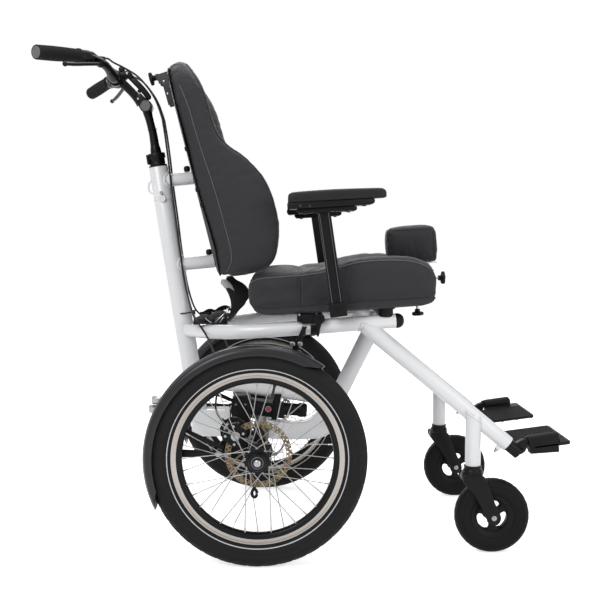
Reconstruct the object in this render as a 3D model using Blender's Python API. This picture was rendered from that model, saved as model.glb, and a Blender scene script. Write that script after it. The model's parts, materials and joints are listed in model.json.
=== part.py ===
"""Front unit of a wheelchair bike: a seat on a tube frame with two disc-braked rear wheels, two swivel
casters in front, folding footrests and a handlebar on a mast behind the back.

Metres, +Z up, +X the way the rider faces, +Y to the rider's left. The origin is on the floor, under the
middle of the whole object. Right-hand pieces are modelled and the left-hand ones are mirrored from them.
"""
import math

import bmesh
import bpy
from mathutils import Matrix, Vector

# Clearance left between two pieces that touch
GAP = 0.0003

# Rear wheels
WHEEL_X = -0.120
WHEEL_Y = 0.325
WHEEL_R = 0.255
WHEEL_SIDES = 28
HUB_SIDES = 12
RIM_R = 0.2045
RIM_HALF = 0.0125
SPOKES = 36
SPOKE_R = 0.0011
SPOKE_LEAD = 55.0
FLANGE_R = 0.031
ROTOR_R = 0.080
ROTOR_INBOARD = 0.03725
AXLE_R = 0.0075

# Casters
CASTER_X = 0.400
CASTER_Y = 0.235
CASTER_R = 0.0905
CASTER_SIDES = 20
CASTER_TRAIL = 0.047
CASTER_TUBE_END = 0.2135

# Frame
MAST_LEAN = math.radians(8.71)
MAST_R = 0.025
MAST_LENGTH = 0.697
STUB_RISE = math.radians(5.5)
STUB_R = 0.0175
ROD_R = 0.0138
RAIL_Y = 0.180
RAIL_R = 0.0178
RAIL_SLOPE = 0.075
RAIL_END = 0.219
LEG_R = 0.0190
STRUT_R = 0.0220
KEEL_R = 0.0250
BEAM_R = 0.0210
PLATE_Y = 0.264
MAST_TOP = Vector((-0.3905, 0.0, 0.952))
LEG_TOP = Vector((0.140, -RAIL_Y, 0.549))
LEG_END = Vector((0.485, -CASTER_Y, 0.265))
STRUT_TOP = Vector((0.1915, 0.0, 0.5565))
STRUT_END = Vector((0.046, 0.0, 0.262))
KEEL_REAR = Vector((-0.3056, 0.0, 0.3945))
KEEL_FRONT = Vector((0.084, 0.0, 0.339))

# Seat
SEAT_SLOPE = 0.064
SEAT_BOTTOM = 0.5855
SEAT_HALF = 0.203
PAN_THICK = 0.005
POST_Y = 0.250
PAD_SLOPE = 0.058
POST_TOP = Vector((0.034, -POST_Y, 0.838))
POST_END = Vector((0.0718, -POST_Y, 0.5785))
CLAMP_PIVOT = Vector((0.0265, -0.2059, 0.5690))

# Back
BACK_FOOT = Vector((-0.2190, 0.0, 0.675))
BACK_RAKE = math.radians(14.0)
BACK_HALF = 0.205
ARCH_START = 0.430
ARCH_HEIGHT = 0.139

# Footrests
BARREL_LOW = Vector((0.532, -CASTER_Y, 0.2735))
BARREL_HIGH = Vector((0.607, -CASTER_Y, 0.2785))

# Handlebar
BAR_R = 0.0111
CLAMP_BAR_R = 0.0159
PIVOT = Vector((-0.420, 0.0, 1.109))
BAR_MIDDLE = Vector((-0.498, 0.0, 1.180))
GRIP_INNER = Vector((-0.5526, -0.180, 1.204))
GRIP_OUTER = Vector((-0.6270, -0.289, 1.190))
LOCK_PIVOT = Vector((-0.4690, 0.0, 1.1945))
LEVER_PIVOT = Vector((-0.5060, -0.1540, 1.1930))
LEVER_TIP = Vector((-0.5680, -0.2760, 1.1750))
HOSE_ENTRY = Vector((-0.5005, -0.1375, 1.2060))
HOSE_R = 0.0025

UP = Vector((0.0, 0.0, 1.0))
SIDE = Vector((0.0, 1.0, 0.0))
AHEAD = Vector((1.0, 0.0, 0.0))
MAST_UP = Vector((-math.sin(MAST_LEAN), 0.0, math.cos(MAST_LEAN)))
STUB_AXIS = Vector((math.cos(STUB_RISE), 0.0, math.sin(STUB_RISE)))
STUB_UP = Vector((-math.sin(STUB_RISE), 0.0, math.cos(STUB_RISE)))
BACK_UP = Vector((-math.sin(BACK_RAKE), 0.0, math.cos(BACK_RAKE)))
BACK_FRONT = Vector((math.cos(BACK_RAKE), 0.0, math.sin(BACK_RAKE)))
LEG_AXIS = (LEG_END - LEG_TOP).normalized()
POST_UP = (POST_TOP - POST_END).normalized()
BARREL_AXIS = (BARREL_HIGH - BARREL_LOW).normalized()
GRIP_AXIS = (GRIP_OUTER - GRIP_INNER).normalized()
PERCH = GRIP_INNER - GRIP_AXIS * 0.0150
LEVER_UP = GRIP_AXIS.cross(PERCH - LEVER_PIVOT).normalized()
WHEEL_CENTRE = Vector((WHEEL_X, -WHEEL_Y, WHEEL_R))
CASTER_CENTRE = Vector((CASTER_X + CASTER_TRAIL, -CASTER_Y, CASTER_R))
CASTER_TOP = Vector((CASTER_X, -CASTER_Y, CASTER_TUBE_END))

# Threaded studs of the hand knobs, where they leave the pieces that they clamp
STUD_R = 0.0036
POMMEL_STUD = Vector((0.3170, 0.0, 0.6590))
SEAT_STUD = Vector((0.2960, 0.0, SEAT_BOTTOM + SEAT_SLOPE * 0.296 - PAN_THICK - 2 * GAP - 0.0055))
SEAT_STUD_AXIS = Vector((SEAT_SLOPE, 0.0, -1.0)).normalized()

# Colour, roughness and metallic value of each material
FINISHES = {
    "white_paint": ((0.80, 0.81, 0.82), 0.30, 0.0),
    "black_paint": ((0.020, 0.020, 0.022), 0.38, 0.0),
    "black_plastic": ((0.025, 0.025, 0.027), 0.50, 0.0),
    "black_anodised": ((0.030, 0.030, 0.033), 0.30, 0.6),
    "rubber": ((0.022, 0.022, 0.023), 0.75, 0.0),
    "upholstery": ((0.035, 0.035, 0.040), 0.55, 0.0),
    "webbing": ((0.018, 0.018, 0.020), 0.80, 0.0),
    "silver": ((0.62, 0.62, 0.62), 0.30, 1.0),
    "rotor_steel": ((0.36, 0.32, 0.26), 0.35, 1.0),
    "red_plastic": ((0.55, 0.03, 0.05), 0.40, 0.0),
}


def material(name):
    found = bpy.data.materials.get(name)
    if found:
        return found
    colour, roughness, metallic = FINISHES[name]
    made = bpy.data.materials.new(name)
    made.use_nodes = True
    shader = made.node_tree.nodes["Principled BSDF"]
    shader.inputs["Base Color"].default_value = (*colour, 1.0)
    shader.inputs["Roughness"].default_value = roughness
    shader.inputs["Metallic"].default_value = metallic
    made.diffuse_color = (*colour, 1.0)
    return made


# Solid builders. Each returns an object whose mesh is closed and lies where it belongs.

def object_from(bm):
    bmesh.ops.recalc_face_normals(bm, faces=bm.faces)
    if bm.calc_volume(signed=True) < 0.0:
        bmesh.ops.reverse_faces(bm, faces=bm.faces)
    mesh = bpy.data.meshes.new("solid")
    bm.to_mesh(mesh)
    bm.free()
    made = bpy.data.objects.new("solid", mesh)
    bpy.context.scene.collection.objects.link(made)
    return made


def lofted(rings, closed=False):
    """Skin over rings of equal point counts, capped at both ends unless the last ring meets the first."""
    bm = bmesh.new()
    loops = [[bm.verts.new(point) for point in ring] for ring in rings]
    pairs = list(zip(loops, loops[1:]))
    if closed:
        pairs.append((loops[-1], loops[0]))
    for first, second in pairs:
        count = len(first)
        for i in range(count):
            j = (i + 1) % count
            bm.faces.new((first[i], first[j], second[j], second[i]))
    if not closed:
        bm.faces.new(list(reversed(loops[0])))
        bm.faces.new(loops[-1])
    return object_from(bm)


def axis_pair(axis):
    helper = SIDE if abs(axis.dot(SIDE)) < 0.9 else UP
    across = axis.cross(helper).normalized()
    return across, axis.cross(across).normalized()


def turned(origin, axis, profile, segments, ring=False, phase=0.0):
    """Turned solid from (radius, distance along the axis) points. A ring's profile is a closed loop."""
    across, upright = axis_pair(axis)

    def point(radius, distance, turn):
        angle = math.radians(phase) + math.tau * turn / segments
        spoke = across * math.cos(angle) + upright * math.sin(angle)
        return origin + axis * distance + spoke * radius

    if ring:
        rings = [[point(r, d, turn) for r, d in profile] for turn in range(segments)]
        return lofted(rings, closed=True)
    return lofted([[point(r, d, turn) for turn in range(segments)] for r, d in profile])


def rod(start, end, radius, segments=12):
    axis = (end - start).normalized()
    return turned(start, axis, [(radius, 0.0), (radius, (end - start).length)], segments)


def bore(start, end, radius, segments=12):
    """Cutter whose flats clear a round bar of this radius."""
    return rod(start, end, (radius + GAP) / math.cos(math.pi / segments), segments)


def swept(points, radii, sides, flat=1.0):
    """Tube along points, with one radius or one for each point. flat scales its section one way."""
    if not isinstance(radii, list):
        radii = [radii] * len(points)
    rings = []
    across = None
    for i, point in enumerate(points):
        after = points[min(i + 1, len(points) - 1)]
        before = points[max(i - 1, 0)]
        axis = (after - before).normalized()
        if across is None:
            across, upright = axis_pair(axis)
        across = (across - axis * across.dot(axis)).normalized()
        upright = axis.cross(across)
        ring = []
        for k in range(sides):
            angle = math.tau * (k + 0.5) / sides
            spoke = across * math.cos(angle) + upright * (math.sin(angle) * flat)
            ring.append(point + spoke * radii[i])
        rings.append(ring)
    return lofted(rings)


def smooth_path(points, per_span):
    """Smooth curve through the points, with per_span steps between each two."""
    ends = [points[0] * 2 - points[1]] + points + [points[-1] * 2 - points[-2]]
    curve = []
    for a, b, c, d in zip(ends, ends[1:], ends[2:], ends[3:]):
        for step in range(per_span):
            t = step / per_span
            bend = (2 * a - 5 * b + 4 * c - d) * t ** 2 + (3 * b - a - 3 * c + d) * t ** 3
            curve.append(0.5 * (2 * b + (c - a) * t + bend))
    curve.append(points[-1])
    return curve


def slab(outline, low, high, plane="xz"):
    """Outline of (u, v) points, extruded from low to high square to its plane."""
    def point(u, v, w):
        if plane == "xz":
            return Vector((u, w, v))
        if plane == "xy":
            return Vector((u, v, w))
        return Vector((w, u, v))

    return lofted([[point(u, v, w) for u, v in outline] for w in (low, high)])


def box(low, high):
    outline = [(low[0], low[1]), (high[0], low[1]), (high[0], high[1]), (low[0], high[1])]
    return slab(outline, low[2], high[2], plane="xy")


def sloped_plate(outline, slope, low, high):
    """Plan outline of (x, y) points between two levels that rise with x."""
    return lofted([[Vector((x, y, level + slope * x)) for x, y in outline] for level in (low, high)])


def round_corners(low, high, radius, steps=3):
    """Rectangle between two corners, with round corners."""
    outline = []
    corners = ((high[0], high[1], 0), (low[0], high[1], 90), (low[0], low[1], 180), (high[0], low[1], 270))
    for u, v, start in corners:
        centre = (u - math.copysign(radius, u - (low[0] + high[0]) / 2),
                  v - math.copysign(radius, v - (low[1] + high[1]) / 2))
        outline += arc(centre, radius, start, start + 90, steps)
    return outline


def arc(centre, radius, start, end, steps):
    """Points (u, v) on an arc between two angles in degrees."""
    points = []
    for step in range(steps + 1):
        angle = math.radians(start + (end - start) * step / steps)
        points.append((centre[0] + radius * math.cos(angle), centre[1] + radius * math.sin(angle)))
    return points


def placed(made, matrix):
    made.data.transform(matrix)
    if matrix.determinant() < 0:
        made.data.flip_normals()
    return made


def axes_at(origin, x_axis, y_axis, z_axis):
    """Matrix that carries a local frame onto three axes at a point."""
    return Matrix.Translation(origin) @ Matrix((x_axis, y_axis, z_axis)).transposed().to_4x4()


def both_sides():
    """Matrices that leave a right-hand piece where it is and carry it to the left."""
    return Matrix.Identity(4), Matrix.Diagonal((1.0, -1.0, 1.0, 1.0))


def boolean(base, others, operation):
    for other in others:
        step = base.modifiers.new(operation.lower(), "BOOLEAN")
        step.operation = operation
        step.solver = "EXACT"
        step.object = other
    bpy.context.view_layer.update()
    result = bpy.data.meshes.new_from_object(base.evaluated_get(bpy.context.evaluated_depsgraph_get()))
    used = [base.data] + [other.data for other in others]
    bm = bmesh.new()
    bm.from_mesh(result)
    bmesh.ops.remove_doubles(bm, verts=bm.verts, dist=0.00002)
    bm.to_mesh(result)
    bm.free()
    base.modifiers.clear()
    base.data = result
    for other in others:
        bpy.data.objects.remove(other)
    for mesh in used:
        bpy.data.meshes.remove(mesh)
    return base


def joined(base, *others):
    return boolean(base, others, "UNION")


def cut(base, *others):
    return boolean(base, others, "DIFFERENCE")


def together(solids):
    """Several solids in one mesh, for one Boolean."""
    bm = bmesh.new()
    for solid in solids:
        bm.from_mesh(solid.data)
        bpy.data.objects.remove(solid)
    return object_from(bm)


def finish(made, name, finish_name, pivot=None, sharp=32.0):
    """Name the sub-part, give it its material and put its origin on its joint's axis."""
    made.name = name
    made.data.name = name
    made.data.materials.clear()
    made.data.materials.append(material(finish_name))
    if pivot is not None:
        made.data.transform(Matrix.Translation(-pivot))
        made.location = pivot
    made.data.shade_smooth()
    made.data.set_sharp_from_angle(angle=math.radians(sharp))
    return made


def pair(made, name, finish_name, pivot=None):
    """A right-hand sub-part and its mirror image on the left."""
    bm = bmesh.new()
    bm.from_mesh(made.data)
    bmesh.ops.scale(bm, vec=(1.0, -1.0, 1.0), verts=bm.verts)
    left_pivot = Vector((pivot.x, -pivot.y, pivot.z)) if pivot is not None else None
    finish(object_from(bm), name + "_left", finish_name, left_pivot)
    finish(made, name + "_right", finish_name, pivot)


# Frame

def rail_point(x, y):
    return Vector((x, -y, 0.522 + RAIL_SLOPE * (x + 0.31)))


def mast_cutter():
    foot = MAST_TOP - MAST_UP * (MAST_LENGTH + 0.02)
    return bore(foot, MAST_TOP + MAST_UP * 0.02, MAST_R, 24)


def beam_cutter():
    return bore(Vector((WHEEL_X, -0.1, WHEEL_R)), Vector((WHEEL_X, 0.1, WHEEL_R)), BEAM_R, 20)


def rail_cutter(side, low_x, high_x):
    return bore(rail_point(low_x, RAIL_Y * -side), rail_point(high_x, RAIL_Y * -side), RAIL_R, 20)


def stub_point(x, low):
    """Point on the axis of the upper or the lower stub tube."""
    root = Vector((-0.3490, 0.0, 0.6944)) if low else Vector((-0.3820, 0.0, 0.9159))
    return root + STUB_AXIS * ((x - root.x) / STUB_AXIS.x)


STUB_MOUTHS = {False: -0.2975, True: -0.2435}
STUB_KNOBS = {False: -0.3130, True: -0.2560}


def mast_tube():
    """Leaning mast with its bored stub tubes, weld sleeves, foot boss and receiver block."""
    mast = rod(MAST_TOP - MAST_UP * MAST_LENGTH, MAST_TOP, MAST_R, 18)
    parts = []
    bores = [rod(MAST_TOP - MAST_UP * 0.200, MAST_TOP + MAST_UP * 0.010, 0.0215, 14)]
    for low in (False, True):
        mouth = stub_point(STUB_MOUTHS[low], low)
        root = stub_point(mouth.x - (0.111 if low else 0.090), low)
        length = (mouth - root).length
        parts.append(turned(root, STUB_AXIS, [(0.0205, 0.0), (0.0205, 0.031), (STUB_R, 0.033), (STUB_R, length)], 14))
        bores.append(bore(mouth - STUB_AXIS * (0.080 if low else 0.060), mouth + STUB_AXIS * 0.010, ROD_R))
        knob = stub_point(STUB_KNOBS[low], low)
        bores.append(rod(knob + STUB_UP * 0.010, knob + STUB_UP * 0.025, 0.0034, 8))
    receiver = slab(round_corners((-0.305, 0.238), (-0.203, 0.309), 0.008, 2), -0.027, 0.027)
    boss = slab([(-0.330, 0.294), (-0.280, 0.294), (-0.292, 0.346), (-0.330, 0.346)], -0.018, 0.018)
    joined(mast, *parts, receiver, boss)
    return finish(cut(mast, *bores), "mast_tube", "white_paint")


def side_frame():
    """Seat rail bent in to the mast, with the front leg, the caster's head tube and the leg's clamp boss."""
    bend = [(-0.330, 0.000), (-0.296, 0.040), (-0.274, 0.072), (-0.250, 0.104), (-0.226, 0.128), (-0.190, 0.153),
            (-0.145, 0.170), (-0.080, RAIL_Y), (RAIL_END, RAIL_Y)]
    rail = swept([rail_point(x, y) for x, y in bend], RAIL_R, 14)
    cap = turned(rail_point(RAIL_END - 0.003, RAIL_Y), Vector((1.0, 0.0, RAIL_SLOPE)).normalized(),
                 [(0.0172, 0.0), (0.0172, 0.006), (0.0140, 0.0145), (0.0060, 0.0200)], 12)
    leg = rod(LEG_TOP, LEG_END, LEG_R, 14)
    crossing = LEG_TOP + LEG_AXIS * ((CASTER_X - LEG_TOP.x) / LEG_AXIS.x)
    head = rod(CASTER_TOP, Vector((CASTER_X, -CASTER_Y, crossing.z)), 0.0187, 14)
    down = SIDE.cross(LEG_AXIS).normalized()
    boss_point = LEG_END - LEG_AXIS * 0.030
    boss = rod(boss_point + down * 0.012, boss_point + down * 0.0262, 0.0062, 8)
    joined(rail, cap, leg, head, boss)
    socket = bore(LEG_END - LEG_AXIS * 0.160, LEG_END + LEG_AXIS * 0.010, 0.0157)
    bearing = bore(CASTER_TOP - UP * 0.010, CASTER_TOP + UP * 0.0695, 0.0092, 10)
    other_side = box((-0.60, -GAP / 2, 0.4), (0.0, 0.2, 0.7))
    return cut(rail, mast_cutter(), socket, bearing, other_side)


def keel_frame():
    """Keel tube, rear strut, cross tube under the seat and the scooped gusset plate."""
    keel = rod(KEEL_REAR, KEEL_FRONT, KEEL_R, 18)
    strut = rod(STRUT_END, STRUT_TOP, STRUT_R, 16)
    cross = rod(rail_point(STRUT_TOP.x, RAIL_Y), rail_point(STRUT_TOP.x, -RAIL_Y), 0.016, 12)
    scoop = [(-0.108, 0.281), (-0.085, 0.279), (-0.060, 0.2735), (-0.030, 0.2715), (0.000, 0.2750), (0.020, 0.287)]
    strut_side = [(0.046, 0.312), (0.066, 0.258)]
    belly = [(0.026, 0.2290), (-0.020, 0.2265), (-0.070, 0.2270), (-0.108, 0.2310)]
    gusset = slab(scoop + strut_side + belly, -0.020, 0.020)
    joined(keel, strut, cross, gusset)
    rails = [rail_cutter(side, 0.10, 0.26) for side in (-1, 1)]
    return finish(cut(keel, mast_cutter(), beam_cutter(), *rails), "keel_frame", "white_paint")


def axle_beam():
    """Cross beam with an end plate, a stub axle and a dome nut at each end."""
    outline = arc((WHEEL_X, WHEEL_R), 0.034, -100, 70, 6)
    outline += [(-0.150, 0.322), (-0.172, 0.338), (-0.196, 0.334), (-0.213, 0.312), (-0.206, 0.283)]
    outline += arc((-0.215, 0.257), 0.0165, 90, 250, 3)
    stub = [(0.0120, 0.0), (0.0120, 0.0195), (AXLE_R, 0.0200), (AXLE_R, 0.1115), (0.0112, 0.1120),
            (0.0112, 0.1150), (0.0075, 0.1200)]
    parts = []
    for side in both_sides():
        parts.append(placed(slab(outline, -PLATE_Y, -0.256), side))
        centre = Vector((WHEEL_X, -PLATE_Y + 0.004, WHEEL_R))
        parts.append(placed(turned(centre, -SIDE, stub, 10), side))
    beam = rod(Vector((WHEEL_X, -0.258, WHEEL_R)), Vector((WHEEL_X, 0.258, WHEEL_R)), BEAM_R, 16)
    return finish(joined(beam, *parts), "axle_beam", "black_paint")


def coupling_pins():
    """Flange on the mast's foot boss with the two pins that plug into the bicycle half."""
    flange = box((-0.3385, -0.020, 0.292), (-0.3303, 0.020, 0.348))
    pins = []
    for x, z in ((-0.4135, 0.331), (-0.4215, 0.307)):
        length = -0.3340 - x
        profile = [(0.0100, 0.0), (0.0100, length - 0.002), (0.0080, length)]
        pins.append(turned(Vector((-0.3340, 0.0, z)), -AHEAD, profile, 12))
    return finish(joined(flange, *pins), "coupling_pins", "silver")


BUTTON = Vector((-0.1010, -0.0230, 0.3115))


def lock_unit():
    """Black unit between keel and beam: an upright housing, a cylinder reaching forward and a flat stay."""
    housing = slab(round_corners((-0.199, 0.236), (-0.1495, 0.3440), 0.009, 2), -0.030, 0.030)
    neck = slab([(-0.155, 0.298), (-0.060, 0.285), (-0.060, 0.322), (-0.155, 0.335)], -0.0265, 0.024)
    cylinder = turned(Vector((-0.080, 0.0, 0.3085)), Vector((1.0, 0.0, -0.075)).normalized(),
                      [(0.0165, 0.0), (0.0165, 0.058), (0.0185, 0.060), (0.0185, 0.078), (0.0150, 0.082)], 12)
    stay = slab([(-0.088, 0.352), (-0.066, 0.352), (-0.078, 0.284), (-0.094, 0.284)], -0.0310, -0.0262)
    joined(housing, neck, cylinder, stay)
    keel = bore(KEEL_REAR, KEEL_FRONT, KEEL_R, 18)
    hole = bore(BUTTON - SIDE * 0.017, BUTTON + SIDE * 0.0045, 0.0054, 8)
    return finish(cut(housing, keel, beam_cutter(), hole), "lock_unit", "black_plastic")


def release_button():
    button = turned(BUTTON, -SIDE, [(0.0054, 0.0), (0.0054, 0.0085), (0.0040, 0.0100)], 8)
    return finish(button, "release_button", "red_plastic", pivot=BUTTON)


# Rear wheels

def on_flats(profile, sides):
    """Profile widened so that a ring of so many sides has its flats, not its corners, at these radii."""
    return [(radius / math.cos(math.pi / sides), distance) for radius, distance in profile]


def both_halves(half):
    return half + [(radius, -distance) for radius, distance in reversed(half)]


def wheel_ring(profile):
    return turned(WHEEL_CENTRE, SIDE, on_flats(profile, WHEEL_SIDES), WHEEL_SIDES, ring=True,
                  phase=180.0 / WHEEL_SIDES)


def tyre():
    """Tyre with a flat tread line, round shoulders and beads inside the rim's walls."""
    half = [(WHEEL_R, 0.0080), (0.2420, 0.0242), (0.2052, 0.0140), (0.2052, 0.0100), (0.2008, 0.0096)]
    return wheel_ring(both_halves(half))


def spoke(number):
    """Tangential spoke from a hub flange to the rim, alternately from the outer and the inner flange."""
    outer = number % 2 == 0
    leading = number % 4 < 2
    rim_angle = math.tau * number / SPOKES
    hub_angle = rim_angle + math.radians(SPOKE_LEAD if leading else -SPOKE_LEAD)
    hub_y = (-0.027 if outer else 0.029) + (0.0016 if leading else -0.0016)
    rim_y = -0.004 if outer else 0.004
    start = Vector((0.0285 * math.cos(hub_angle), hub_y, 0.0285 * math.sin(hub_angle)))
    end = Vector((0.1785 * math.cos(rim_angle), rim_y, 0.1785 * math.sin(rim_angle)))
    return rod(WHEEL_CENTRE + start, WHEEL_CENTRE + end, SPOKE_R, 3)


def wheel():
    """Channel rim, three-cross spokes and a hub whose inboard end is shaped for the rotor."""
    walls = [(RIM_R, RIM_HALF), (0.1770, 0.0095)]
    well = [(RIM_R, -0.0105), (0.1990, -0.0098), (0.1990, 0.0098), (RIM_R, 0.0105)]
    rim = wheel_ring(list(reversed(both_halves(walls))) + list(reversed(well)))
    inside = (AXLE_R + GAP) / math.cos(math.pi / HUB_SIDES)
    hub_profile = [(inside, -0.0445), (0.0180, -0.0445), (0.0180, -0.0350), (FLANGE_R, -0.0310),
                   (FLANGE_R, -0.0270), (0.0190, -0.0240), (0.0190, 0.0220), (FLANGE_R, 0.0250),
                   (FLANGE_R, 0.0290), (0.0185, 0.0460), (inside, 0.0460)]
    hub = turned(WHEEL_CENTRE, -SIDE, hub_profile, HUB_SIDES, ring=True)
    spokes = together([spoke(number) for number in range(SPOKES)])
    return joined(together([rim, hub]), spokes)


def rotor():
    """Brake rotor: mounting ring, six swept arms and braking ring, all of one sheet."""
    sectors = 18
    radii = (0.0185, 0.0280, 0.0640, ROTOR_R)
    lag = (0.0, 0.0, 20.0, 20.0)
    thick = 0.0009
    bm = bmesh.new()
    verts = {}
    for ring in range(4):
        for sector in range(sectors):
            angle = math.radians(360.0 / sectors * sector + lag[ring])
            for side in (-1, 1):
                offset = Vector((radii[ring] * math.cos(angle), ROTOR_INBOARD + side * thick,
                                 radii[ring] * math.sin(angle)))
                verts[ring, sector, side] = bm.verts.new(WHEEL_CENTRE + offset)
    filled = {(ring, sector) for ring in (0, 2) for sector in range(sectors)}
    filled |= {(1, sector) for sector in range(0, sectors, 3)}
    for ring, sector in filled:
        after = (sector + 1) % sectors
        for side in (-1, 1):
            bm.faces.new((verts[ring, sector, side], verts[ring, after, side],
                          verts[ring + 1, after, side], verts[ring + 1, sector, side]))
        edges = (((ring - 1, sector), (ring, sector), (ring, after)),
                 ((ring + 1, sector), (ring + 1, sector), (ring + 1, after)),
                 ((ring, after), (ring, after), (ring + 1, after)),
                 ((ring, (sector - 1) % sectors), (ring, sector), (ring + 1, sector)))
        for neighbour, first, second in edges:
            if neighbour not in filled:
                bm.faces.new((verts[(*first, -1)], verts[(*second, -1)], verts[(*second, 1)], verts[(*first, 1)]))
    return object_from(bm)


CALIPER_ANGLE = math.radians(140.0)


def caliper_place():
    return Matrix.Translation((WHEEL_X, 0.0, WHEEL_R)) @ Matrix.Rotation(-CALIPER_ANGLE, 4, "Y")


def brake_caliper():
    """Two halves bridged over the edge of the rotor, on two standoffs from the axle plate."""
    body = slab(round_corners((0.050, -0.024), (0.096, 0.024), 0.007, 1), -0.2978, -0.2705)
    slot = box((0.040, -0.29475, -0.030), (0.0825, -0.28075, 0.030))
    cut(body, slot)
    parts = [rod(Vector((0.088, -0.274, v)), Vector((0.088, -PLATE_Y - GAP, v)), 0.0045, 8)
             for v in (-0.015, 0.015)]
    parts.append(rod(Vector((0.092, -0.2755, -0.006)), Vector((0.110, -0.2755, -0.006)), 0.0042, 8))
    return placed(joined(body, *parts), caliper_place())


def fender():
    """Mudguard shell with a pointed rear end, the strap to the seat clamp and the stay to the axle plate."""
    steps = 15
    first = 54.0
    last = 206.0
    outer = [(0.2470, -0.0320), (0.2620, -0.0310), (0.2705, -0.0120)]
    inner = [(0.2470, 0.0298), (0.2605, 0.0288), (0.2682, 0.0112)]
    profile = both_halves(outer) + both_halves(inner)
    rings = []
    for step in range(steps + 1):
        angle = math.radians(first + (last - first) * step / steps)
        rings.append([WHEEL_CENTRE + Vector((r * math.cos(angle), y, r * math.sin(angle))) for r, y in profile])
    shell = lofted(rings)
    tip = WHEEL_CENTRE + Vector((0.2705 * math.cos(math.radians(last)), 0.0, 0.2705 * math.sin(math.radians(last))))
    trim = box((-0.020, -0.060, -0.080), (0.080, 0.060, 0.0))
    placed(trim, Matrix.Translation(tip + Vector((-0.002, 0.0, 0.004))) @ Matrix.Rotation(math.radians(-38), 4, "Y"))
    cut(shell, trim)
    bent = [(-0.2944, 0.4892), (-0.2944, 0.4925), (-0.2096, 0.4925), (-0.2096, 0.5480), (-0.2060, 0.5480),
            (-0.2060, 0.4892)]
    strap = slab(bent, -0.046, -0.014, "yz")
    stay = slab([(-0.2050, 0.2500), (-0.2050, 0.2640), (-0.3740, 0.2720), (-0.3740, 0.2470)], -0.2932, -0.2897)
    foot = rod(Vector((-0.2150, -PLATE_Y - GAP, 0.257)), Vector((-0.2150, -0.2915, 0.257)), 0.0050, 8)
    return joined(shell, strap, stay, foot)


# Casters

def caster_fork():
    """Stem, collar and crown, with two blades that sweep forward to the axle pin."""
    collar = CASTER_TUBE_END - 0.188 - GAP
    stem = turned(CASTER_TOP - UP * (CASTER_TUBE_END - 0.188), UP,
                  [(0.0225, 0.0), (0.0240, 0.012), (0.0205, 0.0175), (0.0205, collar), (0.0092, collar + 0.0001),
                   (0.0092, 0.090)], 10)
    outline = [(0.3675, 0.1900), (0.3720, 0.2030), (0.4200, 0.2030), (0.4360, 0.1740), (0.4480, 0.1400)]
    outline += arc((CASTER_CENTRE.x, CASTER_CENTRE.z), 0.0175, 30, -160, 4)
    outline += [(0.4180, 0.1080), (0.3980, 0.1480)]
    crown = slab([(0.3700, 0.1885), (0.3735, 0.2025), (0.4180, 0.2025), (0.4250, 0.1885)],
                 -CASTER_Y - 0.0270, -CASTER_Y + 0.0270)
    blades = [slab(outline, -CASTER_Y + y - 0.0028, -CASTER_Y + y + 0.0028) for y in (-0.0275, 0.0275)]
    pin = turned(CASTER_CENTRE - SIDE * 0.0345, SIDE,
                 [(0.0064, 0.0), (0.0064, 0.0060), (0.0045, 0.0062), (0.0045, 0.0628), (0.0064, 0.0630),
                  (0.0064, 0.0690)], 8)
    return joined(stem, crown, *blades, pin)


def caster_tyre():
    half = [(CASTER_R, 0.0070), (0.0860, 0.0185), (0.0740, 0.0215), (0.0520, 0.0150)]
    profile = on_flats(both_halves(half), CASTER_SIDES)
    return turned(CASTER_CENTRE, SIDE, profile, CASTER_SIDES, ring=True, phase=180.0 / CASTER_SIDES)


def caster_wheel():
    """Moulded centre: outer ring, five tapered spokes and a hub bored for the pin."""
    ring_profile = [(0.0515, 0.0150), (0.0515, -0.0150), (0.0375, -0.0115), (0.0375, 0.0115)]
    ring = turned(CASTER_CENTRE, SIDE, ring_profile, CASTER_SIDES, ring=True, phase=180.0 / CASTER_SIDES)
    inside = (0.0045 + GAP) / math.cos(math.pi / 8)
    hub_profile = [(0.0150, 0.0235), (0.0150, -0.0235), (inside, -0.0235), (inside, 0.0235)]
    hub = turned(CASTER_CENTRE, SIDE, hub_profile, 8, ring=True)
    spokes = []
    for number in range(5):
        angle = math.radians(72.0 * number + 25.0)
        along = Vector((math.cos(angle), 0.0, math.sin(angle)))
        across = Vector((-along.z, 0.0, along.x))
        rings = []
        for r, half_width, half_depth in ((0.0125, 0.0080, 0.0110), (0.0400, 0.0058, 0.0070)):
            corners = ((1, 1), (-1, 1), (-1, -1), (1, -1))
            rings.append([CASTER_CENTRE + along * r + across * (u * half_width) + SIDE * (v * half_depth)
                          for u, v in corners])
        spokes.append(lofted(rings))
    return joined(hub, ring, *spokes)


# Footrests

def footrest_bar():
    """Bar that slides in the end of the leg, with its bent neck and the pin that the plate folds on."""
    bar = rod(LEG_END - LEG_AXIS * 0.100, LEG_END + LEG_AXIS * 0.033, 0.0157, 12)
    neck = slab([(0.4980, 0.2430), (0.5190, 0.2350), (0.5300, 0.2480), (0.5300, 0.2830), (0.5180, 0.2830),
                 (0.5100, 0.2640)], -CASTER_Y - 0.0085, -CASTER_Y + 0.0085)
    pin = rod(BARREL_LOW - BARREL_AXIS * 0.008, BARREL_HIGH, 0.0060, 8)
    return joined(bar, neck, pin)


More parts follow.
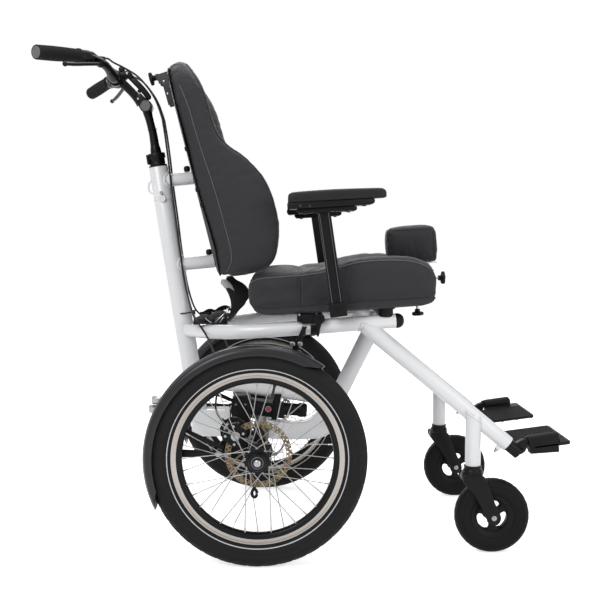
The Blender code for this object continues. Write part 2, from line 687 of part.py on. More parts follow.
def footplate():
    """Hinge barrel with its block, and a plate with rounded corners and two stiffening ribs."""
    barrel = rod(BARREL_LOW, BARREL_HIGH + BARREL_AXIS * 0.002, 0.0148, 12)
    block = slab([(-CASTER_Y - 0.0145, 0.2480), (-CASTER_Y - 0.0145, 0.2760), (-CASTER_Y + 0.0140, 0.2760),
                  (-0.2050, 0.2675), (-0.2050, 0.2555), (-0.2200, 0.2480)], 0.5335, 0.6050, "yz")
    plate = slab(round_corners((0.494, -0.212), (0.636, -0.065), 0.012), 0.2610, 0.2680, "xy")
    ribs = [box((x, -0.206, 0.2560), (x + 0.005, -0.075, 0.2630)) for x in (0.545, 0.585)]
    joined(barrel, block, plate, *ribs)
    return cut(barrel, bore(BARREL_LOW - BARREL_AXIS * 0.010, BARREL_HIGH + BARREL_AXIS * 0.0005, 0.0060, 8))


# Handlebar and its stem

def stem_collar():
    """Clamp collar on the mast's top, with its split lug in front."""
    profile = [(0.0149, GAP), (0.0262, GAP), (0.0262, 0.0060), (0.0218, 0.0075), (0.0218, 0.0235), (0.0238, 0.0250),
               (0.0238, 0.0365), (0.0149, 0.0365)]
    ring = turned(MAST_TOP, MAST_UP, profile, 14, ring=True)
    across = Vector((math.cos(MAST_LEAN), 0.0, math.sin(MAST_LEAN)))
    lug = placed(box((-0.0360, -0.0085, 0.0260), (-0.0200, 0.0085, 0.0355)), axes_at(MAST_TOP, across, SIDE, MAST_UP))
    return finish(joined(ring, lug), "stem_collar", "black_anodised")


def stem_post():
    """Post that slides in the mast, waisted above it and bored at the pivot."""
    foot = MAST_TOP - MAST_UP * 0.130
    neck = PIVOT - Vector((-0.0036, 0.0, 0.0360))
    throat = PIVOT - Vector((-0.0018, 0.0, 0.0180))
    points = [foot, MAST_TOP + MAST_UP * 0.044, MAST_TOP + MAST_UP * 0.052, MAST_TOP + MAST_UP * 0.090, neck, throat,
              PIVOT]
    post = swept(points, [0.0143, 0.0143, 0.0122, 0.0122, 0.0122, 0.0116, 0.0116], 12)
    boss = rod(PIVOT - SIDE * 0.0125, PIVOT + SIDE * 0.0125, 0.0165, 16)
    joined(post, boss)
    hole = bore(PIVOT - SIDE * 0.030, PIVOT + SIDE * 0.030, 0.0042, 10)
    return finish(cut(post, hole), "stem_post", "black_anodised", pivot=MAST_TOP)


def stem_arm():
    """Arched arm from two cheeks at the pivot to the bar clamp, with the horns that carry the lock lever."""
    spine = smooth_path([Vector(p) for p in ((-0.4360, 0.0, 1.1230), (-0.4430, 0.0, 1.1350), (-0.4570, 0.0, 1.1520),
                                             (-0.4760, 0.0, 1.1680), (-0.4960, 0.0, 1.1800))], 1)
    arm = swept(spine, [0.0125, 0.0120, 0.0114, 0.0114, 0.0120], 12)
    clamp = rod(BAR_MIDDLE - SIDE * 0.0210, BAR_MIDDLE + SIDE * 0.0210, 0.0205, 14)
    cheek = arc((PIVOT.x, PIVOT.z), 0.0163, -150, 60, 5) + [(-0.4290, 1.1370), (-0.4480, 1.1270)]
    cheeks = [slab(cheek, y - 0.0026, y + 0.0026) for y in (-0.0156, 0.0156)]
    bridge = slab([(-0.4400, 1.1170), (-0.4480, 1.1270), (-0.4400, 1.1390), (-0.4290, 1.1320)], -0.0155, 0.0155)
    pin = turned(PIVOT - SIDE * 0.0215, SIDE,
                 [(0.0135, 0.0), (0.0135, 0.0040), (0.0042, 0.0042), (0.0042, 0.0388), (0.0135, 0.0390),
                  (0.0135, 0.0430)], 10)
    horn = slab([(-0.4960, 1.1900), (-0.4740, 1.1780), (-0.4625, 1.1880), (-0.4690, 1.1995), (-0.4820, 1.2000)],
                -0.0050, 0.0050)
    joined(arm, clamp, *cheeks, bridge, pin, horn)
    bores = [bore(BAR_MIDDLE - SIDE * 0.030, BAR_MIDDLE + SIDE * 0.030, CLAMP_BAR_R, 14),
             bore(LOCK_PIVOT - SIDE * 0.030, LOCK_PIVOT + SIDE * 0.030, 0.0024, 8)]
    return finish(cut(arm, *bores), "stem_arm", "black_anodised", pivot=PIVOT)


def stem_lever():
    """Lock lever above the stem arm, forked over the horn and pinned through it."""
    spine = [Vector(p) for p in ((-0.4580, 0.0, 1.1900), (-0.4420, 0.0, 1.1740), (-0.4270, 0.0, 1.1560),
                                 (-0.4150, 0.0, 1.1370))]
    blade = swept(spine, [0.0060, 0.0062, 0.0062, 0.0048], 10, flat=1.4)
    ear = [(-0.4600, 1.1830), (-0.4735, 1.1900), (-0.4740, 1.1985), (-0.4660, 1.2010), (-0.4520, 1.1880)]
    ears = [slab(ear, y - 0.0017, y + 0.0017) for y in (-0.0070, 0.0070)]
    pin = rod(LOCK_PIVOT - SIDE * 0.0078, LOCK_PIVOT + SIDE * 0.0078, 0.0024, 8)
    relief = rod(LOCK_PIVOT - SIDE * 0.0053, LOCK_PIVOT + SIDE * 0.0053, 0.0120, 14)
    cut(blade, relief)
    return finish(joined(blade, *ears, pin), "stem_lever", "black_anodised", pivot=LOCK_PIVOT)


def perch_bracket():
    """Tapered bracket from the bar out to the brake lever's pivot."""
    reach = LEVER_PIVOT - PERCH
    rings = []
    for t, wide, tall in ((0.18, 0.0092, 0.0125), (0.70, 0.0080, 0.0115), (1.15, 0.0078, 0.0102)):
        across = reach.cross(LEVER_UP).normalized()
        corners = ((1, 1), (-1, 1), (-1, -1), (1, -1))
        rings.append([PERCH + reach * t + across * (u * wide) + LEVER_UP * (v * tall) for u, v in corners])
    return lofted(rings)


def handlebar():
    """One bent tube, thick in the stem's clamp, with both brake lever perches clamped on it."""
    half = [Vector(p) for p in ((-0.498, -0.040, 1.180), (-0.5000, -0.070, 1.188), (-0.5085, -0.105, 1.1985),
                                (-0.5270, -0.142, 1.2050))]
    right = smooth_path(half + [GRIP_INNER], 2) + [GRIP_OUTER - GRIP_AXIS * 0.006]
    left = [Vector((p.x, -p.y, p.z)) for p in right]
    points = list(reversed(left)) + right
    radii = []
    for p in points:
        blend = min(max((abs(p.y) - 0.040) / 0.040, 0.0), 1.0)
        radii.append(CLAMP_BAR_R + (BAR_R - CLAMP_BAR_R) * blend)
    bar = swept(points, radii, 10)
    extras = []
    reliefs = []
    for side in both_sides():
        extras.append(placed(rod(PERCH - GRIP_AXIS * 0.0110, PERCH + GRIP_AXIS * 0.0110, 0.0150, 12), side))
        extras.append(placed(perch_bracket(), side))
        extras.append(placed(rod(PERCH + (LEVER_PIVOT - PERCH) * 0.45 + UP * 0.0035, HOSE_ENTRY, 0.0046, 8), side))
        low = LEVER_PIVOT - LEVER_UP * 0.0074
        reliefs.append(placed(turned(low, LEVER_UP, [(0.0190, 0.0), (0.0190, 0.0148)], 12), side))
    joined(bar, *extras)
    return finish(cut(bar, *reliefs), "handlebar", "black_anodised", pivot=PIVOT)


def brake_lever():
    """Blade from the pivot, bowed away from the grip, with a ball at its tip."""
    spine = [LEVER_PIVOT, Vector((-0.5130, -0.1760, 1.1890)), Vector((-0.5300, -0.2110, 1.1830)),
             Vector((-0.5500, -0.2480, 1.1780)), LEVER_TIP, LEVER_TIP + Vector((0.0020, -0.0080, -0.0010))]
    blade = swept(spine, [0.0044, 0.0046, 0.0046, 0.0046, 0.0054, 0.0034], 8, flat=1.1)
    eye = rod(LEVER_PIVOT - LEVER_UP * 0.0069, LEVER_PIVOT + LEVER_UP * 0.0069, 0.0088, 10)
    return joined(eye, blade)


def grip():
    """Soft sleeve over the bar's end, with a flange at its inner end and a palm swell."""
    length = (GRIP_OUTER - GRIP_INNER).length
    profile = [(0.0175, 0.0), (0.0175, 0.005), (0.0152, 0.008), (0.0172, 0.090), (0.0166, length - 0.004),
               (0.0145, length)]
    sleeve = turned(GRIP_INNER, GRIP_AXIS, profile, 12)
    return cut(sleeve, bore(GRIP_INNER - GRIP_AXIS * 0.010, GRIP_OUTER - GRIP_AXIS * 0.0055, BAR_R, 10))


def hose_route():
    """Right-hand brake hose from its lever's perch, down beside the mast, round the rail to the calliper."""
    direction = (HOSE_ENTRY - (PERCH + (LEVER_PIVOT - PERCH) * 0.45 + UP * 0.0035)).normalized()
    start = [HOSE_ENTRY + direction * GAP, HOSE_ENTRY + direction * 0.016]
    inlet = [caliper_place() @ Vector((r, -0.2755, -0.006)) for r in (0.1230, 0.1100 + GAP)]
    middle = [Vector(p) for p in (
        (-0.4640, -0.0950, 1.2130), (-0.4520, -0.0560, 1.2060), (-0.4330, -0.0360, 1.1800), (-0.4090, -0.0280, 1.1450),
        (-0.3880, -0.0260, 1.1000), (-0.3730, -0.0260, 1.0450), (-0.3665, -0.0265, 0.9700), (-0.3600, -0.0270, 0.9000),
        (-0.3490, -0.0250, 0.8100), (-0.3380, -0.0250, 0.7150), (-0.3270, -0.0240, 0.6400), (-0.3140, -0.0320, 0.5820),
        (-0.3000, -0.0640, 0.5560), (-0.2770, -0.1080, 0.5360), (-0.2500, -0.1400, 0.5120), (-0.2300, -0.1760, 0.4740),
        (-0.2210, -0.2130, 0.4310), (-0.2210, -0.2440, 0.3930), (-0.2220, -0.2670, 0.3600))]
    return start + middle + inlet


def thinned(points, turn, reach):
    """Keeps the points of a smooth curve where it has turned by an angle or run on for a length."""
    picked = points[:2]
    heading = points[1] - points[0]
    for i in range(2, len(points) - 2):
        step = points[i + 1] - points[i]
        if heading.angle(step) > turn or (points[i] - picked[-1]).length > reach:
            picked.append(points[i])
            heading = step
    return picked + points[-2:]


def brake_hose(name, side):
    route = thinned(smooth_path(hose_route(), 3), math.radians(14), 0.090)
    curve = bpy.data.curves.new(name, "CURVE")
    curve.dimensions = "3D"
    curve.bevel_depth = HOSE_R
    curve.bevel_resolution = 2
    curve.use_fill_caps = True
    spline = curve.splines.new("POLY")
    spline.points.add(len(route) - 1)
    for point, place in zip(spline.points, route):
        point.co = (place.x, place.y * side, place.z, 1.0)
    curve.materials.append(material("rubber"))
    hose = bpy.data.objects.new(name, curve)
    bpy.context.scene.collection.objects.link(hose)
    return hose


# Seat

def seat_bottom(x):
    return SEAT_BOTTOM + SEAT_SLOPE * x


def seat_clamp():
    """Block round the seat rail, under the pan, with the boss of its cam lever."""
    under_pan = -PAN_THICK - 2 * GAP
    low_x = -0.027
    high_x = 0.034
    block = slab([(low_x, 0.5210), (high_x, 0.5210), (high_x, seat_bottom(high_x) + under_pan),
                  (low_x, seat_bottom(low_x) + under_pan)], -0.2055, -0.1560)
    boss = rod(CLAMP_PIVOT + SIDE * 0.0020, CLAMP_PIVOT - SIDE * 0.0070, 0.0046, 8)
    return cut(joined(block, boss), rail_cutter(-1, -0.06, 0.07))


def seat_clamp_lever():
    """Cam lever on the clamp's boss, hanging down when it is shut."""
    eye = turned(CLAMP_PIVOT, -SIDE, [(0.0053, 0.0), (0.0135, 0.0), (0.0135, 0.0080), (0.0115, 0.0100),
                                      (0.0053, 0.0100)], 12, ring=True)
    blade = slab([(0.0190, 0.5600), (0.0340, 0.5600), (0.0300, 0.5320), (0.0250, 0.5240), (0.0190, 0.5270),
                  (0.0205, 0.5400)], -0.2140, -0.2085)
    return joined(eye, blade)


def post_place(height):
    """Carries an upright local frame onto the leaning armrest post."""
    return axes_at(POST_END + POST_UP * height, Vector((POST_UP.z, 0.0, -POST_UP.x)), SIDE, POST_UP)


def seat_pan():
    """Board under the cushion, with its clamp ears, spacers on the rails and armrest sleeves."""
    low = SEAT_BOTTOM - PAN_THICK - GAP
    high = SEAT_BOTTOM - GAP
    edge = [(-0.105, 0.170), (-0.028, 0.170), (-0.028, 0.198), (0.035, 0.198), (0.035, 0.170), (0.054, 0.170),
            (0.054, POST_Y - 0.012), (0.086, POST_Y - 0.012), (0.086, 0.170), (0.168, 0.170), (0.168, 0.200),
            (0.214, 0.200), (0.214, 0.170), (0.302, 0.150)]
    pan = sloped_plate(edge + [(x, -y) for x, y in reversed(edge)], SEAT_SLOPE, low, high)
    parts = []
    cutters = [bore(rail_point(STRUT_TOP.x, -0.2), rail_point(STRUT_TOP.x, 0.2), 0.016, 14)]
    for side in both_sides():
        foot = Vector((STRUT_TOP.x, -RAIL_Y, 0.565))
        parts.append(placed(rod(foot, Vector((foot.x, foot.y, seat_bottom(foot.x) - 0.003)), 0.0185, 12), side))
        parts.append(placed(box((-0.0200, -0.0150, 0.0), (0.0200, 0.0150, 0.0340)), side @ post_place(0.0)))
        cutters.append(placed(box((-0.0153, -0.0103, -0.020), (0.0153, 0.0103, 0.060)), side @ post_place(0.0)))
    joined(pan, *parts)
    cutters += [rail_cutter(side, 0.10, 0.26) for side in (-1, 1)]
    cutters.append(bore(SEAT_STUD - SEAT_STUD_AXIS * 0.030, SEAT_STUD, STUD_R, 8))
    return finish(cut(pan, *cutters), "seat_pan", "black_plastic")


def armrest_post():
    """Grooved bar with the stepped carrier of the pad on its top."""
    bar = placed(box((-0.0150, -0.0100, 0.0), (0.0150, 0.0100, 0.262)), post_place(0.0))
    groove = placed(box((-0.0085, -0.0110, -0.010), (0.0085, -0.0085, 0.235)), post_place(0.0))
    cut(bar, groove)

    def level(x, height):
        return 0.8435 + height + PAD_SLOPE * (x - 0.034)

    outline = [(-0.0270, level(-0.0270, -0.0165)), (0.1120, level(0.1120, -0.0165)), (0.1120, level(0.1120, 0.0)),
               (0.1560, level(0.1560, 0.0)), (0.1560, level(0.1560, 0.0120)), (-0.0480, level(-0.0480, 0.0120)),
               (-0.0480, level(-0.0480, 0.0)), (-0.0270, level(-0.0270, 0.0))]
    return joined(bar, slab(outline, -POST_Y - 0.0170, -POST_Y + 0.0170))


def armpad():
    """Moulded arm pad, crowned, with a drawn-in foot and rounded ends."""
    section = ((-0.70, 0.0), (0.70, 0.0), (1.0, 0.28), (0.96, 0.78), (0.60, 0.97), (0.0, 1.0), (-0.60, 0.97),
               (-0.96, 0.78), (-1.0, 0.28))
    stations = ((-0.0510, 0.022, 0.004, 0.0200), (-0.0450, 0.031, GAP, 0.0260), (0.0000, 0.0355, GAP, 0.0285),
                (0.0700, 0.0360, GAP, 0.0290), (0.1350, 0.0350, GAP, 0.0280), (0.1720, 0.0310, GAP, 0.0245),
                (0.1825, 0.0190, 0.005, 0.0165))
    rings = []
    for x, half, low, high in stations:
        base = 0.8555 + PAD_SLOPE * (x - 0.034)
        rings.append([Vector((x, -POST_Y - 0.004 + half * u, base + low + (high - low) * v)) for u, v in section])
    return lofted(rings)


def seat_cushion():
    """Contoured cushion: drawn-in sides, a crowned rear half, a seam groove and raised thigh supports."""
    stations = (  # x, half-width, height of the thigh supports, height of the middle, rise of the underside
        (-0.1490, 0.168, 0.650, 0.652, 0.030), (-0.1420, 0.184, 0.663, 0.668, 0.016),
        (-0.1250, 0.196, 0.673, 0.681, 0.004), (-0.0900, 0.200, 0.677, 0.687, GAP),
        (-0.0270, SEAT_HALF, 0.683, 0.692, GAP), (-0.0210, SEAT_HALF - 0.004, 0.680, 0.689, GAP),
        (-0.0150, SEAT_HALF, 0.684, 0.6925, GAP), (0.0350, SEAT_HALF, 0.690, 0.693, GAP),
        (0.0720, SEAT_HALF, 0.703, 0.6925, GAP), (0.1230, SEAT_HALF, 0.717, 0.6915, GAP),
        (0.1750, SEAT_HALF, 0.722, 0.691, GAP), (0.2400, SEAT_HALF, 0.721, 0.690, GAP),
        (0.2780, 0.201, 0.712, 0.685, GAP), (0.3010, 0.197, 0.695, 0.674, 0.001), (0.3110, 0.190, 0.670, 0.656, 0.012))
    rings = []
    for x, half, ridge, middle, rise in stations:
        base = seat_bottom(x) + rise
        tall = ridge - base
        inside = middle + (ridge - middle) * (0.55 if ridge > middle else 0.35)
        right = [(half * 0.965, base), (half * 1.005, base + tall * 0.18), (half * 0.972, base + tall * 0.52),
                 (half * 0.995, base + tall * 0.84), (half * 0.955, ridge - 0.001), (half * 0.82, ridge),
                 (half * 0.55, inside), (half * 0.25, middle + 0.0005)]
        rings.append([Vector((x, y, z)) for y, z in right] + [Vector((x, -y, z)) for y, z in reversed(right)])
    return finish(lofted(rings), "seat_cushion", "upholstery", sharp=60)


def hip_belt():
    """Webbing strap laid over the rails, with a loop on each side that runs up to the foot of the back."""
    thick = 0.0013
    rest = rail_point(-0.228, 0.0).z + RAIL_R + GAP
    loop = [(-0.2205, 0.6690), (-0.2010, 0.6520), (-0.1800, 0.6270), (-0.1760, 0.5990), (-0.1930, 0.5740),
            (-0.2180, 0.5570), (-0.2450, rest + 0.0025)]
    path = smooth_path([Vector((x, 0.0, z)) for x, z in loop], 2)
    ribbons = []
    for y in (-0.090, 0.090):
        rings = []
        for i, point in enumerate(path):
            along = (path[min(i + 1, len(path) - 1)] - path[max(i - 1, 0)]).normalized()
            normal = Vector((-along.z, 0.0, along.x))
            rings.append([point + normal * (n * thick) + SIDE * (y + w * 0.019)
                          for n, w in ((1, 1), (-1, 1), (-1, -1), (1, -1))])
        ribbons.append(lofted(rings))
    bridge = box((-0.2600, -0.112, rest), (-0.2280, 0.112, rest + 0.0040))
    return finish(joined(bridge, *ribbons), "hip_belt", "webbing")


# Pommel

def pommel_bracket():
    """Bracket bolted under the front of the pan, with an upright in front of the cushion."""
    def shelf(x, level):
        return seat_bottom(x) - PAN_THICK - 2 * GAP + level

    outline = [(0.2400, shelf(0.240, -0.0055)), (0.3200, shelf(0.320, -0.0055)), (0.3200, 0.6720), (0.3160, 0.6720),
               (0.3160, shelf(0.316, 0.0)), (0.2400, shelf(0.240, 0.0))]
    bracket = slab(outline, -0.0200, 0.0200)
    front_hole = bore(POMMEL_STUD - AHEAD * 0.010, POMMEL_STUD + AHEAD * 0.020, STUD_R, 8)
    under_hole = bore(SEAT_STUD - SEAT_STUD_AXIS * 0.010, SEAT_STUD + SEAT_STUD_AXIS * 0.020, STUD_R, 8)
    return finish(cut(bracket, front_hole, under_hole), "pommel_bracket", "black_paint")


def pommel_bar():
    """Slotted bar that slides on the bracket, with the shelf that carries the pommel pad."""
    outline = [(0.3203, 0.5980), (0.3243, 0.5980), (0.3243, 0.6990), (0.3460, 0.6990), (0.3460, 0.7030), (0.2600, 0.7030),
               (0.2600, 0.6990), (0.3203, 0.6990)]
    bar = slab(outline, -0.0175, 0.0175)
    slot = slab(round_corners((-0.0042, 0.6050), (0.0042, 0.6680), 0.0041, 2), 0.3100, 0.3300, "yz")
    return finish(cut(bar, slot), "pommel_bar", "silver")


def pommel_pad():
    """Wedge pad between the knees, wider in front, with crowned sides."""
    section = ((-0.86, 0.0), (0.86, 0.0), (1.0, 0.14), (1.04, 0.5), (0.99, 0.88), (0.82, 1.0), (-0.82, 1.0),
               (-0.99, 0.88), (-1.04, 0.5), (-1.0, 0.14))
    base = 0.7030 + GAP
    stations = ((0.0, -0.009, 0.009, 0.7780), (0.035, -0.003, 0.002, 0.7870), (0.16, 0.0, 0.0, 0.7910),
                (0.5, 0.0, 0.0, 0.7925), (0.84, 0.0, 0.0, 0.7900), (0.965, -0.003, 0.002, 0.7860),
                (1.0, -0.009, 0.008, 0.7780))
    rings = []
    for t, inset, rise, high in stations:
        half = 0.034 + 0.020 * t + inset
        low = base + rise
        rings.append([Vector((0.2140 + 0.1300 * t, half * u, low + (high - low) * v)) for u, v in section])
    return finish(lofted(rings), "pommel_pad", "upholstery", sharp=60)


# Knobs

def star_knob(name, origin, axis, stud, neck, radius=0.0178, lobes=5):
    """Lobed hand knob: its stud runs through what it clamps, its neck stands between that and the head."""
    across, upright = axis_pair(axis)
    steps = lobes * 3
    rings = []
    for height, grow in ((0.0, 0.90), (0.0020, 1.0), (0.0080, 1.0), (0.0098, 0.84)):
        ring = []
        for k in range(steps):
            reach = radius * grow * (0.76 if k % 3 == 0 else 1.0)
            angle = math.tau * (k + (0.0, -0.18, 0.18)[k % 3]) / steps
            spoke = across * math.cos(angle) + upright * math.sin(angle)
            ring.append(origin + axis * (stud + neck + height) + spoke * reach)
        rings.append(ring)
    profile = [(STUD_R, 0.0), (STUD_R, stud), (0.0072, stud + 0.0001), (0.0080, stud + neck + 0.002)]
    shank = turned(origin, axis, profile, 8)
    return finish(joined(shank, lofted(rings)), name, "black_plastic", pivot=origin + axis * stud)


def dome_knob(name, low):
    """Small clamp knob on a stub tube, with its stud through the tube's wall."""
    origin = stub_point(STUB_KNOBS[low], low) + STUB_UP * (STUB_R + GAP)
    profile = [(0.0029, -0.0030), (0.0029, 0.0), (0.0072, 0.0001), (0.0085, 0.0060), (0.0085, 0.0105), (0.0045, 0.0150)]
    return finish(turned(origin, STUB_UP, profile, 8), name, "black_plastic", pivot=origin)


# Back

def back_point(y, up, front):
    return BACK_FOOT + SIDE * y + BACK_UP * up + BACK_FRONT * front


def back_half_width(up):
    """Half-width of the arched outline at a height up the back."""
    if up < ARCH_START:
        return BACK_HALF - 0.012 * max(0.0, 1.0 - up / 0.05)
    t = min((up - ARCH_START) / ARCH_HEIGHT, 1.0)
    return BACK_HALF * math.sqrt(max(0.0, 1.0 - t ** 2.6))


def back_shell():
    """Moulded shell with turned-in sides, its two rods with their flanges and the headrest clamp."""
    rings = []
    for up in (-0.004, 0.010, 0.060, 0.200, 0.430, 0.480, 0.520, 0.545, 0.558):
        half = back_half_width(up) - 0.012
        lip = 0.0040 if half > 0.190 else -0.0010
        section = ((-1.0, -0.0015), (-0.90, -0.0062), (0.90, -0.0062), (1.0, -0.0015), (1.0, lip), (0.93, -0.0010),
                   (-0.93, -0.0010), (-1.0, lip))
        rings.append([back_point(half * u, up, front) for u, front in section])
    shell = lofted(rings)
    parts = []
    for low in (False, True):
        start = stub_point(STUB_MOUTHS[low] - 0.055, low)
        to_shell = -0.0048 - (start - BACK_FOOT).dot(BACK_FRONT)
        end = start + STUB_AXIS * (to_shell / STUB_AXIS.dot(BACK_FRONT))
        parts.append(rod(start, end, ROD_R, 12))
        parts.append(rod(end - BACK_FRONT * 0.0045, end + BACK_FRONT * 0.0012, 0.0225, 12))
    bracket = slab([(-0.0040, 0.450), (-0.0330, 0.450), (-0.0330, 0.512), (-0.0498, 0.516), (-0.0498, 0.553),
                    (-0.0300, 0.558), (-0.0040, 0.545)], -0.0180, 0.0180)
    parts.append(placed(bracket, axes_at(BACK_FOOT, BACK_FRONT, SIDE, BACK_UP)))
    joined(shell, *parts)
    hole = bore(back_point(0.0, 0.5367, -0.060), back_point(0.0, 0.5367, -0.034), STUD_R, 8)
    return finish(cut(shell, hole), "back_shell", "black_plastic")


def back_cushion():
    """Upholstered back with an arched top and two wings that reach forward beside the trunk."""
    stations = (  # height up the back, how far the wings and the middle stand in front of the shell
        (-0.0170, 0.060, 0.030), (-0.0060, 0.120, 0.052), (0.0140, 0.148, 0.062), (0.0600, 0.168, 0.066),
        (0.0970, 0.177, 0.067), (0.1600, 0.177, 0.067), (0.2150, 0.164, 0.066), (0.2630, 0.138, 0.065),
        (0.3080, 0.100, 0.064), (0.3500, 0.084, 0.063), (0.4400, 0.081, 0.061), (0.4800, 0.072, 0.060),
        (0.5150, 0.060, 0.057), (0.5400, 0.050, 0.050), (0.5570, 0.036, 0.036), (0.5640, 0.024, 0.024))
    rings = []
    for up, wing, middle in stations:
        half = back_half_width(up) - (0.016 if up < -0.01 else 0.0)
        inner = max(half - 0.060, half * 0.5)
        hollow = max(wing - middle, 0.0)
        right = [(half * 0.30, 0.0), (half * 0.88, 0.0), (half * 0.975, 0.011), (half, 0.034 * wing / 0.084),
                 (half * 0.997, wing * 0.74), (half - 0.10 * (half - inner), wing - 0.010),
                 (half - 0.38 * (half - inner), wing), (half - 0.66 * (half - inner), wing - 0.07 * hollow - 0.003),
                 (inner, middle + hollow * 0.38), (inner - 0.016 * half / BACK_HALF, middle + hollow * 0.04),
                 (inner * 0.45, middle)]
        if up < 0.0:
            right[0:2] = [(half * 0.30, 0.010), (half * 0.88, 0.010)]
        rings.append([back_point(y, up, f) for y, f in right] + [back_point(-y, up, f) for y, f in reversed(right)])
    return finish(lofted(rings), "back_cushion", "upholstery", sharp=60)


def build():
    for existing in list(bpy.data.objects):
        bpy.data.objects.remove(existing)
    mast_tube()
    pair(side_frame(), "side_frame", "white_paint")
    keel_frame()
    axle_beam()
    coupling_pins()
    lock_unit()
    release_button()
    pair(tyre(), "tyre", "rubber", WHEEL_CENTRE)
    pair(wheel(), "wheel", "silver", WHEEL_CENTRE)
    pair(rotor(), "rotor", "rotor_steel", WHEEL_CENTRE)
    pair(brake_caliper(), "brake_caliper", "black_paint")
    pair(fender(), "fender", "black_plastic")
    pair(caster_fork(), "caster_fork", "black_paint", CASTER_TOP)
    pair(caster_tyre(), "caster_tyre", "rubber", CASTER_CENTRE)
    pair(caster_wheel(), "caster_wheel", "black_plastic", CASTER_CENTRE)
    pair(footrest_bar(), "footrest_bar", "black_paint", LEG_END)
    pair(footplate(), "footplate", "black_plastic", BARREL_LOW)
    stem_collar()
    stem_post()
    stem_arm()
    stem_lever()
    handlebar()
    pair(grip(), "grip", "rubber", PIVOT)
    pair(brake_lever(), "brake_lever", "black_anodised", LEVER_PIVOT)
    brake_hose("brake_hose_right", 1.0)
    brake_hose("brake_hose_left", -1.0)
    pair(seat_clamp(), "seat_clamp", "black_plastic")
    pair(seat_clamp_lever(), "seat_clamp_lever", "black_plastic", CLAMP_PIVOT)
    seat_pan()
    seat_cushion()
    pair(armrest_post(), "armrest_post", "black_paint", POST_END)
    pair(armpad(), "armpad", "rubber", POST_END)
    hip_belt()
    pommel_bracket()
    pommel_bar()
    pommel_pad()
    star_knob("pommel_knob", POMMEL_STUD, AHEAD, 0.0076, 0.0260)
    star_knob("seat_knob", SEAT_STUD - SEAT_STUD_AXIS * 0.0100, SEAT_STUD_AXIS, 0.0103, 0.0090, radius=0.0205)
    star_knob("headrest_knob", back_point(0.0, 0.5367, -0.0360), -BACK_FRONT, 0.0171, 0.0015)
    dome_knob("stub_knob_upper", False)
    dome_knob("stub_knob_lower", True)
    back_shell()
    back_cushion()


build()
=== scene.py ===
import json
import math

import bmesh
import bpy
import numpy as np
from mathutils import Matrix, Vector, noise
from mathutils.bvhtree import BVHTree
from mathutils.kdtree import KDTree

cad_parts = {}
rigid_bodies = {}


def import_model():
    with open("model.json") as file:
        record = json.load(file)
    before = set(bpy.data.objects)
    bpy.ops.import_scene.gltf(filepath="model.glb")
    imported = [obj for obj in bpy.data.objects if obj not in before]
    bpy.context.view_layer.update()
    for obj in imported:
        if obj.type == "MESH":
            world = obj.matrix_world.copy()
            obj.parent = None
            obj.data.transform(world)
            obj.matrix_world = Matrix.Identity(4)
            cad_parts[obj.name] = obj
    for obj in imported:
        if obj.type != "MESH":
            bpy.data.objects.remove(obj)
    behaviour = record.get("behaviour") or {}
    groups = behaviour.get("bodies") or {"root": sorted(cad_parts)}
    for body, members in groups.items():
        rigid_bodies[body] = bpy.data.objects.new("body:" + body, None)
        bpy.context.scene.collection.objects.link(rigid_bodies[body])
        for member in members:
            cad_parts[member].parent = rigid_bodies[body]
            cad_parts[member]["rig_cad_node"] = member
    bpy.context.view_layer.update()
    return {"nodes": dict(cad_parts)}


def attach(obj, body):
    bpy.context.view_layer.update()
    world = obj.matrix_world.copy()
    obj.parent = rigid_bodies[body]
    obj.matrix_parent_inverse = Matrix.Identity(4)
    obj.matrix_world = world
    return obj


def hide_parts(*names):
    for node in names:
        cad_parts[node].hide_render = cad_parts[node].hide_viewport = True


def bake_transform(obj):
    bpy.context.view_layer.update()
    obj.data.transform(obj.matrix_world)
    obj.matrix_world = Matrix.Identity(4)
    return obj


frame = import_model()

# Directions and places, in metres. x is ahead, y to the left, z up; side pieces are drawn on the right.

V = Vector
UP = V((0, 0, 1))
SIDE = V((0, 1, 0))
AHEAD = V((1, 0, 0))
WHEEL = V((-0.12, -0.325, 0.255))
CASTER = V((0.447, -0.235, 0.0905))
LEAN = math.radians(8.71)
MAST_UP = V((-math.sin(LEAN), 0, math.cos(LEAN)))
MAST_TOP = V((-0.3905, 0, 0.952))
RISE = math.radians(5.5)
STUB_AXIS = V((math.cos(RISE), 0, math.sin(RISE)))
STUB_UP = V((-math.sin(RISE), 0, math.cos(RISE)))
MAST_RADIUS = 0.025
MAST_LENGTH = 0.697
RAIL_Y = 0.18
RAIL_RADIUS = 0.0178
RAIL_WAY = V((1.0, 0.0, 0.075)).normalized()
LEG_TOP = V((0.14, -0.18, 0.549))
LEG_END = V((0.485, -0.235, 0.265))
LEG_AXIS = (LEG_END - LEG_TOP).normalized()
LEG_RADIUS = 0.019
STRUT_TOP = V((0.1915, 0, 0.5565))
STRUT_END = V((0.046, 0, 0.262))
STRUT_RADIUS = 0.022
CROSS_RADIUS = 0.016
KEEL_REAR = V((-0.3056, 0, 0.3945))
KEEL_FRONT = V((0.084, 0, 0.339))
KEEL_RADIUS = 0.025
FORK_HEAD = V((0.4, -0.235, 0.2135))
FOOT_Y = -0.235
FOOT_HINGE_REAR = V((0.532, -0.235, 0.2735))
FOOT_HINGE_FRONT = V((0.607, -0.235, 0.2785))
FOOT_HINGE_WAY = (FOOT_HINGE_FRONT - FOOT_HINGE_REAR).normalized()
CALIPER_TURN = Matrix.Translation((WHEEL.x, 0.0, WHEEL.z)) @ Matrix.Rotation(-math.radians(140.0), 4, "Y")
BACK_FOOT = V((-0.219, 0, 0.675))
RAKE = math.radians(14.0)
BACK_UP = V((-math.sin(RAKE), 0, math.cos(RAKE)))
BACK_FRONT = V((math.cos(RAKE), 0, math.sin(RAKE)))
ARM_Y = -0.254
POST_END = V((0.0718, -0.25, 0.5785))
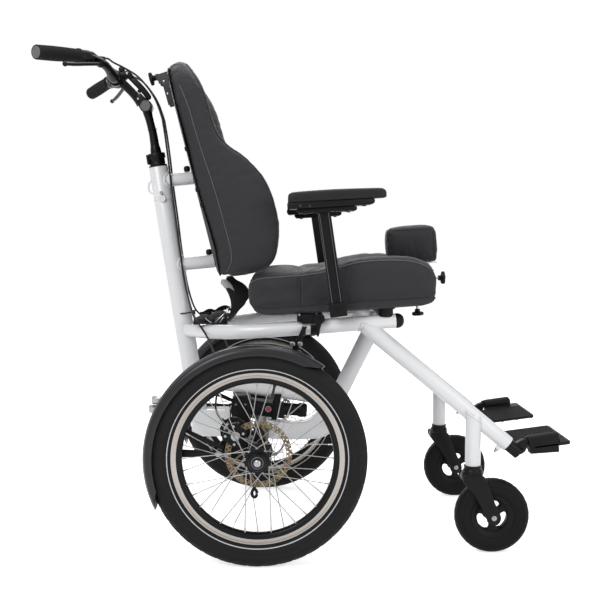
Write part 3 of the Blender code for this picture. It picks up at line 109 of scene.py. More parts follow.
POST_UP = (V((0.034, -0.25, 0.838)) - POST_END).normalized()
PIVOT = V((-0.42, 0, 1.109))
BAR_MIDDLE = V((-0.498, 0, 1.18))
GRIP_INNER = V((-0.5526, -0.18, 1.204))
GRIP_OUTER = V((-0.627, -0.289, 1.19))
GRIP_AXIS = (GRIP_OUTER - GRIP_INNER).normalized()
LEVER_PIVOT = V((-0.506, -0.154, 1.193))
PERCH = GRIP_INNER - GRIP_AXIS * 0.015
LEVER_UP = GRIP_AXIS.cross(PERCH - LEVER_PIVOT).normalized()
PERCH_REACH = LEVER_PIVOT - PERCH
PERCH_MIDDLE = PERCH + PERCH_REACH * 0.45 + UP * 0.0035
LOCK_PIVOT = V((-0.469, 0, 1.1945))
HOSE_ENTRY = V((-0.5005, -0.1375, 1.206))
HOSE_WAY = (HOSE_ENTRY - PERCH_MIDDLE).normalized()
CLAMP_PIVOT = V((0.0265, -0.2059, 0.569))

scene = bpy.context.scene
for stray in list(bpy.data.objects):
    if "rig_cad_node" not in stray and not stray.name.startswith("body:"):
        bpy.data.objects.remove(stray)


# Camera, lights and floor

def linked(name, data):
    """New object in the scene."""
    made = bpy.data.objects.new(name, data)
    scene.collection.objects.link(made)
    return made


def make_camera(place, pitch, yaw, lens):
    made = linked("camera", bpy.data.cameras.new("camera"))
    made.data.sensor_width = 36.0
    made.data.lens = lens
    made.location = place
    made.rotation_euler = (math.radians(pitch), 0.0, math.radians(yaw))
    scene.camera = made


def backdrop_factor(tree):
    """1 for the rays that should see the white studio, 0 for the light on the object."""
    path = tree.nodes.new("ShaderNodeLightPath")
    total = path.outputs["Is Camera Ray"]
    for ray in ("Is Glossy Ray", "Is Transmission Ray"):
        both = tree.nodes.new("ShaderNodeMath")
        both.operation = "MAXIMUM"
        tree.links.new(total, both.inputs[0])
        tree.links.new(path.outputs[ray], both.inputs[1])
        total = both.outputs[0]
    return total


def split_rays(tree, lit, seen, output):
    """One shader for the light on the object, another for the rays that see the studio."""
    mixed = tree.nodes.new("ShaderNodeMixShader")
    tree.links.new(backdrop_factor(tree), mixed.inputs[0])
    tree.links.new(lit.outputs[0], mixed.inputs[1])
    tree.links.new(seen.outputs[0], mixed.inputs[2])
    tree.links.new(mixed.outputs[0], tree.nodes[output].inputs["Surface"])


def make_world(colour, strength):
    world = bpy.data.worlds.new("studio")
    scene.world = world
    world.use_nodes = True
    tree = world.node_tree
    ambient = tree.nodes["Background"]
    ambient.inputs["Color"].default_value = colour
    ambient.inputs["Strength"].default_value = strength
    white = tree.nodes.new("ShaderNodeBackground")
    white.inputs["Color"].default_value = (1.0, 1.0, 1.0, 1.0)
    split_rays(tree, ambient, white, "World Output")


def make_lamp(name, place, size, power, target=(0.0, 0.0, 0.6)):
    """Round lamp that points at the middle of the object."""
    data = bpy.data.lights.new(name, "AREA")
    data.shape = "DISK"
    data.size = size
    data.energy = power
    made = linked(name, data)
    made.location = place
    made.rotation_mode = "QUATERNION"
    made.rotation_quaternion = (V(target) - V(place)).to_track_quat("-Z", "Y")


def make_floor(half, grey, rough, glow_strength):
    """White floor that glows for the camera only, so it meets the backdrop without an edge."""
    mesh = bpy.data.meshes.new("floor")
    corners = [(-half, -half, 0), (half, -half, 0), (half, half, 0), (-half, half, 0)]
    mesh.from_pydata(corners, [], [(0, 1, 2, 3)])
    material = bpy.data.materials.new("floor")
    material.use_nodes = True
    tree = material.node_tree
    shader = tree.nodes["Principled BSDF"]
    shader.inputs["Base Color"].default_value = (grey, grey, grey, 1.0)
    shader.inputs["Roughness"].default_value = rough
    glow = tree.nodes.new("ShaderNodeEmission")
    glow.inputs["Strength"].default_value = glow_strength
    bright = tree.nodes.new("ShaderNodeAddShader")
    tree.links.new(shader.outputs[0], bright.inputs[0])
    tree.links.new(glow.outputs[0], bright.inputs[1])
    split_rays(tree, shader, bright, "Material Output")
    mesh.materials.append(material)
    linked("floor", mesh)


make_camera(place=(-0.057, -2.33, 0.765), pitch=86.28, yaw=-0.66, lens=53.4)
make_world(colour=(0.95, 0.97, 1.0, 1.0), strength=0.42)
make_lamp("key", place=(-1.7, -2.6, 2.7), size=1.8, power=62.0)
make_lamp("fill", place=(2.4, -2.4, 1.5), size=2.2, power=30.0)
make_lamp("top", place=(0.1, 0.4, 3.2), size=2.4, power=42.0)
make_lamp("rear", place=(-0.6, 3.0, 1.9), size=2.0, power=34.0)
make_floor(half=30, grey=0.92, rough=0.9, glow_strength=0.62)
scene.view_settings.view_transform = "Standard"


# Materials

def add_node(tree, kind, **values):
    """New shader node. The values name its settings or its inputs."""
    made = tree.nodes.new("ShaderNode" + kind)
    for key, value in values.items():
        if hasattr(made, key):
            setattr(made, key, value)
        else:
            made.inputs[key.replace("_", " ").title()].default_value = value
    return made


def wire(tree, out, into):
    """Links an output to an input, and returns the node that the input belongs to."""
    tree.links.new(out, into)
    return into.node


def ring_relief(tree, place, grain):
    """Fine noise that runs in rings round the rear axle."""
    offset = add_node(tree, "VectorMath", operation="SUBTRACT")
    offset.inputs[1].default_value = (WHEEL.x, 0.0, WHEEL.z)
    wire(tree, place, offset.inputs[0])
    flat = add_node(tree, "VectorMath", operation="MULTIPLY")
    flat.inputs[1].default_value = (1.0, 0.0, 1.0)
    wire(tree, offset.outputs[0], flat.inputs[0])
    reach = add_node(tree, "VectorMath", operation="LENGTH")
    wire(tree, flat.outputs[0], reach.inputs[0])
    fine = add_node(tree, "TexNoise", noise_dimensions="1D", scale=grain, detail=2.0)
    wire(tree, reach.outputs["Value"], fine.inputs["W"])
    return fine.outputs["Fac"]


def weave_relief(tree, place, grain):
    """Mean of three waves, one along each axis."""
    height = None
    for direction in "XYZ":
        wave = add_node(tree, "TexWave", bands_direction=direction, scale=grain, distortion=0.6)
        wire(tree, place, wave.inputs["Vector"])
        if height is None:
            height = wave.outputs["Fac"]
            continue
        total = add_node(tree, "Math", operation="ADD")
        wire(tree, height, total.inputs[0])
        wire(tree, wave.outputs["Fac"], total.inputs[1])
        height = total.outputs[0]
    third = add_node(tree, "Math", operation="MULTIPLY")
    third.inputs[1].default_value = 1.0 / 3.0
    return wire(tree, height, third.inputs[0]).outputs[0]


def relief(tree, pattern, place, grain):
    """Height of a fine pattern: rings, weave, cells or noise."""
    if pattern == "rings":
        return ring_relief(tree, place, grain)
    if pattern == "weave":
        return weave_relief(tree, place, grain)
    if pattern == "cells":
        cells = add_node(tree, "TexVoronoi", scale=grain)
        return wire(tree, place, cells.inputs["Vector"]).outputs["Distance"]
    fine = add_node(tree, "TexNoise", scale=grain, detail=2.0)
    return wire(tree, place, fine.inputs["Vector"]).outputs["Fac"]


def look(name, colour, rough, metal=0.0, patch=0.08, patch_scale=6.0, grain=650.0, depth=0.0001,
        strength=0.25, spread=0.06, pattern="noise", specular=0.5, coat=0.0, sheen=0.0, stretch=None):
    """Finish with slow colour mottling, a fine relief of the given pattern and roughness that varies."""
    made = bpy.data.materials.new(name)
    made.use_nodes = True
    tree = made.node_tree
    shader = tree.nodes["Principled BSDF"]
    place = add_node(tree, "TexCoord").outputs["Object"]
    slow = add_node(tree, "TexNoise", scale=patch_scale, detail=3.0)
    wire(tree, place, slow.inputs["Vector"])
    tint = add_node(tree, "Mix", data_type="RGBA")
    tint.inputs[6].default_value = (*[c * (1.0 - patch) for c in colour], 1.0)
    tint.inputs[7].default_value = (*[min(c * (1.0 + patch), 1.0) for c in colour], 1.0)
    wire(tree, slow.outputs["Fac"], tint.inputs[0])
    wire(tree, tint.outputs[2], shader.inputs["Base Color"])
    if stretch:
        mapping = add_node(tree, "Mapping")
        mapping.inputs["Scale"].default_value = stretch
        place = wire(tree, place, mapping.inputs["Vector"]).outputs[0]
    height = relief(tree, pattern, place, grain)
    bump = add_node(tree, "Bump", strength=strength, distance=depth)
    wire(tree, height, bump.inputs["Height"])
    wire(tree, bump.outputs[0], shader.inputs["Normal"])
    span = add_node(tree, "MapRange")
    span.inputs["To Min"].default_value = max(rough - spread, 0.03)
    span.inputs["To Max"].default_value = min(rough + spread, 1.0)
    wire(tree, slow.outputs["Fac"] if pattern in ("weave", "cells") else height, span.inputs["Value"])
    wire(tree, span.outputs[0], shader.inputs["Roughness"])
    for key, value in (("Metallic", metal), ("Specular IOR Level", specular), ("Coat Weight", coat),
            ("Coat Roughness", 0.12), ("Sheen Weight", sheen), ("Sheen Roughness", 0.45)):
        shader.inputs[key].default_value = value
    return made


WHITE = look("white_paint", (0.73, 0.73, 0.738), 0.3, patch=0.025, grain=420.0, strength=0.1, coat=0.25)
WELD = look("white_weld", (0.68, 0.68, 0.688), 0.36, patch=0.06, patch_scale=60.0, grain=900.0,
    strength=0.5, depth=0.0004)
PAINT = look("black_paint", (0.0055, 0.0055, 0.0063), 0.38, patch=0.2, grain=520.0, strength=0.15,
    specular=0.13)
PLASTIC = look("black_plastic", (0.005, 0.005, 0.0056), 0.46, patch=0.22, grain=900.0, strength=0.35,
    specular=0.13, pattern="cells", depth=0.0002)
MUDGUARD = look("mudguard_plastic", (0.011, 0.0115, 0.0135), 0.3, patch=0.12, grain=700.0,
    strength=0.2, specular=0.3)
ANODISED = look("black_anodised", (0.0045, 0.0045, 0.0052), 0.34, patch=0.2, grain=1100.0, strength=0.12,
    specular=0.15)
TYRE = look("tyre_rubber", (0.0115, 0.0108, 0.0106), 0.7, patch=0.22, patch_scale=14.0, grain=1300.0,
    strength=0.5, specular=0.14, depth=0.0003)
CASTER_RUBBER = look("caster_rubber", (0.0045, 0.0045, 0.0049), 0.58, patch=0.2, patch_scale=20.0,
    grain=1500.0, strength=0.4, specular=0.12)
GRIP = look("grip_rubber", (0.012, 0.012, 0.0125), 0.85, patch=0.2, patch_scale=30.0, grain=800.0,
    strength=0.6, specular=0.2, pattern="cells", depth=0.0004)
HOSE = look("hose_sheath", (0.012, 0.012, 0.013), 0.42, patch=0.15, grain=2000.0, strength=0.15,
    specular=0.35)
CLOTH = look("upholstery", (0.0235, 0.0235, 0.0268), 0.6, patch=0.1, patch_scale=9.0, grain=900.0,
    strength=0.55, depth=0.0003, pattern="weave", specular=0.2, sheen=0.1)
PIPING = look("upholstery_edge", (0.015, 0.015, 0.017), 0.55, patch=0.15, grain=1500.0, strength=0.4,
    specular=0.25, pattern="weave")
THREAD = look("thread", (0.075, 0.077, 0.085), 0.6, patch=0.2, patch_scale=80.0, grain=3000.0, strength=0.5)
MOULDED = look("arm_pad_skin", (0.0095, 0.0092, 0.0095), 0.48, patch=0.18, patch_scale=18.0, grain=700.0,
    strength=0.45, pattern="cells", depth=0.0003, specular=0.2)
WEBBING = look("webbing", (0.01, 0.01, 0.011), 0.7, patch=0.2, patch_scale=40.0, grain=420.0, strength=0.9,
    depth=0.0006, pattern="weave", specular=0.2, sheen=0.1)
SILVER = look("silver", (0.33, 0.33, 0.335), 0.3, metal=1.0, patch=0.08, patch_scale=30.0, grain=1200.0,
    strength=0.15)
SPOKE = look("spoke_steel", (0.3, 0.295, 0.29), 0.3, metal=1.0, patch=0.1, patch_scale=25.0,
    grain=2500.0, strength=0.1)
TRACK = look("rim_track", (0.325, 0.298, 0.276), 0.24, metal=1.0, patch=0.34, patch_scale=3.2, grain=5200.0,
    strength=0.35, pattern="rings")
BARE = look("bar_silver", (0.42, 0.42, 0.43), 0.34, metal=1.0, patch=0.08, grain=700.0, strength=0.2,
    stretch=(1.0, 1.0, 0.05))
ROTOR = look("rotor_steel", (0.15, 0.115, 0.075), 0.32, metal=1.0, patch=0.25, patch_scale=22.0,
    grain=4200.0, strength=0.4, pattern="rings")
REFLECT = look("reflective_line", (0.5, 0.5, 0.51), 0.45, patch=0.08, patch_scale=12.0,
    grain=3000.0, strength=0.3)
CAP = look("grey_cap", (0.105, 0.107, 0.112), 0.42, patch=0.15, patch_scale=60.0,
    grain=1600.0, strength=0.3)
CAP_LIGHT = look("pale_plate", (0.34, 0.345, 0.355), 0.45, patch=0.12, patch_scale=50.0,
    grain=1400.0, strength=0.3)
BRACKET = look("bracket_grey", (0.036, 0.035, 0.039), 0.5, patch=0.16, patch_scale=40.0, grain=1100.0,
    strength=0.5, pattern="cells", depth=0.0003, specular=0.25)
# Painted highlight: grey metal that stands in for the gleam on the armrest posts' rounded edges.
PAINTED_EDGE_HIGHLIGHT = look("painted_edge_highlight", (0.125, 0.125, 0.128), 0.34, metal=1.0, patch=0.12, patch_scale=20.0,
    grain=1500.0, strength=0.2)
DARK_BOLT = look("dark_bolt", (0.07, 0.068, 0.066), 0.35, metal=1.0, patch=0.15, patch_scale=60.0,
    grain=1500.0, strength=0.2)
RED = look("red_plastic", (0.42, 0.016, 0.035), 0.35, patch=0.12, patch_scale=90.0,
    grain=1500.0, strength=0.2)


# Shapes

class Shape:
    """Closed solids gathered in one mesh, in the row frame."""

    def __init__(self):
        self.bm = bmesh.new()

    def loft(self, rings, closed=False, bevel=0.0, limit=35.0):
        """Solid through rings of points, with end faces unless it is closed in a ring itself."""
        loops = [[self.bm.verts.new(point) for point in ring] for ring in rings]
        pairs = list(zip(loops, loops[1:]))
        if closed:
            pairs.append((loops[-1], loops[0]))
        faces = []
        for first, second in pairs:
            for i in range(len(first)):
                j = (i + 1) % len(first)
                faces.append(self.bm.faces.new((first[i], first[j], second[j], second[i])))
        if not closed:
            faces.append(self.bm.faces.new(list(reversed(loops[0]))))
            faces.append(self.bm.faces.new(loops[-1]))
        if bevel:
            self.round_off(faces, bevel, limit)
        return self

    def round_off(self, faces, width, limit):
        """Rounds edges whose angle passes the limit. Sorting them makes every run give the same mesh."""
        bmesh.ops.recalc_face_normals(self.bm, faces=faces)
        edges = {edge for face in faces for edge in face.edges if len(edge.link_faces) == 2}
        sharp = [edge for edge in edges if edge.calc_face_angle(0.0) > math.radians(limit)]
        sharp.sort(key=lambda edge: tuple(round(c, 6) for vert in edge.verts for c in vert.co))
        bmesh.ops.bevel(self.bm, geom=sharp, offset=width, segments=2, profile=0.5, affect="EDGES",
            clamp_overlap=True)

    def lathe(self, origin, axis, profile, segments=48, ring=False, change=None):
        """Turned solid from (radius, distance) points. change(radius, distance, turn) alters a radius."""
        across, upright = axis_pair(axis)
        rows = []
        for turn in range(segments):
            angle = math.tau * turn / segments
            spoke = across * math.cos(angle) + upright * math.sin(angle)
            rows.append([origin + axis * d + spoke * (change(r, d, turn) if change else r)
                for r, d in profile])
        if ring:
            return self.loft(rows, closed=True)
        return self.loft([[row[i] for row in rows] for i in range(len(profile))])

    def rod(self, start, end, radius, segments=32, edge=0.0):
        """Cylinder between two points. edge rounds its rims."""
        length = (end - start).length
        profile = [(radius, 0.0), (radius, length)]
        if edge:
            profile = [(radius - edge, 0.0), (radius - edge * 0.3, edge * 0.3), (radius, edge),
                (radius, length - edge), (radius - edge * 0.3, length - edge * 0.3),
                (radius - edge, length)]
        return self.lathe(start, (end - start).normalized(), profile, segments)

    def tube(self, points, radii, sides=24, flat=1.0, wide=None):
        """Tube along points. flat scales its section along the second axis; wide sets the first axis."""
        radii = radii if isinstance(radii, list) else [radii] * len(points)
        rings = []
        across = wide
        for i, point in enumerate(points):
            axis = (points[min(i + 1, len(points) - 1)] - points[max(i - 1, 0)]).normalized()
            across = across if across is not None else axis_pair(axis)[0]
            across = (across - axis * across.dot(axis)).normalized()
            upright = axis.cross(across)
            rings.append([point + (across * math.cos(a) + upright * (math.sin(a) * flat)) * radii[i]
                for a in turns(sides)])
        return self.loft(rings)

    def hoop(self, points, radii, sides=8):
        """Round cord along a closed line."""
        rings = []
        for k, point in enumerate(points):
            one, two = axis_pair((points[(k + 1) % len(points)] - points[k - 1]).normalized())
            rings.append([point + (one * math.cos(a) + two * math.sin(a)) * radii[k] for a in turns(sides)])
        return self.loft(rings, closed=True)

    def slab(self, outline, low, high, plane="xz", bevel=0.0008, limit=35.0):
        """Plate with a flat outline, between two levels of the third axis."""
        place = {"xz": lambda u, v, w: V((u, w, v)), "xy": lambda u, v, w: V((u, v, w)), "yz": lambda u, v,
            w: V((w, u, v))}[plane]
        return self.loft([[place(u, v, w) for u, v in outline] for w in (low, high)],
            bevel=bevel, limit=limit)

    def box(self, low, high, bevel=0.0008):
        """Block between two corners."""
        outline = [(low[0], low[1]), (high[0], low[1]), (high[0], high[1]), (low[0], high[1])]
        return self.slab(outline, low[2], high[2], "xy", bevel)

    def take(self, bm):
        """Adds another mesh, which is freed."""
        mesh = bpy.data.meshes.new("part")
        bm.to_mesh(mesh)
        bm.free()
        self.bm.from_mesh(mesh)
        bpy.data.meshes.remove(mesh)
        return self

    def placed(self, matrix, build):
        """Adds what build(shape) makes, carried by the matrix."""
        part = Shape()
        build(part)
        part.bm.transform(matrix)
        return self.take(part.bm)

    def both(self, build):
        """Adds what build(shape) makes on the right-hand side, and its mirror image."""
        for side in (1.0, -1.0):
            self.placed(Matrix.Diagonal((1.0, side, 1.0, 1.0)), build)
        return self

    def node(self, name, bevel=0.0006, limit=28.0):
        """Adds a copy of a CAD node with its edges rounded."""
        part = bmesh.new()
        part.from_mesh(frame["nodes"][name].data)
        bmesh.ops.remove_doubles(part, verts=part.verts, dist=0.00001)
        bmesh.ops.dissolve_limit(part, angle_limit=math.radians(1.0), verts=part.verts, edges=part.edges)
        carrier = Shape()
        carrier.bm = part
        carrier.round_off(list(part.faces), bevel, limit)
        return self.take(part)


def turns(count, start=0.0):
    """Angles that divide a full turn."""
    return [math.tau * (k + start) / count for k in range(count)]


def around(centre, radius, angle, y=0.0):
    """Point at an angle round a centre, in a plane seen from the side."""
    return centre + V((radius * math.cos(angle), y, radius * math.sin(angle)))


def squared(value, power):
    """A sine or cosine pushed outwards, for a section between a circle and a rectangle."""
    return math.copysign(abs(value) ** power, value)


def mirrored(half, skip=0):
    """Points (a, b) and then, in reverse order, their images (-a, b). skip leaves out the first images."""
    return half + [(-a, b) for a, b in reversed(half[skip:])]


def two_sided(half, skip=1):
    """Points (a, b) and then, in reverse order, their images (a, -b). skip leaves out the first images."""
    return half + [(a, -b) for a, b in reversed(half[skip:])]


def other_side(points):
    """Mirror images of points, in reverse order."""
    return [V((p.x, -p.y, p.z)) for p in reversed(points)]


def axis_pair(axis):
    """Two directions square to an axis and to each other."""
    helper = SIDE if abs(axis.dot(SIDE)) < 0.9 else UP
    across = axis.cross(helper).normalized()
    return across, axis.cross(across).normalized()


def axes_at(origin, x_axis, y_axis, z_axis):
    """Matrix that carries the x, y and z of a drawing to a place and three directions."""
    return Matrix.Translation(origin) @ Matrix((x_axis, y_axis, z_axis)).transposed().to_4x4()


def curve_through(points, per_span):
    """Smooth curve through all points but the first and the last one, which only set its direction."""
    curve = []
    for a, b, c, d in zip(points, points[1:], points[2:], points[3:]):
        for step in range(per_span):
            t = step / per_span
            bend = (2 * a - 5 * b + 4 * c - d) * t ** 2 + (3 * b - a - 3 * c + d) * t ** 3
            curve.append(0.5 * (2 * b + (c - a) * t + bend))
    return curve


def smooth_path(points, per_span):
    """Smooth line through points, from the first to the last."""
    points = [V(point) for point in points]
    ends = [points[0] * 2 - points[1]] + points + [points[-1] * 2 - points[-2]]
    return curve_through(ends, per_span) + [points[-1]]


def smooth_outline(points, per_span=4):
    """Closed smooth outline through (u, v) points."""
    count = len(points)
    ring = [V((*points[i % count], 0.0)) for i in range(-1, count + 2)]
    return [(point.x, point.y) for point in curve_through(ring, per_span)]


def arc(centre, radius, start, end, steps):
    """Points of an arc between two angles in degrees."""
    angles = [math.radians(start + (end - start) * step / steps) for step in range(steps + 1)]
    return [(centre[0] + radius * math.cos(a), centre[1] + radius * math.sin(a)) for a in angles]


def rounded(low, high, radius, steps=5):
    """Rectangle with round corners."""
    corners = ((high[0], high[1], 0), (low[0], high[1], 90), (low[0], low[1], 180), (high[0], low[1], 270))
    outline = []
    for u, v, start in corners:
        centre = (u - math.copysign(radius, u - (low[0] + high[0]) / 2),
            v - math.copysign(radius, v - (low[1] + high[1]) / 2))
        outline += arc(centre, radius, start, start + 90, steps)
    return outline


def mesh_piece(bm, name, material, sharp):
    """Object from a mesh in the making, shaded smooth up to the angle named sharp."""
    bmesh.ops.recalc_face_normals(bm, faces=bm.faces)
    mesh = bpy.data.meshes.new(name)
    bm.to_mesh(mesh)
    made = linked(name, mesh)
    mesh.materials.append(material)
    mesh.shade_smooth()
    mesh.set_sharp_from_angle(angle=math.radians(sharp))
    return made


def riding(made, body, nodes):
    """Parents a piece to the body it rides on and hides the CAD nodes that it replaces."""
    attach(made, body)
    if nodes:
        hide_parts(*nodes)
    return made


def piece(shape, name, material, body, slot, *nodes, sharp=38.0):
    """A finished piece from a shape."""
    return riding(mesh_piece(shape.bm, name, material, sharp), body, nodes)


def pair(shape, name, material, body, slot, *nodes, sharp=38.0):
    """A right-hand piece and its mirror image. {} in a body's or a node's name stands for the side."""
    made = []
    for side in ("right", "left"):
        if side == "left":
            bmesh.ops.scale(shape.bm, vec=(1.0, -1.0, 1.0), verts=shape.bm.verts)
        named = [node.format(side) for node in nodes]
        made.append(piece(shape, name + "_" + side, material, body.format(side), slot, *named, sharp=sharp))
    return made


def hex_bolt(shape, origin, axis, radius=0.0045, height=0.0035, washer=True):
    """Socket-head bolt: washer, rounded head and a hexagonal recess."""
    if washer:
        disc = [(radius * 1.55, 0.0), (radius * 1.55, 0.0008), (radius * 1.4, 0.0011)]
        shape.lathe(origin, axis, disc, 24)
    socket = radius * 0.52
    shape.lathe(origin, axis, [(radius, 0.0), (radius, height * 0.75), (radius * 0.86, height),
        (socket, height), (socket, height * 0.45)], 24)
    return shape


def weld(shape, axis_point, axis, radius, branch_point, branch, branch_radius, width=0.0022):
    """Bead along the line where a branch tube, followed from branch_point, meets a main tube."""
    across, upright = axis_pair(branch)
    steps = 56
    ripples = 14
    points = []
    for angle in turns(steps):
        start = branch_point + (across * math.cos(angle) + upright * math.sin(angle)) * branch_radius
        gap = start - axis_point
        gap -= axis * gap.dot(axis)
        slope = branch - axis * branch.dot(axis)
        a, b, c = slope.dot(slope), gap.dot(slope), gap.dot(gap) - radius * radius
        inside = b * b - a * c
        t = (-b - math.sqrt(inside)) / a if inside > 0.0 else -b / a
        points.append(start + branch * t)
    shape.hoop(points, [width * (1.0 + 0.16 * math.sin(angle * ripples)) for angle in turns(steps)])
    return shape


# White frame

def rail_point(x, y):
    """Point at the height of the seat rails' middle line, y to the right."""
    return V((x, -y, 0.522 + 0.075 * (x + 0.31)))


def stub_point(x, low):
    """Point at x on the middle line of one of the mast's two stub tubes."""
    root = V((-0.349, 0.0, 0.6944)) if low else V((-0.382, 0.0, 0.9159))
    return root + STUB_AXIS * ((x - root.x) / STUB_AXIS.x)


def make_mast():
    """Leaning tube with its two stub tubes and foot block, their welds, one bolt and a small hook."""
    foot = MAST_TOP - MAST_UP * MAST_LENGTH
    mast = Shape()
    mast.lathe(foot, MAST_UP, [(0.023, 0.0), (0.0245, 0.0006), (0.025, 0.002), (0.025, 0.6955),
        (0.0243, 0.6968), (0.0232, 0.697), (0.0216, 0.6968), (0.0213, 0.69), (0.0213, 0.6)], 64)
    beads = Shape()
    for low, mouth in ((False, -0.2975), (True, -0.2435)):
        end = stub_point(mouth, low)
        root = stub_point(mouth - (0.111 if low else 0.09), low)
        length = (end - root).length
        mast.lathe(root, STUB_AXIS, [(0.0206, 0.0), (0.0206, 0.029), (0.0202, 0.0308), (0.0176, 0.0316),
            (0.0175, 0.033), (0.0175, length - 0.001), (0.017, length), (0.0145, length),
            (0.0142, length - 0.03)], 56)
        weld(beads, foot, MAST_UP, 0.0252, root + STUB_AXIS * 0.06, -STUB_AXIS, 0.0215, 0.0032)
    spot = MAST_TOP - MAST_UP * 0.085
    mast.lathe(spot - SIDE * 0.02, -SIDE, [(0.01, 0.0), (0.01, 0.0075), (0.0088, 0.0092)], 32)
    mast.lathe(spot - MAST_UP * 0.004, MAST_UP, [(0.0252, 0.0), (0.0264, 0.001), (0.0264, 0.007),
        (0.0252, 0.008)], 64)
    mast.slab(rounded((-0.305, 0.238), (-0.203, 0.309), 0.008), -0.027, 0.027, bevel=0.0022)
    mast.slab([(-0.33, 0.294), (-0.28, 0.294), (-0.292, 0.346), (-0.33, 0.346)], -0.018,
        0.018, bevel=0.0015)
    piece(mast, "mast", WHITE, "frame", "white_paint", "mast_tube")
    for edge_x in (-0.3045, -0.2035):
        beads.tube([V((edge_x, y, 0.309)) for y in (-0.026, 0.0, 0.026)], 0.0016, 8)
    for side in (-1, 1):
        weld(beads, foot, MAST_UP, MAST_RADIUS, rail_point(-0.29, 0.04 * -side),
            V((-0.6, -0.8 * side, -0.02)).normalized(), 0.0182)
    piece(beads, "mast_welds", WELD, "frame", "white_paint")
    bolt = Shape()
    spot += MAST_UP * 0.015
    hex_bolt(bolt, spot - SIDE * 0.029, -SIDE, 0.0046, 0.003, washer=False)
    piece(bolt, "mast_bolt", SILVER, "frame", "silver")
    hook = Shape()
    root = MAST_TOP - MAST_UP * 0.056 - V((0.0235, 0.0, 0.0))
    loop = [root + V(p) for p in ((0.004, 0, 0.016), (-0.006, 0, 0.017), (-0.0105, 0, 0.01),
        (-0.011, 0, -0.006), (-0.005, 0, -0.0125), (0.004, 0, -0.0125))]
    hook.tube(smooth_path(loop, 6), 0.0027, 12)
    piece(hook, "mast_hook", WHITE, "frame", "white_paint")


def make_side_frames():
    """On each side: bent seat rail, slanting leg, caster head, welds, end cap and bolt."""
    bend = [(-0.33, 0.0), (-0.296, 0.04), (-0.274, 0.072), (-0.25, 0.104), (-0.226, 0.128), (-0.19, 0.153),
        (-0.145, 0.17), (-0.08, 0.18), (0.06, 0.18), (0.219, 0.18)]
    path = smooth_path([rail_point(x, y) for x, y in bend], 7)[4:]
    frame_side = Shape()
    frame_side.tube(path, RAIL_RADIUS, 44)
    frame_side.rod(LEG_TOP, LEG_END, LEG_RADIUS, 48, edge=0.0012)
    crossing = LEG_TOP + LEG_AXIS * ((0.4 - LEG_TOP.x) / LEG_AXIS.x)
    frame_side.rod(FORK_HEAD, V((0.4, FOOT_Y, crossing.z)), 0.0187, 48, edge=0.001)
    down = SIDE.cross(LEG_AXIS).normalized()
    boss = LEG_END - LEG_AXIS * 0.0125
    frame_side.rod(boss + down * 0.012, boss + down * 0.0262, 0.0064, 24, edge=0.0008)
    pair(frame_side, "leg_frame", WHITE, "frame", "white_paint", "side_frame_{}", sharp=50.0)
    beads = Shape()
    weld(beads, LEG_TOP, LEG_AXIS, LEG_RADIUS, FORK_HEAD, UP, 0.0187, 0.0019)
    on_rail = rail_point(0.14, RAIL_Y)
    weld(beads, on_rail, RAIL_WAY, RAIL_RADIUS, LEG_TOP + LEG_AXIS * 0.08, -LEG_AXIS, LEG_RADIUS, 0.0019)
    cross_tube = V((STRUT_TOP.x, -0.08, STRUT_TOP.z + 0.003))
    weld(beads, on_rail, RAIL_WAY, RAIL_RADIUS, cross_tube, -SIDE, CROSS_RADIUS, 0.0018)
    pair(beads, "leg_welds", WELD, "frame", "white_paint")
    cap = Shape()
    cap.lathe(rail_point(0.216, RAIL_Y), RAIL_WAY, [(0.0179, 0.0), (0.0184, 0.0012), (0.0184, 0.0045),
        (0.0178, 0.0085), (0.0162, 0.0125), (0.0136, 0.016), (0.01, 0.0188), (0.006, 0.0203),
        (0.002, 0.0209)], 40)
    pair(cap, "rail_cap", PLASTIC, "frame", "black_plastic", sharp=60.0)
    bolt = Shape()
    bolt.lathe(boss + down * 0.0262, down, [(0.0052, 0.0), (0.0052, 0.0035), (0.0038, 0.0042),
        (0.0038, 0.009), (0.003, 0.01)], 6)
    pair(bolt, "leg_bolt", SILVER, "frame", "silver")


def make_keel():
    """Keel tube, strut, cross tube and the scooped gusset, with their welds."""
    keel = Shape()
    keel.rod(KEEL_REAR, KEEL_FRONT, KEEL_RADIUS, 64)
    keel.rod(STRUT_END, STRUT_TOP, STRUT_RADIUS, 56)
    keel.rod(rail_point(STRUT_TOP.x, 0.1795), rail_point(STRUT_TOP.x, -0.1795), CROSS_RADIUS, 40)
    scoop = [(-0.108, 0.281), (-0.085, 0.279), (-0.06, 0.2735), (-0.03, 0.2715), (0.0, 0.275),
        (0.02, 0.287), (0.036, 0.305)]
    curve = [(p.x, p.z) for p in smooth_path([V((u, 0.0, v)) for u, v in scoop], 4)]
    belly = [(0.07, 0.252), (0.052, 0.2355), (0.026, 0.229), (-0.02, 0.2265), (-0.07, 0.227),
        (-0.108, 0.231)]
    keel.slab(curve + [(0.05, 0.318)] + belly, -0.02, 0.02, bevel=0.003)
    piece(keel, "keel", WHITE, "frame", "white_paint", "keel_frame", sharp=50.0)
    beads = Shape()
    axis = (KEEL_FRONT - KEEL_REAR).normalized()
    strut = (STRUT_TOP - STRUT_END).normalized()
    on_keel = KEEL_REAR + axis * 0.2
    weld(beads, STRUT_END, strut, STRUT_RADIUS, on_keel, axis, KEEL_RADIUS)
    weld(beads, rail_point(STRUT_TOP.x, 0.0), SIDE, CROSS_RADIUS, STRUT_END + strut * 0.1,
        strut, STRUT_RADIUS)
    weld(beads, MAST_TOP, MAST_UP, MAST_RADIUS, on_keel, -axis, KEEL_RADIUS)
    piece(beads, "keel_welds", WELD, "frame", "white_paint")


make_mast()
make_side_frames()
make_keel()


# Axle, wheels, brakes and mudguards

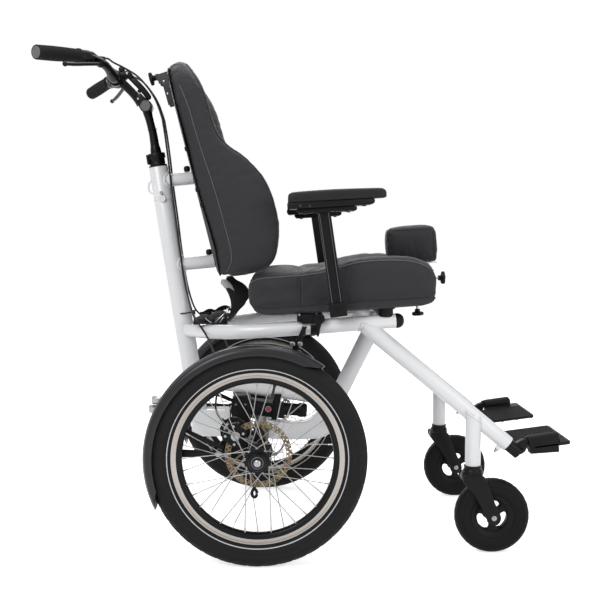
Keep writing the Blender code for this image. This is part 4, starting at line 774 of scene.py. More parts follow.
def make_axle():
    """Cross beam with its end plates and wheel stubs, then nuts, washers and bolts."""
    axle = Shape()
    axle.rod(V((WHEEL.x, -0.258, WHEEL.z)), V((WHEEL.x, 0.258, WHEEL.z)), 0.021, 56)
    outline = arc((WHEEL.x, WHEEL.z), 0.034, -100, 70, 14)
    outline += [(-0.142, 0.31), (-0.155, 0.327), (-0.172, 0.338), (-0.188, 0.3385), (-0.203, 0.329),
        (-0.213, 0.312), (-0.211, 0.295), (-0.206, 0.283)]
    outline += arc((-0.215, 0.257), 0.0165, 90, 250, 10)
    stub = [(0.013, 0.0), (0.013, 0.014), (0.0118, 0.019), (0.0075, 0.0195), (0.0075, 0.111)]
    axle.both(lambda s: s.slab(outline, -0.264, -0.256, bevel=0.0012).lathe(V((WHEEL.x, -0.2635, WHEEL.z)),
        -SIDE, stub, 40))
    piece(axle, "axle_bar", PAINT, "frame", "black_paint", "axle_beam")
    nut = Shape()
    nut.lathe(WHEEL - SIDE * 0.0463, -SIDE, [(0.0086, 0.0), (0.0092, 0.001), (0.0092, 0.004),
        (0.008, 0.0062), (0.006, 0.0078), (0.0032, 0.0086), (0.0008, 0.0088)], 40)
    pair(nut, "axle_nut", SILVER, "frame", "silver", sharp=60.0)
    washer = Shape()
    washer.lathe(WHEEL - SIDE * 0.0462, -SIDE, [(0.0135, 0.0), (0.0142, 0.0003), (0.0142, 0.0014),
        (0.0134, 0.0018), (0.0122, 0.0014), (0.0122, 0.0)], 48, ring=True)
    pair(washer, "axle_washer", CAP, "frame", "silver")
    bolts = Shape()
    for x, z in ((-0.172, 0.3215), (-0.197, 0.312), (-0.215, 0.257), (-0.14, 0.289), (-0.1, 0.236)):
        hex_bolt(bolts, V((x, -0.2641, z)), -SIDE, 0.0042, 0.0038)
    pair(bolts, "axle_bolts", SILVER, "frame", "silver")


def tread(radius, distance, turn):
    """Cuts slanted grooves in the tyre's shoulders and short ones in its crown."""
    if radius < 0.2405:
        return radius
    aside = abs(distance)
    slant = (turn + aside * 260.0) % 6.0
    if aside > 0.0105:
        return radius - (0.0024 if slant < 2.4 else 0.0)
    grooved = 0.003 < aside < 0.0052 or (slant < 1.0 and aside > 0.004)
    return radius - (0.0012 if grooved else 0.0)


def make_tyre():
    """Tyre with its tread and the reflective line on each wall."""
    half = [(0.2549, 0.0), (0.2549, 0.0028), (0.2549, 0.0038), (0.2548, 0.005), (0.2547, 0.006),
        (0.254, 0.0095), (0.2532, 0.0115), (0.2505, 0.0165), (0.2472, 0.0205), (0.244, 0.0228),
        (0.24, 0.024), (0.234, 0.0242), (0.2335, 0.0246), (0.2325, 0.0246), (0.232, 0.024), (0.2255, 0.023),
        (0.22, 0.0211), (0.2195, 0.0213), (0.2185, 0.0209), (0.218, 0.0202), (0.212, 0.0176),
        (0.2065, 0.0152), (0.205, 0.014), (0.203, 0.011), (0.2005, 0.0096)]
    tyre = Shape()
    tyre.lathe(WHEEL, SIDE, two_sided(half), 264, ring=True, change=tread)
    pair(tyre, "tyre_body", TYRE, "rear_wheel_{}", "tyre_rubber", "tyre_{}", sharp=50.0)
    line = Shape()
    for side in (-1.0, 1.0):
        line.lathe(WHEEL, SIDE * side, [(0.2109, 0.0168), (0.2109, 0.0174), (0.2099, 0.0171),
            (0.2088, 0.0166), (0.2088, 0.0158)], 144, ring=True)
    pair(line, "tyre_line", REFLECT, "rear_wheel_{}", "silver")


def make_rim():
    """Hollow rim and its two brake tracks."""
    wall = [(0.2043, 0.0125), (0.203, 0.0131), (0.2015, 0.0129), (0.2012, 0.0122), (0.1896, 0.011),
        (0.1892, 0.0117), (0.183, 0.0112), (0.179, 0.0095), (0.1765, 0.006), (0.1757, 0.0)]
    well = [(0.2043, 0.0112), (0.1998, 0.0104), (0.199, 0.009), (0.1985, 0.0)]
    rim = Shape()
    section = list(reversed(wall)) + well + [(r, -d) for r, d in reversed(well[:-1])] + [(r, -d)
        for r, d in wall[:-1]]
    rim.lathe(WHEEL, SIDE, section, 144, ring=True)
    pair(rim, "rim_body", ANODISED, "rear_wheel_{}", "silver", "wheel_{}", sharp=50.0)
    track = Shape()
    for side in (-1.0, 1.0):
        track.lathe(WHEEL, SIDE * side, [(0.2013, 0.0119), (0.2013, 0.0126), (0.196, 0.012),
            (0.1956, 0.0118), (0.1952, 0.0119), (0.1895, 0.0114), (0.1895, 0.0106)], 144, ring=True)
    pair(track, "rim_track", TRACK, "rear_wheel_{}", "silver")


def make_hub():
    """Flanged hub."""
    hub = Shape()
    hub.lathe(WHEEL, -SIDE, [(0.008, -0.035), (0.0165, -0.035), (0.018, -0.034), (0.018, -0.0325),
        (0.029, -0.031), (0.0312, -0.03), (0.0312, -0.0278), (0.029, -0.0268), (0.02, -0.024),
        (0.0165, -0.015), (0.016, 0.0), (0.0165, 0.014), (0.02, 0.0225), (0.029, 0.0252), (0.0312, 0.0262),
        (0.0312, 0.0284), (0.029, 0.0294), (0.0225, 0.031), (0.0205, 0.042), (0.019, 0.0455),
        (0.0165, 0.0462), (0.008, 0.0462)], 72, ring=True)
    pair(hub, "hub_body", ANODISED, "rear_wheel_{}", "black_anodised", sharp=45.0)


def make_spokes():
    """36 spokes: two flanges by turns, and two that lead for every two that trail."""
    spokes, heads, nipples = Shape(), Shape(), Shape()
    for number, rim_angle in enumerate(turns(36)):
        outer, leading = number % 2 == 0, number % 4 < 2
        hub_angle = rim_angle + math.radians(55.0 if leading else -55.0)
        flange = -0.0273 if outer else 0.0289
        hub_y = flange + (0.0022 if leading else -0.0022)
        rim_y = -0.004 if outer else 0.004
        start = around(WHEEL, 0.0285, hub_angle, hub_y)
        end = around(WHEEL, 0.1775, rim_angle, rim_y)
        along = (end - start).normalized()
        spokes.rod(start, end, 0.00106, 8)
        hole = V((start.x, WHEEL.y + flange, start.z))
        near = SIDE * (1.0 if leading else -1.0)
        spokes.lathe(hole, near, [(0.001, -0.0024), (0.001, 0.002)], 8)
        heads.lathe(hole - near * 0.0012, -near, [(0.002, 0.0), (0.002, 0.0006), (0.0012, 0.0012)], 10)
        nipples.lathe(end - along * 0.012, along, [(0.0013, 0.0), (0.0017, 0.001), (0.0017, 0.007),
            (0.0021, 0.0078), (0.0021, 0.0125)], 8)
    pair(spokes, "spokes", SPOKE, "rear_wheel_{}", "silver", sharp=60.0)
    pair(heads, "spoke_heads", SILVER, "rear_wheel_{}", "silver")
    pair(nipples, "spoke_nipples", SILVER, "rear_wheel_{}", "silver")


def make_valve():
    valve = Shape()
    inward = around(V(), 1.0, math.radians(77.0))
    valve.lathe(WHEEL + inward * 0.1765, -inward, [(0.004, 0.0), (0.004, 0.004), (0.003, 0.006),
        (0.003, 0.022), (0.0042, 0.023), (0.0042, 0.034), (0.0034, 0.036)], 20)
    pair(valve, "valve", HOSE, "rear_wheel_{}", "tyre_rubber")


def make_spoke_clip():
    tag = Shape()
    ring = WHEEL + V((-0.008, -0.01, -0.08))
    tag.tube([ring + V((0.0058 * math.cos(a), 0.0, 0.0092 * math.sin(a))) for a in turns(24)], 0.0036, 10)
    tag.slab(rounded((ring.x - 0.0035, ring.z + 0.008), (ring.x + 0.0035, ring.z + 0.015), 0.0015), ring.y
        - 0.003, ring.y + 0.003)
    pair(tag, "spoke_clip", PLASTIC, "rear_wheel_{}", "black_plastic")


def braking_ring(shape, inner, outer, cells):
    """Flat ring between two faces with a round hole in every cell of each of its two rows."""
    thick = 0.0009
    bm = shape.bm
    middle = (inner + outer) / 2
    for row, (low, high) in enumerate(((inner, middle), (middle, outer))):
        for cell in range(cells):
            angles = [math.tau * (cell + row * 0.5 + k / 2) / cells for k in range(3)]
            radii = (low, (low + high) / 2, high)
            edge = [(radii[0], angles[0]), (radii[0], angles[1]), (radii[0], angles[2]),
                (radii[1], angles[2]), (radii[2], angles[2]), (radii[2], angles[1]), (radii[2], angles[0]),
                (radii[1], angles[0])]
            border = [V((r * math.cos(a), 0.0, r * math.sin(a))) for r, a in edge]
            centre = V((radii[1] * math.cos(angles[1]), 0.0, radii[1] * math.sin(angles[1])))
            hole = [centre + (point - centre).normalized() * (0.0021 if cell % 3 else 0.0026)
                for point in border]
            place = WHEEL + SIDE * 0.03725
            rows = [[bm.verts.new(place + p + SIDE * side) for p in points] for side in (-thick, thick)
                for points in (border, hole)]
            for i in range(8):
                j = (i + 1) % 8
                bm.faces.new((rows[0][i], rows[0][j], rows[1][j], rows[1][i]))
                bm.faces.new((rows[2][i], rows[3][i], rows[3][j], rows[2][j]))
                bm.faces.new((rows[1][i], rows[1][j], rows[3][j], rows[3][i]))
                if (row == 0 and i < 2) or (row == 1 and i in (4, 5)):
                    bm.faces.new((rows[0][i], rows[2][i], rows[2][j], rows[0][j]))
    bmesh.ops.remove_doubles(bm, verts=bm.verts, dist=0.00002)


def make_rotor():
    """Brake disc with six swept arms, and its bolts."""
    disc = Shape()
    braking_ring(disc, 0.0655, 0.0797, 40)
    low, high = WHEEL.y + 0.03635, WHEEL.y + 0.03815
    for arm in range(6):
        centre = [(0.024, 0.0), (0.033, -3.0), (0.043, 3.0), (0.053, 11.0), (0.061, 18.0), (0.0672, 24.0)]
        spine = smooth_path([V((r, 0.0, math.radians(60.0 * arm + turn))) for r, turn in centre], 3)
        left, right = [], []
        for k, p in enumerate(spine):
            wide = 0.0046 - 0.002 * math.sin(math.pi * k / (len(spine) - 1))
            for side, found in ((1.0, left), (-1.0, right)):
                angle = p.z + side * wide / p.x
                found.append((WHEEL.x + p.x * math.cos(angle), WHEEL.z + p.x * math.sin(angle)))
        disc.slab(left + right[::-1], low, high, bevel=0.0002)
    disc.lathe(WHEEL, SIDE, [(0.0285, 0.0364), (0.0285, 0.0381), (0.019, 0.0381), (0.019, 0.0364)],
        60, ring=True)
    pair(disc, "brake_disc", ROTOR, "rear_wheel_{}", "rotor_steel", "rotor_{}", sharp=30.0)
    bolts = Shape()
    for arm in range(6):
        place = around(WHEEL, 0.0235, math.radians(60.0 * arm + 2.0), 0.0382)
        hex_bolt(bolts, place, SIDE, 0.0032, 0.002, washer=False)
    pair(bolts, "disc_bolts", SILVER, "rear_wheel_{}", "silver")


def make_caliper():
    """Calliper from its CAD node, with screws, piston cover and hose nut."""
    caliper = Shape()
    caliper.node("brake_caliper_right", 0.0011)
    pair(caliper, "caliper_body", PAINT, "frame", "black_paint", "brake_caliper_{}")
    details = Shape()

    def fittings(s):
        for r, v in ((0.06, -0.0165), (0.06, 0.0165), (0.0885, 0.0), (0.0885, 0.015), (0.0885, -0.015)):
            hex_bolt(s, V((r, -0.2979, v)), -SIDE, 0.0034, 0.0024, washer=False)
        piston = [(0.0108, 0.0), (0.0108, 0.0008), (0.0098, 0.0014), (0.004, 0.0014)]
        s.lathe(V((0.07, -0.2979, 0.0)), -SIDE, piston, 36)
        nut = [(0.005, 0.0), (0.005, 0.006), (0.0036, 0.007), (0.0036, 0.0118)]
        s.lathe(V((0.0985, -0.2755, -0.006)), AHEAD, nut, 6)

    details.placed(CALIPER_TURN, fittings)
    pair(details, "caliper_details", SILVER, "frame", "silver")


def make_mudguards():
    """Sheet with ribs along it, whose ends are rounded because its edges start later and stop earlier."""
    lanes = [(-0.0318, 0.2425), (-0.032, 0.2445), (-0.0316, 0.251), (-0.0302, 0.2565), (-0.0272, 0.2604),
        (-0.0225, 0.2628), (-0.0185, 0.2638), (-0.0168, 0.2652), (-0.014, 0.2654), (-0.0122, 0.2641),
        (-0.006, 0.2645)]
    outer = lanes + [(0.0, 0.2646)] + [(-y, r) for y, r in reversed(lanes)]
    inner = [(y * 0.94, r - 0.0019) for y, r in reversed(outer)]
    inner[0], inner[-1] = (0.0299, 0.2425), (-0.0299, 0.2425)

    def place(y, r, share):
        bulge = (abs(y) / 0.032) ** 2
        first = 54.0 + 500.0 * max(0.2566 - r, 0.0) + 3.0 * bulge
        last = 206.5 - 420.0 * max(0.2636 - r, 0.0) - 1.0 * bulge
        return around(WHEEL, r, math.radians(first + (last - first) * share), y)

    steps = 84
    guard = Shape()
    guard.loft([[place(y, r, step / steps) for y, r in outer + inner] for step in range(steps + 1)])
    pair(guard, "mudguard", MUDGUARD, "frame", "black_plastic", "fender_{}", sharp=45.0)


def make_mudguard_fittings():
    """Straps, stays and the clip that hold a mudguard, and their bolts."""
    fittings = Shape()
    fittings.slab([(-0.2944, 0.4892), (-0.2944, 0.4925), (-0.2064, 0.4935), (-0.2064, 0.4897)], -0.046,
        -0.02, "yz", bevel=0.0008)
    strap = [(-0.003, 0.5495), (-0.014, 0.5495), (-0.042, 0.4915), (-0.027, 0.4905)]
    fittings.slab(strap, -0.2096, -0.2064, bevel=0.0008)
    fittings.slab([(-0.205, 0.2505), (-0.205, 0.2635), (-0.3755, 0.2715), (-0.3755, 0.2475)], -0.2932,
        -0.2897, bevel=0.0009)
    fittings.slab([(-0.206, 0.266), (-0.2, 0.274), (-0.356, 0.348), (-0.364, 0.33)], -0.29,
        -0.2868, bevel=0.0009)
    fittings.rod(V((-0.215, -0.2643, 0.257)), V((-0.215, -0.2945, 0.257)), 0.005, 24, edge=0.0006)
    clip = around(WHEEL, 0.265, math.radians(178.0))
    fittings.slab(rounded((clip.x - 0.005, clip.z - 0.013), (clip.x + 0.003, clip.z + 0.013), 0.003),
        -0.308, -0.299, bevel=0.0008)
    pair(fittings, "mudguard_stays", PAINT, "frame", "black_plastic")
    bolts = Shape()
    for x, z in ((-0.039, 0.507), (-0.0205, 0.507)):
        hex_bolt(bolts, V((x, -0.2097, z)), -SIDE, 0.004, 0.0032)
    for x in (-0.038, -0.022):
        hex_bolt(bolts, V((x, -0.286, 0.4926)), UP, 0.004, 0.003)
    hex_bolt(bolts, V((-0.215, -0.2946, 0.257)), -SIDE, 0.0044, 0.0034)
    hex_bolt(bolts, V((-0.356, -0.2933, 0.2594)), -SIDE, 0.0038, 0.003)
    pair(bolts, "mudguard_bolts", SILVER, "frame", "silver")


# Lock unit and coupling

def make_unit():
    """Lock unit behind the keel, its red button and screws, and the two coupling pins."""
    unit = Shape()
    unit.node("lock_unit", 0.0014)
    unit.slab(rounded((-0.193, 0.248), (-0.156, 0.333), 0.006), -0.0322, -0.0298, bevel=0.001)
    unit.lathe(V((-0.078, 0.0, 0.3084)), V((1.0, 0.0, -0.075)).normalized(),
        [(0.0184, 0.0), (0.0184, 0.004), (0.0166, 0.005), (0.0166, 0.056), (0.019, 0.0585), (0.019, 0.07),
        (0.0172, 0.076), (0.012, 0.0795)], 44)
    piece(unit, "unit_housing", PLASTIC, "frame", "black_plastic", "lock_unit")
    centre = V((-0.101, -0.023, 0.3115))
    button = Shape()
    button.lathe(centre, -SIDE, [(0.0053, 0.0), (0.0053, 0.008), (0.0048, 0.0094), (0.0034, 0.01)], 32)
    piece(button, "unit_button", RED, "button", "red_plastic", "release_button")
    bezel = Shape()
    bezel.lathe(centre - SIDE * 0.0034, -SIDE, [(0.006, 0.0), (0.0085, 0.0), (0.0085, 0.0012),
        (0.0078, 0.0018), (0.006, 0.0018)], 36, ring=True)
    for x, z in ((-0.187, 0.256), (-0.162, 0.256), (-0.187, 0.325), (-0.162, 0.325)):
        hex_bolt(bezel, V((x, -0.0322, z)), -SIDE, 0.003, 0.002, washer=False)
    piece(bezel, "unit_screws", SILVER, "frame", "silver")
    pins = Shape()
    pins.box((-0.3385, -0.02, 0.292), (-0.3303, 0.02, 0.348), 0.0012)
    for x, z in ((-0.4135, 0.331), (-0.4215, 0.307)):
        length = -0.334 - x
        pins.lathe(V((-0.334, 0.0, z)), -AHEAD, [(0.01, 0.0), (0.01, length - 0.023)], 40)
        pins.lathe(V((-0.334 - length + 0.0235, 0.0, z)), -AHEAD, [(0.0112, 0.0), (0.0116, 0.001),
            (0.0116, 0.0205), (0.0104, 0.0235), (0.0045, 0.0235), (0.0035, 0.019)], 6)
    piece(pins, "coupling", SILVER, "frame", "silver", "coupling_pins")


# Casters and footrests

def make_caster_fork():
    """Stem cup, crown and two blades, and the axle bolt."""
    fork = Shape()
    fork.lathe(FORK_HEAD - UP * 0.024, UP, [(0.0225, 0.0), (0.0238, 0.001), (0.024, 0.01), (0.023, 0.0135),
        (0.0209, 0.0155), (0.0207, 0.0205), (0.0214, 0.0214), (0.0214, 0.0237), (0.0092, 0.0237),
        (0.0092, 0.09)], 48)
    crown = ((0.2005, 0.3995, 0.0222, 0.0222, 1.0), (0.1985, 0.3993, 0.024, 0.0242, 0.98),
        (0.196, 0.3988, 0.0249, 0.0265, 0.9), (0.1925, 0.3982, 0.0255, 0.0288, 0.8),
        (0.1885, 0.3976, 0.0258, 0.03, 0.7), (0.1835, 0.397, 0.0258, 0.0305, 0.62),
        (0.1815, 0.3968, 0.025, 0.03, 0.62))

    def crown_point(angle, z, x, wide, deep, power):
        across = wide * squared(math.cos(angle), power)
        return V((x + across, FOOT_Y + deep * squared(math.sin(angle), power), z))

    fork.loft([[crown_point(angle, *level) for angle in turns(56)] for level in crown])
    outline = [(0.3715, 0.1875), (0.374, 0.1935), (0.385, 0.195), (0.41, 0.195), (0.4215, 0.1925),
        (0.428, 0.182), (0.438, 0.159), (0.449, 0.127), (0.46, 0.105), (0.4645, 0.088), (0.457, 0.0745),
        (0.443, 0.072), (0.432, 0.08), (0.427, 0.096), (0.415, 0.118), (0.401, 0.143), (0.383, 0.164),
        (0.3735, 0.177)]
    curve = smooth_outline(outline, 4)
    for y in (-0.0275, 0.0275):
        fork.slab(curve, FOOT_Y + y - 0.003, FOOT_Y + y + 0.003, bevel=0.0022)
    pair(fork, "fork_body", PAINT, "caster_swivel_{}", "black_paint", "caster_fork_{}", sharp=50.0)
    pins = Shape()
    pins.rod(CASTER - SIDE * 0.033, CASTER + SIDE * 0.033, 0.0044, 24)
    for side in (-1.0, 1.0):
        hex_bolt(pins, CASTER + SIDE * (0.0306 * side), SIDE * side, 0.004, 0.0036)
    pair(pins, "fork_axle", SILVER, "caster_swivel_{}", "silver")


def caster_tread(radius, distance, turn):
    """Cuts a fine groove at every fourth step of the tyre's crown."""
    return radius - (0.0006 if radius > 0.0885 and abs(distance) > 0.004 and turn % 4 == 0 else 0.0)


def make_caster_wheel():
    """Solid tyre, three-spoke centre and bearing seals."""
    half = [(0.0904, 0.0), (0.0904, 0.006), (0.0898, 0.0085), (0.088, 0.0135), (0.0845, 0.018),
        (0.079, 0.0207), (0.075, 0.0213), (0.074, 0.0205), (0.073, 0.0212), (0.065, 0.02), (0.056, 0.0172),
        (0.0525, 0.0158), (0.0518, 0.0145)]
    tyre = Shape()
    tyre.lathe(CASTER, SIDE, two_sided(half), 112, ring=True, change=caster_tread)
    pair(tyre, "caster_rubber", CASTER_RUBBER, "caster_roller_{}", "tyre_rubber",
        "caster_tyre_{}", sharp=50.0)
    wheel = Shape()
    section = [(0.0524, 0.015), (0.0518, 0.0158), (0.05, 0.0155), (0.044, 0.012), (0.039, 0.0112),
        (0.0378, 0.0098)]
    wheel.lathe(CASTER, SIDE, two_sided(section, skip=0), 80, ring=True)
    wheel.lathe(CASTER, SIDE, [(0.005, -0.0235), (0.0125, -0.0235), (0.0145, -0.0215), (0.0155, -0.012),
        (0.0155, 0.012), (0.0145, 0.0215), (0.0125, 0.0235), (0.005, 0.0235)], 40, ring=True)
    for number in range(3):
        angle = math.radians(120.0 * number + 34.0)
        along = V((math.cos(angle), 0.0, math.sin(angle)))
        across = V((-along.z, 0.0, along.x))
        rings = []
        for r, wide, deep in ((0.011, 0.015, 0.012), (0.0165, 0.0105, 0.011), (0.023, 0.0082, 0.0095),
                (0.03, 0.009, 0.0085), (0.035, 0.0125, 0.0088), (0.0385, 0.0185, 0.0094),
                (0.0405, 0.023, 0.0098)):
            rings.append([CASTER + along * (r - 0.9 * wide * wide / 0.0405 * abs(math.cos(a)) ** 2)
                + across * (wide * squared(math.cos(a), 0.6)) + SIDE * (deep * squared(math.sin(a), 0.6))
                for a in turns(24)])
        wheel.loft(rings)
    pair(wheel, "caster_centre", PLASTIC, "caster_roller_{}", "black_plastic",
        "caster_wheel_{}", sharp=50.0)
    seal = Shape()
    for side in (-1.0, 1.0):
        seal.lathe(CASTER, SIDE * side, [(0.005, 0.023), (0.0098, 0.023), (0.0098, 0.0243),
            (0.005, 0.0243)], 32, ring=True)
    pair(seal, "caster_bearing", CAP, "caster_roller_{}", "black_plastic")


def make_foot_bar():
    """Bar that slides in the leg, its collar, neck and hinge pin."""
    bar = Shape()
    bar.rod(LEG_END - LEG_AXIS * 0.1, LEG_END + LEG_AXIS * 0.0345, 0.0156, 40, edge=0.0014)
    bar.rod(LEG_END - LEG_AXIS * 0.004, LEG_END + LEG_AXIS * 0.0035, 0.0172, 40, edge=0.0012)
    neck = smooth_outline([(0.49, 0.26), (0.5, 0.247), (0.513, 0.241), (0.525, 0.248), (0.53, 0.26),
        (0.53, 0.2765), (0.518, 0.2765), (0.505, 0.269)], 4)
    bar.slab(neck, FOOT_Y - 0.009, FOOT_Y + 0.009, bevel=0.0022)
    bar.rod(FOOT_HINGE_REAR - FOOT_HINGE_WAY * 0.008, FOOT_HINGE_FRONT, 0.0059, 28)
    bar.lathe(FOOT_HINGE_REAR - FOOT_HINGE_WAY * 0.006, FOOT_HINGE_WAY, [(0.0098, 0.0), (0.0108, 0.001),
        (0.0108, 0.0042), (0.0098, 0.005)], 32)
    pair(bar, "foot_bar", PAINT, "footrest_{}", "black_paint", "footrest_bar_{}", sharp=45.0)


def foot_tilt(degrees):
    """Tilt of a drawing round the middle of the foot plate's hinge."""
    centre = (FOOT_HINGE_REAR + FOOT_HINGE_FRONT) / 2
    turned = Matrix.Rotation(math.radians(degrees), 4, "Y")
    return Matrix.Translation(centre) @ turned @ Matrix.Translation(-centre)


def foot_hinge(s):
    """Barrel of the hinge with the two blocks that carry the plate."""
    barrel = [(0.0064, 0.0), (0.0122, 0.0), (0.014, 0.0014), (0.0148, 0.005), (0.015, 0.011),
        (0.015, 0.064), (0.0146, 0.0705), (0.0134, 0.075), (0.011, 0.077), (0.0064, 0.077)]
    s.lathe(FOOT_HINGE_REAR, FOOT_HINGE_WAY, barrel, 48, ring=True)
    s.slab(rounded((-0.25, 0.2455), (-0.2205, 0.276), 0.0035), 0.535, 0.605, "yz", bevel=0.002)
    s.slab([(-0.23, 0.249), (-0.23, 0.269), (-0.205, 0.268), (-0.205, 0.256), (-0.218, 0.249)], 0.5355,
        0.6035, "yz", bevel=0.0014)


def foot_sheet(s):
    """The plate itself, with cross ribs below and thin lines above."""
    edge = [(0.506, -0.212), (0.529, -0.212), (0.5365, -0.2195), (0.5365, -0.243), (0.54, -0.2485),
        (0.545, -0.25), (0.626, -0.25), (0.6316, -0.2476), (0.634, -0.242), (0.634, -0.073),
        (0.6316, -0.0674), (0.626, -0.065), (0.505, -0.065), (0.4994, -0.0674), (0.497, -0.073),
        (0.497, -0.204), (0.4996, -0.2096)]
    s.slab(edge, 0.259, 0.2671, "xy", bevel=0.0022)
    for x in (0.505, 0.545, 0.585, 0.625):
        s.box((x, -0.204, 0.256), (x + 0.004, -0.073, 0.26), 0.0008)
    for row in range(21):
        y = -0.2045 + row * 0.0065
        s.box((0.5035, y, 0.2664), (0.6275, y + 0.0028, 0.268), 0.0005)


def make_foot_plate():
    """Folding plate on its hinge, and the hinge's end cap."""
    plate = Shape()
    plate.placed(foot_tilt(-4.0), foot_hinge)
    plate.placed(foot_tilt(-7.5), foot_sheet)
    pair(plate, "foot_plate", PLASTIC, "foot_plate_{}", "black_plastic", "footplate_{}", sharp=45.0)
    cap = Shape()
    disc = [(0.0092, 0.0), (0.0092, 0.0008), (0.0075, 0.0014), (0.003, 0.0015)]
    cap.placed(foot_tilt(-4.0), lambda s: s.lathe(FOOT_HINGE_FRONT + FOOT_HINGE_WAY * 0.002,
        FOOT_HINGE_WAY, disc, 32))
    pair(cap, "foot_hinge_cap", CAP, "foot_plate_{}", "black_plastic")


make_axle()
make_tyre()
make_rim()
make_hub()
make_spokes()
make_valve()
make_spoke_clip()
make_rotor()
make_caliper()
make_mudguards()
make_mudguard_fittings()
make_unit()
make_caster_fork()
make_caster_wheel()
make_foot_bar()
make_foot_plate()


# Steering post, stem and handlebar

def make_collar():
    """Clamp of the handlebar post at the top of the mast, with its two screws."""
    collar = Shape()
    collar.lathe(MAST_TOP, MAST_UP, [(0.015, 0.0003), (0.0236, 0.0003), (0.0242, 0.001), (0.0242, 0.0038),
        (0.0234, 0.0046), (0.0206, 0.006), (0.02, 0.007), (0.02, 0.0206), (0.0204, 0.0216),
        (0.0224, 0.0224), (0.0228, 0.0232), (0.0228, 0.0345), (0.022, 0.0356), (0.0162, 0.0362),
        (0.015, 0.0356)], 64, ring=True)
    across = V((MAST_UP.z, 0.0, -MAST_UP.x))
    place = axes_at(MAST_TOP, across, SIDE, MAST_UP)
    for y in (-0.0068, 0.0068):
        collar.placed(place, lambda s: s.slab(rounded((-0.0262, 0.009), (-0.018, 0.035), 0.003), y - 0.005,
            y + 0.005, bevel=0.001))
    piece(collar, "post_clamp", ANODISED, "frame", "black_anodised", "stem_collar", sharp=45.0)
    screws = Shape()
    for height in (0.016, 0.029):
        screws.placed(place, lambda s: hex_bolt(s, V((-0.022, -0.0118, height)), -SIDE, 0.0034, 0.003,
            washer=False))
    piece(screws, "post_clamp_screws", ANODISED, "frame", "black_anodised")


def make_post():
    """Post that slides in the mast, up to the pivot of the stem."""
    neck = V((-0.4125, 0.0, 1.075))
    path = [MAST_TOP - MAST_UP * 0.13, MAST_TOP + MAST_UP * 0.04, MAST_TOP + MAST_UP * 0.045, MAST_TOP
        + MAST_UP * 0.053]
    upper = smooth_path([MAST_TOP + MAST_UP * 0.056, MAST_TOP + MAST_UP * 0.09, neck,
        V((-0.4168, 0.0, 1.092)), PIVOT], 6)
    shares = [k / (len(upper) - 1) for k in range(len(upper))]
    radii = [0.0143, 0.0143, 0.0141, 0.0126]
    radii += [0.0118 - 0.0016 * math.sin(math.pi * share) + 0.003 * share ** 3 for share in shares]
    post = Shape()
    post.tube(path + upper, radii, 48)
    post.lathe(PIVOT - SIDE * 0.0125, SIDE, [(0.0044, 0.0), (0.0157, 0.0), (0.0165, 0.0008),
        (0.0165, 0.0242), (0.0157, 0.025), (0.0044, 0.025)], 48, ring=True)
    post.lathe(MAST_TOP + MAST_UP * 0.098, MAST_UP, [(0.0118, 0.0), (0.0127, 0.0006), (0.0127, 0.0016),
        (0.0118, 0.0022)], 48)
    piece(post, "post", ANODISED, "steering_post", "black_anodised", "stem_post", sharp=50.0)


def faceplate_screws():
    """Place and direction of the four screws that hold the handlebar in the stem."""
    for y in (-0.0135, 0.0135):
        for tilt in (-52.0, 52.0):
            out = Matrix.Rotation(math.radians(tilt), 3, "Y") @ V((-0.82, 0.0, 0.57))
            yield BAR_MIDDLE + SIDE * y, out


